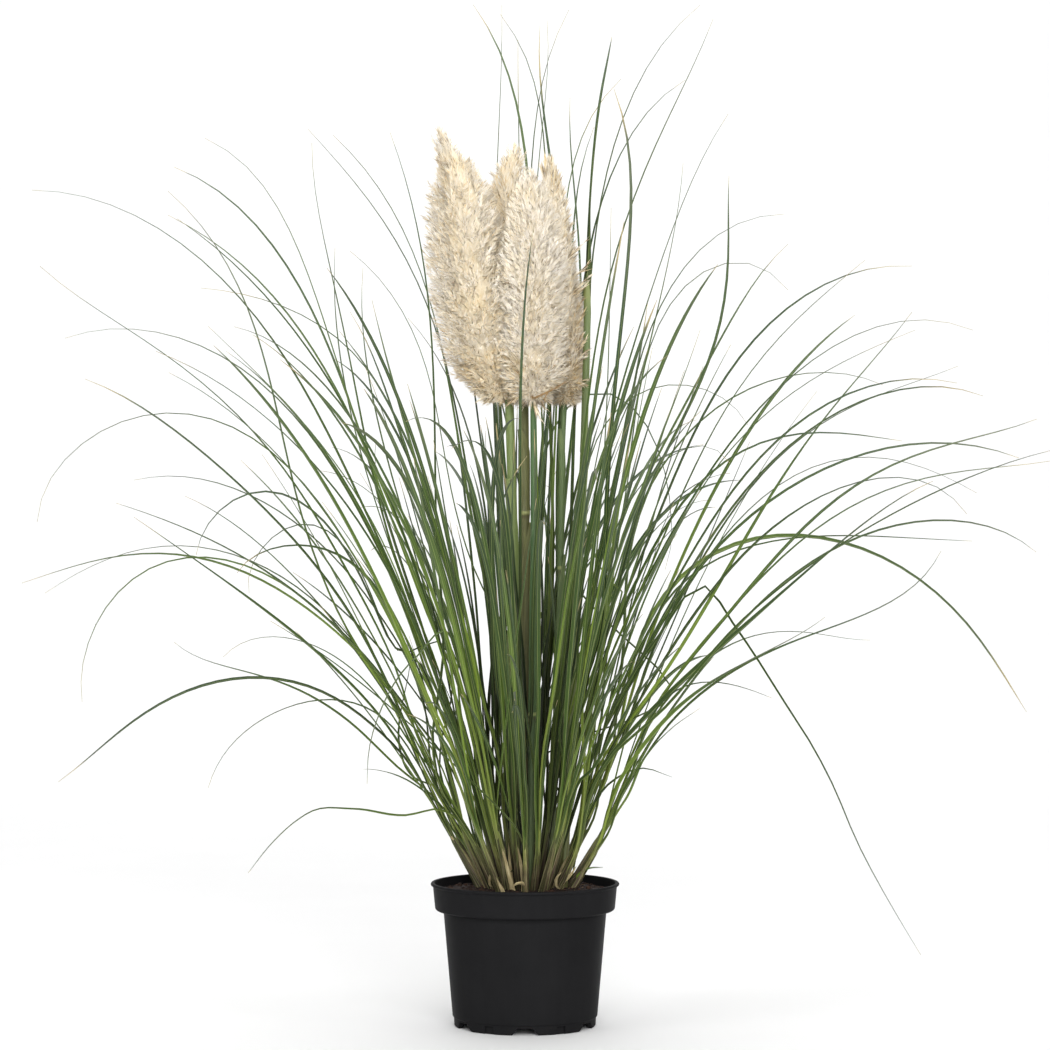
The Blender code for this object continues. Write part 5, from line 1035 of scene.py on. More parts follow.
def leaf_material():
    shade = Shade("leaf_blade", Specular_IOR_Level=0.22)
    t, q, seed = shade.split(shade.attribute("leaf", True))
    dry, under, tone = shade.split(shade.attribute("kind", True))
    at = shade.where()
    far = shade.math("ABSOLUTE", q)
    seed9 = shade.math("MULTIPLY", seed, 91.0)
    # long streaks: fast across the leaf, slow along it
    streak = shade.noise(shade.join(shade.math("MULTIPLY_ADD", q, 7.0, seed9), shade.math("MULTIPLY", t, 2.2), seed9), 1.0, 3.0, 0.6)
    fine = shade.noise(shade.join(shade.math("MULTIPLY_ADD", q, 21.0, seed9), shade.math("MULTIPLY", t, 9.0), seed9), 1.0, 2.0, 0.6)
    patch = shade.noise(shade.join(shade.math("MULTIPLY", t, 5.0), seed9, q), 1.0, 3.0, 0.6)
    # where along the plant the colours change differs from leaf to leaf
    place = shade.math("MULTIPLY_ADD", t, 0.5, 0.5)
    place = shade.math("ADD", place, shade.math("MULTIPLY_ADD", seed, 0.10, -0.05))
    place = shade.math("ADD", place, shade.math("MULTIPLY_ADD", streak, 0.12, -0.06), clamp=True)
    green = shade.ramp(place, [
        (0.00, tint("#3a2522")), (0.10, tint("#523c36")), (0.22, tint("#665a3f")), (0.36, tint("#575a2e")), (0.48, tint("#4a5b1f")),
        (0.57, tint("#3d5716")), (0.67, tint("#314d14")), (0.78, tint("#2c451c")), (0.90, tint("#374a38")), (1.00, tint("#5c6352"))])
    # some leaves are yellower and lighter, some darker and bluer
    light = shade.math("MULTIPLY", shade.spread(tone, 0.60, 0.92, 0.0, 0.90), shade.spread(t, 0.30, 0.62, 1.0, 0.30))
    dark = shade.spread(tone, 0.0, 0.55, 1.0, 0.0)
    green = shade.mix(light, green, shade.ramp(place, [(0.0, tint("#7c664a")), (0.14, tint("#8a7a5e")), (0.30, tint("#a3a060")), (0.5, tint("#99a548")), (0.62, tint("#829a36")), (0.8, tint("#667f37")), (1.0, tint("#7a8460"))]))
    green = shade.mix(dark, green, shade.ramp(place, [(0.0, tint("#281a18")), (0.16, tint("#33241f")), (0.32, tint("#3b351d")), (0.5, tint("#2c3b12")), (0.62, tint("#213811")), (0.78, tint("#22391a")), (0.9, tint("#2b3f30")), (1.0, tint("#3c493f"))]))
    # purple tint on some sheaths
    low = shade.math("MULTIPLY", shade.spread(t, -0.70, 0.05, 1.0, 0.0), shade.spread(patch, 0.38, 0.60))
    green = shade.mix(shade.math("MULTIPLY", low, 0.72), green, tint("#4a2c38"))
    green = shade.mix(shade.math("MULTIPLY", shade.spread(t, -0.5, 0.1, 1.0, 0.0), shade.spread(streak, 0.34, 0.50, 0.65, 0.0)), green, tint("#2a1c16"))
    # the two halves beside the rib differ: one is duller, as it bends away from the light
    half = shade.math("MULTIPLY", q, shade.math("MULTIPLY_ADD", shade.math("GREATER_THAN", seed, 0.5), 2.0, -1.0))
    duller = shade.math("MULTIPLY", shade.spread(half, -0.10, 0.25, 0.0, 1.0), shade.spread(t, 0.0, 0.60, 0.62, 0.22))
    green = shade.mix(duller, green, shade.mix(1.0, green, (0.28, 0.32, 0.30), "MULTIPLY"))
    # pale, shiny lines run up the sheaths: partly their own pale streaks, partly a painted highlight of their gloss
    green = shade.mix(shade.math("MULTIPLY", shade.spread(t, -0.45, 0.12, 1.0, 0.0), shade.spread(streak, 0.54, 0.68, 0.0, 0.60)), green, tint("#a8987a"))
    # pale veins and margins; the pale margins are partly the edge's own colour, partly a painted highlight where light
    # catches the edges
    green = shade.mix(shade.spread(fine, 0.56, 0.80, 0.0, 0.30), green, tint("#9aa35c"))
    green = shade.mix(shade.spread(fine, 0.22, 0.44, 0.38, 0.0), green, shade.mix(1.0, green, (0.45, 0.5, 0.45), "MULTIPLY"))
    rib = shade.math("MULTIPLY", shade.spread(far, 0.02, 0.10, 0.75, 0.0), shade.spread(t, 0.75, 1.0, 1.0, 0.25))
    green = shade.mix(rib, green, tint("#a2ad66"))
    # painted highlight along both edges, partly the margin's own paler colour
    green = shade.mix(shade.spread(far, 0.86, 0.98, 0.0, 0.40), green, tint("#a9b274"))
    # the back is duller and greyer
    green = shade.mix(shade.math("MULTIPLY", under, 0.22), green, tint("#4f6130"))
    # painted shade in the heart of the clump: low down and near the middle, where little light comes, the leaves are
    # darkened
    x, y, z = shade.split(at)
    out = shade.math("SQRT", shade.math("ADD", shade.math("MULTIPLY", x, x), shade.math("MULTIPLY", y, y)))
    out = shade.math("DIVIDE", out, shade.math("MULTIPLY_ADD", z, 0.40, -0.004))
    heart_shade = shade.math("MULTIPLY", shade.spread(out, 0.34, 0.92, 1.0, 0.0), shade.spread(z, 0.40, 0.78, 1.0, 0.0))
    green = shade.mix(heart_shade, green, shade.mix(1.0, green, (0.12, 0.12, 0.10), "MULTIPLY"))
    # straw where the leaf has dried
    straw = shade.ramp(shade.math("MULTIPLY_ADD", fine, 0.6, shade.math("MULTIPLY", patch, 0.4)), [(0.25, tint("#5b4e3c")), (0.42, tint("#8f805c")), (0.58, tint("#b9ab82")), (0.78, tint("#d6ccae"))])
    edge = shade.math("ADD", dry, shade.math("MULTIPLY_ADD", patch, 0.5, -0.25))
    colour = shade.mix(shade.spread(edge, 0.30, 0.62), green, straw)
    # rare brown flecks
    fleck = shade.noise(shade.join(shade.math("MULTIPLY_ADD", q, 2.6, seed9), shade.math("MULTIPLY", t, 70.0), seed9), 1.0, 2.0)
    colour = shade.mix(shade.spread(fleck, 0.74, 0.80, 0.0, 0.7), colour, tint("#57422c"))
    rough = shade.math("ADD", shade.spread(streak, 0.3, 0.7, 0.42, 0.56), shade.math("MULTIPLY", dry, 0.28), clamp=True)
    ribs = shade.math("SINE", shade.math("MULTIPLY", q, 34.0))
    normal = shade.bump(ribs, 0.22, 0.00012, shade.bump(fine, 0.25, 0.0002))
    return shade.done(colour, rough, normal)


def make_tussock():
    leaves, feet, forks = leaf_field()
    settle(leaves, feet, forks)
    mat = leaf_material()
    made = []
    # small odd leaves of the photograph, each with the place where it grows
    odd = {
        "curl": dict(at=(-0.012, -0.058), run=[(0.000, 0.000, 0.002), (0.000, -0.007, 0.008), (-0.005, -0.012, 0.012), (-0.011, -0.013, 0.011), (-0.016, -0.011, 0.006)], width=0.0046, dry=0.8),
        "small_left": dict(at=(-0.050, -0.020), run=[(0.0, 0.0, 0.004), (0.010, -0.008, 0.012), (0.026, -0.014, 0.022), (0.044, -0.018, 0.031)], width=0.0042, dry=0.0),
        "small_right": dict(at=(0.056, -0.012), run=[(0.0, 0.0, 0.002), (0.006, -0.004, 0.016), (0.018, -0.006, 0.024), (0.036, -0.006, 0.026)], width=0.0040, dry=0.0),
        "stub": dict(at=(0.055, 0.000), run=[(0.0, 0.0, 0.01), (0.014, -0.006, 0.075), (0.050, -0.010, 0.130), (0.085, -0.012, 0.145), (0.122, -0.012, 0.134)], width=0.0034, dry=0.0),
        "torn_right": dict(at=(0.040, -0.042), run=[(0.0, -0.002, 0.001), (0.006, -0.006, 0.010), (0.013, -0.009, 0.019), (0.020, -0.010, 0.030)], width=0.0052, dry=0.85),
        "torn_low": dict(at=(0.053, -0.026), run=[(0.0, -0.002, 0.001), (-0.005, -0.008, 0.007), (-0.004, -0.012, 0.015), (0.002, -0.014, 0.023)], width=0.0048, dry=0.95),
        "torn_left": dict(at=(-0.046, -0.036), run=[(0.0, -0.002, 0.001), (-0.005, -0.006, 0.008), (-0.004, -0.010, 0.017), (0.002, -0.013, 0.025)], width=0.0046, dry=0.80),
        "torn_back": dict(at=(0.030, 0.050), run=[(0.0, 0.002, 0.001), (0.006, 0.008, 0.009), (0.010, 0.012, 0.018), (0.012, 0.016, 0.027)], width=0.0050, dry=0.90),
        "short_back": dict(at=(0.010, 0.055), run=[(0.0, 0.0, 0.004), (0.004, 0.014, 0.030), (0.010, 0.034, 0.052), (0.014, 0.058, 0.058)], width=0.0050, dry=0.0),
        "curl_back": dict(at=(-0.030, 0.045), run=[(0.0, 0.0, 0.003), (-0.004, 0.010, 0.016), (-0.001, 0.022, 0.022), (0.008, 0.029, 0.014)], width=0.0048, dry=1.0),
    }
    near = {name: int(np.argmin(((feet - item["at"]) ** 2).sum(axis=1))) for name, item in odd.items()}
    for s in range(N_SHOOTS):
        rng = np.random.default_rng(1000 + s)
        own = [leaf for leaf in leaves if leaf["shoot"] == s]
        axis, e1, e2 = fan_axes([leaf["nodes"][1] for leaf in own], forks[s])
        slots, angles = fan_slots([leaf["nodes"][1] for leaf in own], forks[s], axis, e1, e2)
        order = rng.permutation(len(own))
        extras = 2 if rng.random() < 0.5 else 1
        if abs(forks[s][0]) > 0.045:
            extras -= 1
        sheaths = int(rng.random() < 0.60)
        loose = [name for name in odd if near[name] == s]
        count = len(own) + 1 + extras + sheaths + len(loose)
        parts = Parts()
        for k, (which, angle) in enumerate(zip(slots, angles)):
            petal = math.cos(angle) * e1 + math.sin(angle) * e2
            grow_leaf(parts, rng, own[which], feet[s], forks[s], petal, int(order[k]), (k, count), 0.86)
        k = len(own)
        out = math.atan2(forks[s][1] - feet[s][1], forks[s][0] - feet[s][0])
        tilt = math.acos(min(1.0, axis[2]))
        phi = math.atan2(axis[1], axis[0])
        grow_extra(parts, rng, forks[s], feet[s], axis, rng.uniform(0.0034, 0.0050), rng.uniform(0.26, 0.62), tilt * rng.uniform(0.6, 1.0), rng.uniform(0.05, 0.45), phi, (k, count))
        for _ in range(extras):
            k += 1
            wide = phi + rng.normal(0, 0.55)
            grow_extra(parts, rng, forks[s], feet[s], axis, rng.uniform(0.0030, 0.0046), rng.uniform(0.20, 0.58), tilt + rng.uniform(-0.08, 0.16), rng.uniform(0.10, 0.62), wide, (k, count))
        for _ in range(sheaths):
            k += 1
            dry_sheath(parts, rng, forks[s], feet[s], (k, count))
        for name in loose:
            k += 1
            item = odd[name]
            points = np.array(item["run"]) + [*feet[s], CROWN_Z - 0.002]
            strip_leaf(parts, rng, points, item["width"], (0.0, -0.4, 1.0), (k, count), item["dry"], rng.random(), curl=1.4 if item["dry"] else 0.3)
        # the pith of the stalk, that the sheaths lie round
        low = np.array([*feet[s], CROWN_Z])
        run = low + (forks[s] - low) * np.array([-0.085, 0.3, 0.65, 1.0])[:, None]
        round_tube(parts, run, [0.0022, 0.0021, 0.0020, 0.0015], 8, leaf=np.array([[-1.0, 0.4, 0.3], [-0.7, 0.4, 0.3], [-0.3, 0.4, 0.3], [0.0, 0.4, 0.3]]), kind=np.array([[0.0, 0.0, 0.5]] * 4))
        mesh = parts.mesh(f"tussock_{s + 1:02d}", "OFBake")
        made.append(piece(f"tussock_{s + 1:02d}", mesh, mat, [f"shoot_{s + 1:02d}"], sharp=28))
    return made

# ------------------------------------------------------------------ pot
def rounded(profile, radii, steps=4):
    """The profile with its corners rounded."""
    p = np.asarray(profile, float)
    out = [p[0]]
    for k in range(1, len(p) - 1):
        a, b, c = p[k - 1], p[k], p[k + 1]
        r = min(radii[k], 0.45 * np.linalg.norm(a - b), 0.45 * np.linalg.norm(c - b))
        if r < 5e-5:
            out.append(b)
            continue
        p0, p1 = b + unit(a - b) * r, b + unit(c - b) * r
        for u in np.linspace(0, 1, steps + 1):
            out.append((1 - u) ** 2 * p0 + 2 * u * (1 - u) * b + u * u * p1)
    out.append(p[-1])
    return np.array(out)


def lathe(parts, profile, sides, **values):
    """A solid of revolution whose profile runs from the axis round the outside and back to the axis."""
    ang = np.arange(sides) * 2 * math.pi / sides
    inner = profile[1:-1]
    n = len(inner)
    verts = np.stack([inner[:, 0, None] * np.cos(ang), inner[:, 0, None] * np.sin(ang), np.broadcast_to(inner[:, 1, None], (n, sides))], axis=-1).reshape(-1, 3)
    k, j = np.meshgrid(np.arange(n - 1), np.arange(sides), indexing="ij")
    m = (j + 1) % sides
    quads = np.stack([k * sides + j, k * sides + m, (k + 1) * sides + m, (k + 1) * sides + j], axis=-1).reshape(-1, 4)
    low, high = n * sides, n * sides + 1
    verts = np.concatenate([verts, [[0, 0, profile[0, 1]], [0, 0, profile[-1, 1]]]])
    tris = [(low, (q + 1) % sides, q) for q in range(sides)] + [(high, (n - 1) * sides + q, (n - 1) * sides + (q + 1) % sides) for q in range(sides)]
    return parts.add(verts, quads=quads, tris=tris, **values)


def pot_mesh():
    inner = BODY_TOP_R - WALL
    corners = [
        (0.0, FLOOR_UNDER_Z, 0), (FOOT_INNER_R, FLOOR_UNDER_Z, 0.0008), (FOOT_INNER_R + 0.0006, 0.0, 0.0003), (FOOT_R, 0.0, 0.0005), (FOOT_R + 0.0013, 0.0016, 0.0006),
        (FOOT_TOP_R, FOOT_TOP_Z, 0.0005), (BODY_LOW_R, BODY_LOW_Z, 0.0006), (BODY_TOP_R, BAND_LOW_Z - 0.0006, 0.0010), (BAND_LOW_R - 0.0024, BAND_LOW_Z, 0.0007),
        (BAND_LOW_R - 0.0004, BAND_LOW_Z + 0.0016, 0.0010), (BAND_LOW_R, BAND_LOW_Z + 0.0040, 0.0010), (BAND_TOP_R, LIP_Z, 0.0009), (LIP_R - 0.0007, LIP_Z + 0.0004, 0.0004),
        (LIP_R, LIP_Z + 0.0016, 0.0006), (LIP_R - 0.0007, POT_HEIGHT - 0.0006, 0.0005), (LIP_R - 0.0022, POT_HEIGHT, 0.0006), (BAND_TOP_R - WALL, POT_HEIGHT - 0.0004, 0.0007),
        (BAND_LOW_R - WALL, BAND_LOW_Z + 0.0030, 0.0010), (inner, BAND_LOW_Z + 0.0008, 0.0010), (BODY_LOW_R - WALL, FLOOR_Z + 0.0022, 0.0010), (BODY_LOW_R - WALL - 0.0020, FLOOR_Z, 0.0008), (0.0, FLOOR_Z, 0),
    ]
    profile = rounded([c[:2] for c in corners], [c[2] for c in corners])
    # long straight walls get rings of their own
    fine = [profile[0]]
    for a, b in zip(profile[:-1], profile[1:]):
        steps = max(1, int(np.linalg.norm(b - a) / 0.007))
        if min(a[0], b[0]) < 0.05:
            steps = 1
        fine += [a + (b - a) * k / steps for k in range(1, steps + 1)]
    fine = np.array(fine)
    parts = Parts()
    lathe(parts, fine, 144)
    return parts.mesh("pot_shell")


def sector_block(r0, r1, angle, low_half, high_half, z0, z1):
    def ring_point(r, a, z):
        return (r * math.sin(a), -r * math.cos(a), z)
    verts = []
    for half, z in ((low_half, z0), (high_half, z1)):
        verts += [ring_point(r0, angle - half, z), ring_point(r1, angle - half, z), ring_point(r1, angle + half, z), ring_point(r0, angle + half, z)]
    return verts, [(3, 2, 1, 0), (4, 5, 6, 7)] + [(k, (k + 1) % 4, 4 + (k + 1) % 4, 4 + k) for k in range(4)]


def plain_mesh(name, blocks):
    verts, faces = [], []
    for v, f in blocks:
        faces += [tuple(i + len(verts) for i in face) for face in f]
        verts += v
    mesh = bpy.data.meshes.new(name)
    mesh.from_pydata([tuple(v) for v in verts], [], faces)
    mesh.update()
    return mesh


def carve(obj, mesh):
    """Takes the blocks out of the object, and leaves no helper behind."""
    tool = bpy.data.objects.new("tool", mesh)
    bpy.context.scene.collection.objects.link(tool)
    mod = obj.modifiers.new("cut", "BOOLEAN")
    mod.operation, mod.solver, mod.object = "DIFFERENCE", "EXACT", tool
    bpy.context.view_layer.update()
    cut = bpy.data.meshes.new_from_object(obj.evaluated_get(bpy.context.evaluated_depsgraph_get()))
    obj.modifiers.clear()
    obj.data = cut
    bpy.data.objects.remove(tool)


def make_pot():
    shade = Shade("pot_plastic", Specular_IOR_Level=0.015)
    at = shade.where()
    fine, wide = shade.noise(at, 900.0, 2.0), shade.noise(at, 14.0, 4.0)
    x, y, z = shade.split(at)
    # faint upright flow marks of the moulding, and a little dust low down
    streak = shade.noise(shade.join(shade.math("MULTIPLY", x, 120.0), shade.math("MULTIPLY", y, 120.0), shade.math("MULTIPLY", z, 5.0)), 1.0, 2.0)
    colour = shade.ramp(shade.math("MULTIPLY_ADD", wide, 0.7, shade.math("MULTIPLY", streak, 0.3)), [(0.30, (0.0112, 0.0112, 0.0119)), (0.70, (0.0145, 0.0145, 0.0153))])
    low = shade.spread(z, 0.0, 0.016, 1.0, 0.0)
    dust = shade.math("MULTIPLY", low, shade.spread(shade.noise(at, 60.0, 5.0), 0.50, 0.75, 0.0, 0.5))
    colour = shade.mix(dust, colour, (0.024, 0.0215, 0.019))
    rough = shade.math("ADD", shade.spread(wide, 0.3, 0.7, 0.40, 0.50), shade.math("MULTIPLY", dust, 0.3))
    normal = shade.bump(streak, 0.10, 0.0006, shade.bump(fine, 0.12, 0.0003))
    mat = shade.done(colour, rough, normal)

    obj = bpy.data.objects.new("pot_body", pot_mesh())
    bpy.context.scene.collection.objects.link(obj)
    slots, drains = [], []
    below = 0.004
    slope = (NOTCH_FLOOR_HALF - NOTCH_TOP_HALF) / NOTCH_TOP_Z
    for k in range(NOTCHES):
        angle = 2 * math.pi * k / NOTCHES
        middle = angle + math.pi / NOTCHES
        slots.append(sector_block(FOOT_INNER_R - 0.0035, FOOT_TOP_R + 0.010, angle, NOTCH_FLOOR_HALF + slope * below, NOTCH_TOP_HALF, -below, NOTCH_TOP_Z))
        slots.append(sector_block(FOOT_R - RECESS_DEEP, FOOT_TOP_R + 0.010, middle, RECESS_HALF, RECESS_HALF, -below, FOOT_TOP_Z - 0.0014))
        x, y, n = DRAIN_AT * math.sin(middle), -DRAIN_AT * math.cos(middle), 24
        ring = [(x + DRAIN_R * math.cos(2 * math.pi * j / n), y + DRAIN_R * math.sin(2 * math.pi * j / n)) for j in range(n)]
        verts = [(*p, FLOOR_UNDER_Z - 0.004) for p in ring] + [(*p, FLOOR_Z + 0.004) for p in ring]
        faces = [tuple(reversed(range(n))), tuple(n + j for j in range(n))] + [(j, (j + 1) % n, n + (j + 1) % n, n + j) for j in range(n)]
        drains.append((verts, faces))
    carve(obj, plain_mesh("slots", slots))
    carve(obj, plain_mesh("drains", drains))
    mesh = obj.data
    bpy.data.objects.remove(obj)
    mesh.name = "pot_body"
    return piece("pot_body", mesh, mat, ["pot"], sharp=38)


# ------------------------------------------------------------------ soil
def lump(rng, size, squash):
    """One rough crumb as a small closed ball of triangles."""
    g = (1 + 5**0.5) / 2
    v = unit(np.array([(-1, g, 0), (1, g, 0), (-1, -g, 0), (1, -g, 0), (0, -1, g), (0, 1, g), (0, -1, -g), (0, 1, -g), (g, 0, -1), (g, 0, 1), (-g, 0, -1), (-g, 0, 1)], float))
    f = [(0, 11, 5), (0, 5, 1), (0, 1, 7), (0, 7, 10), (0, 10, 11), (1, 5, 9), (5, 11, 4), (11, 10, 2), (10, 7, 6), (7, 1, 8), (3, 9, 4), (3, 4, 2), (3, 2, 6), (3, 6, 8), (3, 8, 9), (4, 9, 5), (2, 4, 11), (6, 2, 10), (8, 6, 7), (9, 8, 1)]
    verts, faces, made = [tuple(p) for p in v], [], {}
    def middle(a, b):
        key = (min(a, b), max(a, b))
        if key not in made:
            made[key] = len(verts)
            verts.append(tuple(unit((np.array(verts[a]) + np.array(verts[b])) / 2)))
        return made[key]
    if size > 0.0017:
        for a, b, c in f:
            x, y, z = middle(a, b), middle(b, c), middle(c, a)
            faces += [(a, x, z), (x, b, y), (z, y, c), (x, y, z)]
    else:
        faces = f
    p = np.array(verts)
    shift = rng.uniform(-5, 5, 3)
    rough = np.array([1 + 0.55 * noise.noise(Vector(q * 1.7 + shift)) for q in p])
    p = p * rough[:, None] * size * squash
    a, b = rng.uniform(0, 2 * math.pi), rng.normal(0, 0.5)
    c, s = math.cos(a), math.sin(a)
    spin = np.array([[c, -s, 0], [s, c, 0], [0, 0, 1]]) @ np.array([[1, 0, 0], [0, math.cos(b), -math.sin(b)], [0, math.sin(b), math.cos(b)]])
    return p @ spin.T, np.array(faces)


def soil_height(x, y):
    """The level of the soil at a place: its crown, its dip at the wall and its grain."""
    r = math.hypot(x, y)
    base = np.interp(r, [0.0, 0.072, 0.090, 0.108, 0.112], [SOIL_CROWN_Z - 0.0012, SOIL_CROWN_Z - 0.0014, SOIL_EDGE_Z + 0.0018, SOIL_EDGE_Z - 0.0006, SOIL_EDGE_Z - 0.0010])
    grain = noise.fractal(Vector((x * 160, y * 160, 1.3)), 0.9, 2.1, 4) * 0.0011 + noise.noise(Vector((x * 34, y * 34, 7.7))) * 0.0014
    return base + grain


def make_soil():
    rng = np.random.default_rng(7)
    shade = Shade("soil", Specular_IOR_Level=0.25)
    at = shade.where()
    tone = shade.attribute("tone")
    fine, wide = shade.noise(at, 420.0, 4.0, 0.7), shade.noise(at, 60.0, 3.0)
    base = shade.ramp(fine, [(0.25, (0.0040, 0.0022, 0.0017)), (0.50, (0.0120, 0.0058, 0.0040)), (0.78, (0.0300, 0.0135, 0.0085))])
    base = shade.mix(shade.spread(wide, 0.42, 0.66, 0.0, 0.55), base, (0.0210, 0.0080, 0.0048))
    crumbs = shade.ramp(tone, [(0.0, (0.005, 0.0028, 0.0022)), (0.35, (0.015, 0.0070, 0.0046)), (0.70, (0.036, 0.0165, 0.0098)), (0.93, (0.075, 0.0400, 0.0230)), (1.0, (0.150, 0.105, 0.065))])
    colour = shade.mix(shade.spread(tone, 0.005, 0.02, 0.0, 0.75), base, crumbs)
    mat = shade.done(colour, shade.spread(fine, 0.3, 0.7, 0.82, 0.98), shade.bump(fine, 0.6, 0.0008))

    sides, rings = 128, 50
    edge = BAND_LOW_R - WALL + 0.0002
    ang = np.arange(sides) * 2 * math.pi / sides
    radii = np.linspace(0, 1, rings + 1)[1:] ** 0.85 * (edge + 0.0004)
    top = [[0.0, 0.0, soil_height(0, 0)]]
    for r in radii:
        for a in ang:
            x, y = r * math.cos(a), r * math.sin(a)
            top.append([x, y, soil_height(x, y)])
    side = []
    for r, z in ((edge - 0.0002, SOIL_EDGE_Z - 0.006), (edge - 0.0014, BAND_LOW_Z + 0.0036), (BODY_TOP_R - WALL - 0.0008, BAND_LOW_Z + 0.0010), (BODY_LOW_R - WALL - 0.0008, FLOOR_Z + 0.0030), (BODY_LOW_R - WALL - 0.0024, FLOOR_Z + 0.0004)):
        side += [[r * math.cos(a), r * math.sin(a), z] for a in ang]
    verts = np.array(top + side + [[0.0, 0.0, FLOOR_Z + 0.0004]])
    j = np.arange(sides)
    m = (j + 1) % sides
    tris = [(0, 1 + q, 1 + (q + 1) % sides) for q in range(sides)]
    quads = []
    for k in range(rings + 4):
        a, b = 1 + k * sides, 1 + (k + 1) * sides
        quads.append(np.stack([a + j, b + j, b + m, a + m], axis=-1))
    last = 1 + (rings + 4) * sides
    tris += [(len(verts) - 1, last + (q + 1) % sides, last + q) for q in range(sides)]
    parts = Parts()
    parts.add(verts, quads=np.concatenate(quads), tris=tris, tone=0.0)
    for k in range(820):
        r = edge * math.sqrt(rng.uniform(0, 1)) * 0.985
        a = rng.uniform(0, 2 * math.pi)
        x, y = r * math.cos(a), r * math.sin(a)
        size = min(0.0008 + rng.exponential(0.0007), 0.0034)
        if r + size > edge - 0.0006:
            continue
        squash = np.array([1.0, rng.uniform(0.55, 1.0), rng.uniform(0.4, 0.85)])
        p, f = lump(rng, size, squash)
        p = p + [x, y, soil_height(x, y) + size * 0.18]
        parts.add(p, tris=f, tone=float(rng.uniform(0.03, 0.86) if rng.random() < 0.93 else rng.uniform(0.9, 1.0)))
    # slivers of bark and root
    for k in range(120):
        r = (edge - 0.006) * math.sqrt(rng.uniform(0, 1))
        a, b = rng.uniform(0, 2 * math.pi), rng.uniform(0, math.pi)
        x, y = r * math.cos(a), r * math.sin(a)
        half = rng.uniform(0.0018, 0.0052)
        d = np.array([math.cos(b), math.sin(b), 0.0])
        if np.linalg.norm(np.array([x, y]) + d[:2] * half) > edge - 0.001 or np.linalg.norm(np.array([x, y]) - d[:2] * half) > edge - 0.001:
            continue
        u = np.linspace(-1, 1, 5)
        line = np.array([x, y, soil_height(x, y) + 0.0007]) + u[:, None] * d * half + np.outer(1 - u**2, [0, 0, rng.uniform(0, 0.0012)])
        round_tube(parts, line, np.array([0.4, 0.9, 1.0, 0.8, 0.3]) * rng.uniform(0.00025, 0.0006), 5, first=(-d[1], d[0], 0.0), tone=float(rng.uniform(0.55, 1.0)))
    return piece("soil_fill", parts.mesh("soil_fill"), mat, ["soil"])

# ------------------------------------------------------------------ flower stems and culm
def stem_material(name, low, mid, high, fleck, rough=0.45):
    """A smooth cane: its colour along it, fine lengthwise streaks and pale or dark joints."""
    shade = Shade(name, Specular_IOR_Level=0.40)
    t, round_at, joint = shade.split(shade.attribute("cane", True))
    streak = shade.noise(shade.join(shade.math("MULTIPLY", round_at, 9.0), shade.math("MULTIPLY", t, 6.0), 0.0), 1.0, 4.0, 0.6)
    fine = shade.noise(shade.join(shade.math("MULTIPLY", round_at, 30.0), shade.math("MULTIPLY", t, 18.0), 2.0), 1.0, 3.0, 0.6)
    colour = shade.ramp(shade.math("ADD", t, shade.math("MULTIPLY_ADD", streak, 0.16, -0.08), clamp=True), [(0.0, tint(low)), (0.5, tint(mid)), (1.0, tint(high))])
    colour = shade.mix(shade.spread(streak, 0.50, 0.72, 0.0, 0.45), colour, tint(fleck))
    colour = shade.mix(shade.spread(fine, 0.24, 0.42, 0.35, 0.0), colour, shade.mix(1.0, colour, (0.4, 0.42, 0.36), "MULTIPLY"))
    colour = shade.mix(shade.spread(joint, 0.0, 1.0, 0.0, 0.60), colour, tint("#a9ad6c"))
    colour = shade.mix(shade.spread(joint, 0.0, -1.0, 0.0, 0.75), colour, tint("#4a3a28"))
    ribs = shade.math("SINE", shade.math("MULTIPLY", round_at, 2 * math.pi * 16))
    normal = shade.bump(ribs, 0.30, 0.00015, shade.bump(fine, 0.2, 0.0002))
    return shade.done(colour, shade.spread(streak, 0.3, 0.7, rough - 0.06, rough + 0.08), normal)


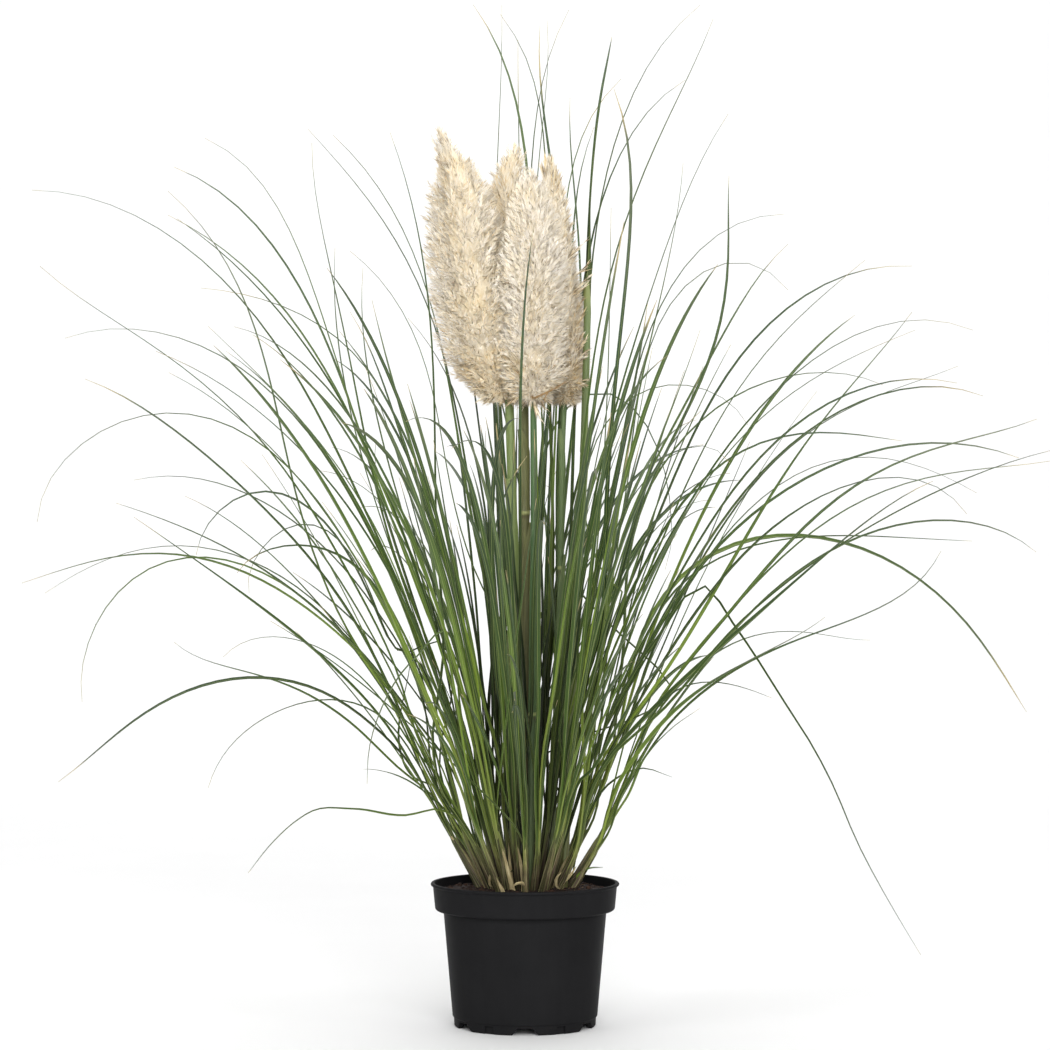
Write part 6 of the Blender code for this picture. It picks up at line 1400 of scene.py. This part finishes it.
def cane(parts, points, radius, joints, rings=46, sides=14, reach=0.0, taper=0.85):
    """A jointed cane along the points, with a low swelling and a groove at each joint."""
    f = np.linspace(0, 1, rings)
    extra = []
    for j in joints:
        extra += [j - 0.012, j - 0.006, j - 0.0025, j, j + 0.0025, j + 0.006, j + 0.012]
    f = np.unique(np.clip(np.concatenate([f, extra]), 0, 1))
    line = through(np.asarray(points, float), f)
    if reach:
        line = np.concatenate([[line[0] - unit(line[1] - line[0]) * reach], line])
        f = np.concatenate([[0.0], f])
    r = radius * np.interp(f, [0, 0.15, 1.0], [1.08, 1.0, taper])
    mark = np.zeros(len(f))
    for j in joints:
        d = (f - j) / 0.006
        r = r * (1 + 0.16 * np.exp(-d * d) - 0.10 * np.exp(-((f - j - 0.009) / 0.004) ** 2))
        mark += np.exp(-((f - j) / 0.004) ** 2) - 0.9 * np.exp(-((f - j + 0.007) / 0.004) ** 2)
    n = len(f)
    t, a = carried(line, (1.0, 0.0, 0.0))
    b = np.cross(t, a)
    ang = np.arange(sides) * 2 * math.pi / sides
    verts = line[:, None] + (r[:, None] * np.cos(ang))[..., None] * a[:, None] + (r[:, None] * np.sin(ang))[..., None] * b[:, None]
    k, j = np.meshgrid(np.arange(n - 1), np.arange(sides), indexing="ij")
    m = (j + 1) % sides
    quads = np.stack([k * sides + j, k * sides + m, (k + 1) * sides + m, (k + 1) * sides + j], axis=-1).reshape(-1, 4)
    flat = np.concatenate([verts.reshape(-1, 3), [line[0], line[-1]]])
    low, high, top = n * sides, n * sides + 1, (n - 1) * sides
    tris = [(low, (q + 1) % sides, q) for q in range(sides)] + [(high, top + q, top + (q + 1) % sides) for q in range(sides)]
    # the angle is folded, so that it meets itself behind the cane without a seam
    fold = np.abs(np.mod(ang / math.pi + 0.5, 2.0) - 1.0)
    value = np.stack([np.broadcast_to(f[:, None], (n, sides)), np.broadcast_to(fold, (n, sides)), np.broadcast_to(mark[:, None], (n, sides))], axis=-1).reshape(-1, 3)
    value = np.concatenate([value, [[0.0, 0.5, 0.0], [1.0, 0.5, 0.0]]])
    parts.add(flat, quads=quads, tris=tris, cane=value)
    return line, f, r


def wrap(parts, line, f, radius, start, stop, out, gap=0.0006, **kind):
    """A leaf sheath that clasps a cane between two heights and frees its edge at the top."""
    n = 12
    g = np.linspace(start, stop, n)
    run = np.stack([np.interp(g, f, line[:, k]) for k in range(3)], axis=1)
    r = np.interp(g, f, radius) + gap
    way, a = carried(run, out)
    b = np.cross(way, a)
    u = np.linspace(0, 1, n)
    turn = np.interp(u, [0, 0.7, 1.0], [2.9, 2.3, 0.5])
    loose = np.interp(u, [0, 0.75, 1.0], [0.0, 0.0004, 0.0022])
    sides = 11
    q = np.linspace(-1, 1, sides)
    ang = turn[:, None] * q[None]
    thick = 0.00055 * (1 - 0.5 * np.abs(q))
    outer = run[:, None] + ((r + loose)[:, None] + thick)[..., None] * (np.cos(ang)[..., None] * a[:, None] + np.sin(ang)[..., None] * b[:, None])
    inner = run[:, None] + (r + loose)[:, None, None] * (np.cos(ang)[..., None] * a[:, None] + np.sin(ang)[..., None] * b[:, None])
    ring = np.concatenate([outer, inner[:, ::-1]], axis=1)
    s2 = 2 * sides
    k, j = np.meshgrid(np.arange(n - 1), np.arange(s2), indexing="ij")
    m = (j + 1) % s2
    quads = np.stack([k * s2 + j, k * s2 + m, (k + 1) * s2 + m, (k + 1) * s2 + j], axis=-1).reshape(-1, 4)
    caps = []
    for q_ in range(sides - 1):
        caps.append((q_, s2 - 1 - q_, s2 - 2 - q_, q_ + 1))
        top = (n - 1) * s2
        caps.append((top + q_, top + q_ + 1, top + s2 - 2 - q_, top + s2 - 1 - q_))
    value = np.zeros((n, s2, 3))
    value[..., 0] = g[:, None]
    value[..., 1] = np.concatenate([np.abs(q), np.abs(q[::-1])])[None]
    value[..., 2] = kind.get("mark", 0.0) * (u[:, None] > 0.9)
    parts.add(ring.reshape(-1, 3), quads=np.concatenate([quads, np.array(caps)]), cane=value.reshape(-1, 3))


# sheaths clasp the stems and make them stand a little fuller than the plain canes of the frame
STEM_FULL = {"left": 1.32, "back": 1.22, "front": 0.90, "right": 0.86}


def make_stems():
    mats = {
        "left": stem_material("cane_light", "#5f6038", "#5c6a36", "#66753f", "#909f6a"),
        "back": stem_material("cane_olive", "#403a22", "#4f4f2a", "#646637", "#7d8048"),
        "front": stem_material("cane_deep", "#3b4424", "#35502b", "#415d30", "#667a44"),
        "right": stem_material("cane_green", "#4c552c", "#48592f", "#526539", "#7c8c5c"),
    }
    # heights of the joints, as shares of each stem
    joints = {"left": [0.16, 0.46], "back": [0.34, 0.775], "front": [0.36], "right": [0.30, 0.66]}
    made = []
    for name, points in STEMS.items():
        parts = Parts()
        rings = np.array(PLUMES[name])
        # the stem runs on inside the foot of its plume
        # first straight on, and only then bent along the middle of the plume
        top, before = np.array(points[-1]), np.array(points[-2])
        on = top + (top - before) * 0.10
        into = [tuple(on), tuple(0.5 * (on + rings[2][[1, 2, 0]]) - [0, 0, 0.004]), tuple(rings[2][[1, 2, 0]])]
        whole = list(points) + into
        length = np.concatenate([[0], np.cumsum(np.linalg.norm(np.diff(np.array(whole), axis=0), axis=1))])
        share = length[len(points) - 1] / length[-1]
        line, f, r = cane(parts, whole, STEM_R[name] * STEM_FULL[name], [j * share for j in joints[name]], reach=0.008, taper=0.88)
        for j, (k, out) in enumerate(zip(joints[name], [(1.0, -0.4, 0.0), (-0.8, -0.7, 0.0), (0.2, -1.0, 0.0)])):
            wrap(parts, line, f, r, k * share + 0.004, min(k * share + 0.34, 0.95 * share), out, mark=0.15)
        made.append(piece("flower_stem_" + name, parts.mesh("flower_stem_" + name), mats[name], ["stem_" + name], sharp=40))
    parts = Parts()
    line, f, r = cane(parts, list(CULM), 0.0048, [0.10, 0.42, 0.705], rings=54, reach=0.008, taper=0.58)
    for k, out in ((0.10, (-0.6, -0.8, 0.0)), (0.42, (0.9, -0.5, 0.0)), (0.705, (-0.3, -1.0, 0.0))):
        wrap(parts, line, f, r, k + 0.004, min(k + 0.28, 0.985), out, mark=0.6)
    made.append(piece("leafy_culm_stem", parts.mesh("leafy_culm_stem"), stem_material("culm_cane", "#5f5f36", "#606e3e", "#5f6e40", "#8a976c"), ["culm"], sharp=40))
    # the culm's last leaf, that wraps its top and runs on upwards
    parts = Parts()
    rng = np.random.default_rng(5)
    points = np.array(list(CULM[4:]) + list(CULM_TIP) + [(0.1060, -0.004, 1.205)])
    fine = through(points, np.linspace(0, 1, 40))
    s = np.concatenate([np.linspace(-0.6, 0.0, 14), np.linspace(0, 1, 27)[1:]])
    way, a = carried(fine, (-1.0, -0.3, 0.0))
    b = np.cross(way, a)
    roll = np.interp(s, [-1, 0, 1], [0.0, 0.4, 1.1])
    up = np.cos(roll)[:, None] * a + np.sin(roll)[:, None] * b
    opened = ease((s + 0.1) / 0.4)
    fine = fine - up * (0.0036 * (1 - opened))[:, None]
    half = np.maximum(0.0024 * seen_width(clamp01(s)), 0.00028)
    blade(parts, fine, up, half, np.interp(s, [-1, 0, 1], [0.9, 0.8, 0.25]), opened, np.full(40, 0.0036), np.interp(s, [-1, 0, 0.3], [2.9, 2.6, 1.8]), np.interp(s, [-1, 0, 1], [0.0007, 0.0006, 0.00025]), s, (0, 1), 0.4, np.interp(s, [0.0, 0.97, 1.0], [0.0, 0.0, 0.8]), 0.12)
    made.append(piece("leafy_culm_leaf", parts.mesh("leafy_culm_leaf", "OFBake"), bpy.data.materials["leaf_blade"], ["culm"], sharp=28))
    return made

# ------------------------------------------------------------------ plumes
# where single sprays reach the outline in the front view, with how far they stand forward of the plume's middle
SPRAYS = {
    "left": [(437, 129, 0), (446, 134, 2), (432, 137, -4), (450, 148, 4), (434, 147, 0), (461, 157, 6), (470, 160, -5), (471, 167, 3), (476, 174, 0), (482, 182, -4), (436, 158, 5),
             (428, 182, 3), (426, 194, -6), (425, 206, 4), (423, 216, 0), (425, 227, 6), (428, 236, -5), (424, 245, 2), (425, 258, 5), (428, 274, -4), (436, 284, 3), (430, 298, 6), (439, 310, -4),
             (442, 330, 5), (449, 347, 0), (443, 360, 6), (459, 374, -2), (474, 390, 5), (481, 399, 0), (488, 401, 6), (483, 203, -6)],
    "back": [(515, 143, 0), (508, 146, 3), (520, 148, -3), (525, 154, 4), (502, 158, -2), (497, 165, 6), (491, 172, 2), (528, 170, -5), (486, 194, 0), (487, 186, 5), (497, 396, 4), (503, 401, -3)],
    "front": [(523, 174, 0), (530, 171, 3), (536, 176, 5), (519, 181, -3), (515, 192, 6), (509, 403, 6), (516, 400, 8), (524, 402, 0), (531, 401, 4), (537, 413, 9), (540, 418, 10), (544, 407, 2), (549, 402, 5)],
    "right": [(545, 157, 0), (551, 159, 3), (541, 163, -4), (556, 168, 4), (560, 174, -2), (559, 183, 6), (565, 188, 0), (567, 202, 4), (569, 209, -4), (567, 218, 5), (571, 225, 0), (573, 233, 5),
              (574, 243, -4), (575, 256, 4), (586, 241, 0), (592, 274, 3), (588, 263, -3), (581, 285, 5), (583, 300, -4), (581, 317, 0), (583, 334, 5), (590, 349, 2), (582, 357, -3), (576, 368, 6), (588, 380, 0),
              (577, 394, 5), (562, 401, 2), (570, 399, -4), (587, 284, 2), (584, 312, 4), (587, 337, 3), (584, 343, 6), (586, 356, 0), (580, 364, 5), (587, 386, 3), (581, 390, 6), (571, 276, 6), (575, 338, 8), (571, 362, 9)],
}
BRANCHES, FLORETS, DOWN = 800, 36, 4500


def plume_at(rings, z):
    """Middle and half width of a plume at a height."""
    return np.interp(z, rings[:, 0], rings[:, 1]), np.interp(z, rings[:, 0], rings[:, 2]), np.interp(z, rings[:, 0], rings[:, 3])


def any_square(v, rng_dir):
    a = rng_dir - v * (rng_dir * v).sum(axis=-1, keepdims=True)
    return unit(a)


class Fluff:
    """Gathers the florets of a plume: slender closed spindles, four corners each."""

    def __init__(self):
        self.root, self.way, self.long, self.fat, self.value = [], [], [], [], []

    def put(self, root, way, long, fat, tone, out, spot):
        self.root.append(root), self.way.append(way), self.long.append(long), self.fat.append(fat)
        self.value.append(np.stack([tone, out, spot], axis=1))

    def into(self, parts, rng):
        root, way, long, fat = (np.concatenate(x) for x in (self.root, self.way, self.long, self.fat))
        value = np.concatenate(self.value)
        n = len(root)
        a = any_square(way, unit(rng.normal(0, 1, (n, 3))))
        b = np.cross(way, a)
        droop = np.zeros((n, 3))
        droop[:, 2] = -0.06 * long
        mid = root + way * (long * 0.42)[:, None]
        c, d = a, -0.5 * a + 0.866 * b
        verts = np.stack([root, mid + c * fat[:, None], mid + d * fat[:, None], root + way * long[:, None] + droop], axis=1).reshape(-1, 3)
        start = np.arange(n)[:, None] * 4
        tris = np.concatenate([start + [0, 2, 1], start + [3, 1, 2], start + [0, 1, 3], start + [0, 3, 2]], axis=1).reshape(-1, 3)
        along = np.tile([0.0, 0.45, 0.45, 1.0], n)
        fluff = np.repeat(value, 4, axis=0)
        own = np.stack([np.zeros((n, 3)), c, d, 0.5 * way], axis=1).reshape(-1, 3)
        parts.add(verts, tris=tris, fluff=fluff, along=along, own=own)


def spray(parts, fluff, rng, root, end, way0, way1, count, tone, wide=1.0, first=0.30, stalk=True, size=1.0, brown=0.0):
    """One branchlet: its thin stalk, and florets all round its outer part, closing to a point."""
    length = np.linalg.norm(end - root)
    s = np.linspace(0, 1, 7)
    h00, h10, h01, h11 = 2 * s**3 - 3 * s**2 + 1, s**3 - 2 * s**2 + s, -2 * s**3 + 3 * s**2, s**3 - s**2
    line = h00[:, None] * root + h10[:, None] * way0 * length + h01[:, None] * end + h11[:, None] * way1 * length
    u = first + (1 - first) * np.sort(rng.uniform(0, 1, count)) ** 0.92
    at = np.stack([np.interp(u, s, line[:, k]) for k in range(3)], axis=1)
    tangent = unit(np.gradient(line, axis=0))
    way = unit(np.stack([np.interp(u, s, tangent[:, k]) for k in range(3)], axis=1))
    side = any_square(way, unit(rng.normal(0, 1, (count, 3))))
    open_ = np.clip((1 - u) / (1 - first), 0, 1)
    shift = wide * (0.0060 * open_**0.7 * np.sqrt(rng.uniform(0, 1, count)) + 0.0003)
    beta = rng.uniform(0.10, 1.05, count) * (0.50 + 0.50 * open_)
    direction = unit(way * np.cos(beta)[:, None] + side * np.sin(beta)[:, None])
    long = rng.uniform(0.0085, 0.0150, count) * (0.78 + 0.22 * open_)
    fat = rng.uniform(0.00036, 0.00058, count)
    if size > 1.0:
        beta, long, fat = beta * 0.45, long * size, fat * size
        direction = unit(way * np.cos(beta)[:, None] + side * np.sin(beta)[:, None])
    hair = rng.random(count) < 0.14
    long = np.where(hair, long * rng.uniform(1.25, 1.7, count), long)
    fat = np.where(hair, fat * 0.55, fat)
    own_tone = np.clip(tone + rng.normal(0, 0.26, count), 0, 1)
    fluff.put(at + side * shift[:, None] - direction * (long * 0.35)[:, None], direction, long, fat, own_tone, u, rng.uniform(brown, 1, count))
    if stalk:
        few = line[[0, 2, 4, 6]]
        round_tube(parts, few, [0.00055, 0.00045, 0.00035, 0.00018], 3, first=unit(np.cross(way0, (0.3, 0.5, 0.8))), close_low=False, fluff=np.array([[tone * 0.6, 0.15, 0.5]] * 4), along=0.3)


def plume_material(name, stops, deep, speck_and_foot_shade):
    """Silky florets: pale at their free ends, with a few brown glumes, and painted shade that makes them tan inside the
    plume and at each floret's foot.
    """
    shade = Shade(name, Sheen_Weight=0.36, Sheen_Roughness=0.40, Sheen_Tint=(1.0, 0.90, 0.76, 1.0), Specular_IOR_Level=0.2)
    tone, out, spot = shade.split(shade.attribute("fluff", True))
    along = shade.attribute("along")
    at = shade.where()
    wide = shade.noise(at, 26.0, 3.0, 0.6)
    fine = shade.noise(at, 420.0, 2.0)
    value = shade.math("ADD", shade.math("MULTIPLY", tone, 0.55), shade.math("MULTIPLY_ADD", wide, 0.70, -0.12), clamp=True)
    value = shade.math("ADD", value, shade.math("MULTIPLY_ADD", spot, 0.24, -0.12), clamp=True)
    colour = shade.ramp(value, [(at_, tint(code)) for at_, code in stops])
    # painted shade: towards the middle of the plume, and at each floret's foot, it is darker, where the florets shade
    # each other
    colour = shade.mix(shade.spread(out, 0.15, 0.60, 0.70, 0.0), colour, tint(deep))
    colour = shade.mix(shade.spread(along, 0.0, 0.45, 0.20, 0.0), colour, tint(speck_and_foot_shade))
    colour = shade.mix(shade.math("MULTIPLY", shade.spread(spot, 0.940, 0.950), shade.spread(along, 0.3, 0.7, 1.0, 0.75)), colour, tint(speck_and_foot_shade))
    colour = shade.mix(shade.spread(fine, 0.50, 0.70, 0.0, 0.14), colour, tint("#fffaf2"))
    colour = shade.mix(shade.spread(fine, 0.34, 0.48, 0.16, 0.0), colour, tint("#c2a474"))
    return shade.done(colour, shade.spread(fine, 0.3, 0.7, 0.72, 0.90), shade.bump(fine, 0.2, 0.0002))


# each plume's tone: partly its own colour, partly painted light and shade, lightest for the front plume, which faces
# the light, and darker for the left one
PLUME_TONE_AND_LIGHT = {"left": 0.58, "back": 0.62, "front": 0.80, "right": 0.64}
# how much wider than the frame's plain plumes the loose fluff stands, and how far its middle leans to the plumes beside it
PLUME_WIDE = {"left": 1.36, "back": 1.40, "front": 1.24, "right": 1.06}
PLUME_SHAPE = {"left": [1.7, 1.45, 1.08, 1.00, 0.90, 0.84], "back": [1.7, 1.45, 1.22, 1.14, 0.84, 0.70], "front": [1.7, 1.45, 1.08, 1.00, 0.98, 0.92], "right": [1.7, 1.45, 1.08, 1.00, 0.98, 0.94]}
PLUME_LEAN = {"left": (0.0105, -0.017), "back": (-0.0020, -0.014), "front": (-0.0025, 0.0), "right": (-0.0020, -0.014)}


def make_plumes():
    # the last two colours are the painted shade deep in the plume, and the brown of the glumes, also laid on the
    # florets' feet as painted shade
    mat = plume_material("plume_silk", [(0.05, "#9f7438"), (0.22, "#dabb80"), (0.42, "#efe0c0"), (0.66, "#f5ecdb"), (0.92, "#fbf5ec")], "#eadbba", "#7b5f36")
    made = []
    golden = math.pi * (3 - math.sqrt(5))
    for number, (name, rows) in enumerate(PLUMES.items()):
        rng = np.random.default_rng(300 + number)
        rings = np.array(rows)
        share = (rings[:, 0] - rings[0, 0]) / (rings[-1, 0] - rings[0, 0])
        rings[:, 3] *= PLUME_WIDE[name] * np.interp(share, [0, 0.05, 0.22, 0.55, 0.80, 1.0], PLUME_SHAPE[name])
        rings[:, 1:3] += np.outer(np.interp(share, [0, 0.3, 0.7, 1.0], [0.1, 1.0, 1.0, 0.2]), PLUME_LEAN[name])
        z0, z1 = rings[0, 0], rings[-1, 0]
        parts, fluff = Parts(), Fluff()
        # the soft middle of the plume
        zs = np.linspace(z0 + 0.002, z1 - 0.012, 34)
        x, y, r = plume_at(rings, zs)
        sides = 16
        lumps = np.array([[1 + 0.24 * noise.noise(Vector((3 * math.cos(2 * math.pi * j / sides), 3 * math.sin(2 * math.pi * j / sides) + number, z * 70))) for j in range(sides)] for z in zs])
        round_tube(parts, np.column_stack([x, y, zs]), np.maximum(r * 0.44 - 0.001, 0.0010), sides, wobble=lumps, fluff=np.column_stack([np.full(34, 0.50), np.full(34, 0.42), np.full(34, 0.5)]), along=0.40)
        grid = np.linspace(z0, z1, 200)
        weight = np.cumsum(plume_at(rings, grid)[2] + 0.002)
        weight /= weight[-1]
        # a coat of down close round the middle
        z = np.interp(rng.uniform(0, 1, DOWN), weight, grid[: len(weight)]) * 0.985 + z0 * 0.015
        x, y, r = plume_at(rings, z)
        turn, deep = rng.uniform(0, 2 * math.pi, DOWN), rng.uniform(0.42, 0.78, DOWN)
        out = np.stack([np.cos(turn), np.sin(turn), np.zeros(DOWN)], axis=1)
        round_ = np.stack([-np.sin(turn), np.cos(turn), np.zeros(DOWN)], axis=1)
        way = unit(out * rng.normal(0.45, 0.25, (DOWN, 1)) + round_ * rng.normal(0, 0.45, (DOWN, 1)) + [0, 0, 0.9])
        fluff.put(np.column_stack([x, y, z]) + out * (r * deep)[:, None] - way * 0.004, way, rng.uniform(0.0085, 0.0140, DOWN), rng.uniform(0.00046, 0.00070, DOWN),
                  np.clip(PLUME_TONE_AND_LIGHT[name] - 0.10 + rng.normal(0, 0.18, DOWN) - 0.25 * ease(1 - (z - z0) / (z1 - z0) / 0.40), 0, 1), np.full(DOWN, 0.55), rng.uniform(0, 1, DOWN))
        # branchlets, more of them where the plume is wide
        for k in range(BRANCHES):
            ze = float(np.interp((k + rng.uniform(0.2, 0.8)) / BRANCHES, weight, grid))
            h = (ze - z0) / (z1 - z0)
            phi = k * golden + rng.normal(0, 0.25)
            cx, cy, r = plume_at(rings, ze)
            reach = r * rng.uniform(0.84, 1.06)
            out = np.array([math.cos(phi), math.sin(phi), 0.0])
            end = np.array([cx, cy, ze]) + out * reach
            rise = rng.uniform(0.026, 0.056) * np.interp(h, [0, 0.12, 0.8, 1.0], [0.3, 0.9, 1.0, 0.8])
            zr = max(ze - rise, z0 + 0.006)
            rx, ry, _ = plume_at(rings, zr)
            root = np.array([rx, ry, zr]) + out * 0.0015
            leaning = np.interp(h, [0, 0.07, 0.25, 0.7, 1.0], [1.70, 1.25, 0.84, 0.55, 0.20]) + rng.normal(0, 0.26)
            way1 = out * math.sin(leaning) + np.array([0, 0, math.cos(leaning)])
            way0 = unit(out * 0.35 + np.array([0, 0, 1.0])) if h > 0.06 else unit(out + np.array([0, 0, 0.3]))
            tone = float(np.clip(PLUME_TONE_AND_LIGHT[name] + rng.normal(0, 0.06) - 0.21 * ease(1 - h / 0.45), 0, 1))
            spray(parts, fluff, rng, root, end, way0, way1, FLORETS, tone, wide=np.interp(h, [0, 0.9, 1.0], [1.0, 0.9, 0.55]), first=0.46, stalk=k % 4 == 0)
        for u, v, forward in SPRAYS[name]:
            mid = rings[len(rings) // 2, 2]
            # those far out on the right pass in front of the leafy culm
            end = to_space(float(u), float(v), -0.030 if name == "right" and u > 577 else float(mid - forward * 0.0012))
            ze = float(np.clip(end[2], z0, z1))
            h = (ze - z0) / (z1 - z0)
            zr = max(min(ze, z1) - rng.uniform(0.030, 0.046), z0 + 0.006)
            rx, ry, _ = plume_at(rings, zr)
            root = np.array([rx, ry, zr])
            out = unit((end - root) * [1, 1, 0] + [1e-6, 0, 0])
            leaning = np.interp(h, [0, 0.07, 0.25, 0.7, 1.0], [2.2, 1.6, 1.10, 0.65, 0.20]) + rng.normal(0, 0.12)
            way1 = out * math.sin(leaning) + np.array([0, 0, math.cos(leaning)])
            # the sprays on the right and along the foot are thinner and browner
            sharp = name == "right" or v > 385
            tone = float(np.clip(PLUME_TONE_AND_LIGHT[name] + rng.normal(-0.62 if sharp else -0.20, 0.12), 0, 1))
            spray(parts, fluff, rng, root, end, unit(out * 0.4 + [0, 0, 1.0]), way1, 18 if sharp else 34, tone, wide=0.34 if sharp else 0.60, first=0.46, size=1.6 if sharp else 1.0, brown=0.84 if sharp else 0.84)
        if name == "front":
            # a bare straw stalk lies across the foot of the plumes
            a, b = to_space(530.0, 401.0, -0.082), to_space(567.0, 381.0, -0.074)
            foot = np.array([*plume_at(rings, z0 + 0.012)[:2], z0 + 0.012])
            run = through(np.array([foot, a + (b - a) * 0.08 + [0, 0.016, 0.002], a + (b - a) * 0.30, a + (b - a) * 0.65 + [0, 0, -0.001], b]), np.linspace(0, 1, 18))
            round_tube(parts, run, np.interp(np.linspace(0, 1, 18), [0, 0.9, 1], [0.0013, 0.0010, 0.0004]), 7, fluff=np.array([[0.0, 0.65, 0.97]] * 18), along=0.2)
            twig = np.array([run[11], run[11] + [-0.0035, -0.0015, -0.006], run[11] + [-0.0055, -0.002, -0.013]])
            round_tube(parts, through(twig, np.linspace(0, 1, 6)), [0.0009, 0.0008, 0.0007, 0.0006, 0.0005, 0.0003], 5, fluff=np.array([[0.0, 0.65, 0.97]] * 6), along=0.2)
        fluff.into(parts, rng)
        own = parts.values.pop("own")
        mesh = parts.mesh("plume_fluff_" + name)
        obj = piece("plume_fluff_" + name, mesh, mat, ["plume_" + name])
        # the whole takes the light as one soft body: each floret's faces lean towards the way out of the plume
        at = np.empty(len(mesh.vertices) * 3, np.float32)
        mesh.vertices.foreach_get("co", at)
        at = at.reshape(-1, 3).astype(float)
        middle = np.stack(plume_at(rings, at[:, 2])[:2], axis=1)
        outward = np.zeros((len(at), 3))
        outward[:, :2] = at[:, :2] - middle
        outward = unit(outward)
        if name != "right":
            # between the left and the front plume the fluff runs together, so there it faces forward as one mass
            outward[:, 1] -= 1.1 * np.exp(-(((at[:, 0] + 0.026) / 0.020) ** 2)) * np.clip((middle[:, 1] + 0.006 - at[:, 1]) / 0.012, 0, 1)
        outward[:, 2] = np.interp((at[:, 2] - z0) / (z1 - z0), [0, 0.15, 0.8, 1.0], [0.60, 1.00, 1.20, 1.6])
        lean = np.zeros((len(at), 3))
        for start, value in own:
            lean[start : start + len(value)] = value
        mesh.normals_split_custom_set_from_vertices(unit(0.83 * unit(outward) + 0.17 * lean).astype(np.float32))
        made.append(obj)
    return made

# ------------------------------------------------------------------ stage
def plain_material(name, rgb, rough):
    shade = Shade(name, Specular_IOR_Level=0.1)
    at = shade.where()
    spot = shade.noise(at, 3.0, 3.0)
    return shade.done(shade.ramp(spot, [(0.3, tuple(c * 0.985 for c in rgb)), (0.7, rgb)]), rough)


def make_stage():
    """A pale floor that curves up into a backdrop far behind."""
    profile = [(-7.0, 0.0), (5.0, 0.0)]
    for k in range(1, 13):
        a = math.radians(k * 90 / 12)
        profile.append((5.0 + 2.5 * math.sin(a), 2.5 * (1 - math.cos(a))))
    profile.append((7.5, 9.0))
    verts, faces = [], []
    for y, z in profile:
        verts += [(-9.0, y, z), (9.0, y, z)]
    for k in range(len(profile) - 1):
        faces.append((2 * k, 2 * k + 1, 2 * k + 3, 2 * k + 2))
    mesh = bpy.data.meshes.new("floor")
    mesh.from_pydata(verts, [], faces)
    mesh.update()
    mesh.shade_smooth()
    floor = bpy.data.objects.new("floor", mesh)
    bpy.context.scene.collection.objects.link(floor)
    mesh.materials.append(plain_material("pale_floor", (0.90, 0.90, 0.90), 0.7))

    world = bpy.data.worlds.new("studio")
    world.use_nodes = True
    back = world.node_tree.nodes["Background"]
    back.inputs["Color"].default_value = (1.0, 1.0, 1.0, 1.0)
    back.inputs["Strength"].default_value = WORLD_LIGHT
    bpy.context.scene.world = world

    for name, place, size, aim, power, cone in LIGHTS:
        data = bpy.data.lights.new(name, "AREA")
        data.shape = "RECTANGLE"
        data.size, data.size_y = size
        data.energy = power
        data.spread = math.radians(cone)
        lamp = bpy.data.objects.new(name, data)
        lamp.location = place
        lamp.rotation_euler = (Vector(aim) - Vector(place)).to_track_quat("-Z", "Y").to_euler()
        bpy.context.scene.collection.objects.link(lamp)

    cam = bpy.data.cameras.new("camera")
    cam.sensor_width = cam.sensor_height = 36.0
    cam.lens = 36.0 * VIEW_F / 1050
    cam.clip_start, cam.clip_end = 0.1, 60.0
    camera = bpy.data.objects.new("camera", cam)
    camera.location = (0.0, VIEW_Y, VIEW_Z)
    camera.rotation_euler = (math.pi / 2, 0, 0)
    bpy.context.scene.collection.objects.link(camera)
    bpy.context.scene.camera = camera
    view = bpy.context.scene.view_settings
    view.view_transform, view.look, view.exposure, view.gamma = "Standard", "None", 0.0, 1.0


WORLD_LIGHT = 0.17
LIGHTS = [
    ("key", (0.6, -4.8, 2.1), (3.6, 2.8), (0.0, 0.0, 0.66), 236.0, 180.0),
    ("fill", (-3.2, -3.4, 1.4), (2.0, 2.0), (0.0, 0.0, 0.70), 26.0, 180.0),
    ("side_left", (-2.7, -1.7, 1.9), (0.9, 0.9), (0.0, 0.0, 1.00), 2.3, 32.0),
    ("side_right", (2.7, -1.7, 1.9), (0.9, 0.9), (0.0, 0.0, 1.00), 1.9, 32.0),
    ("top", (0.0, 2.6, 4.6), (7.0, 9.0), (0.0, 2.6, 0.0), 312.0, 180.0),
    ("wall", (0.0, 4.4, 3.6), (7.0, 1.6), (0.0, 7.6, 1.3), 30.0, 180.0),
]


def main():
    make_stage()
    made = [make_pot(), make_soil()]
    made += make_tussock()
    made += make_stems()
    made += make_plumes()
    for obj in made:
        print(obj.name, sum(len(p.vertices) - 2 for p in obj.data.polygons))
    print("triangles", sum(len(p.vertices) - 2 for obj in made for p in obj.data.polygons))
    bpy.context.view_layer.update()


main()
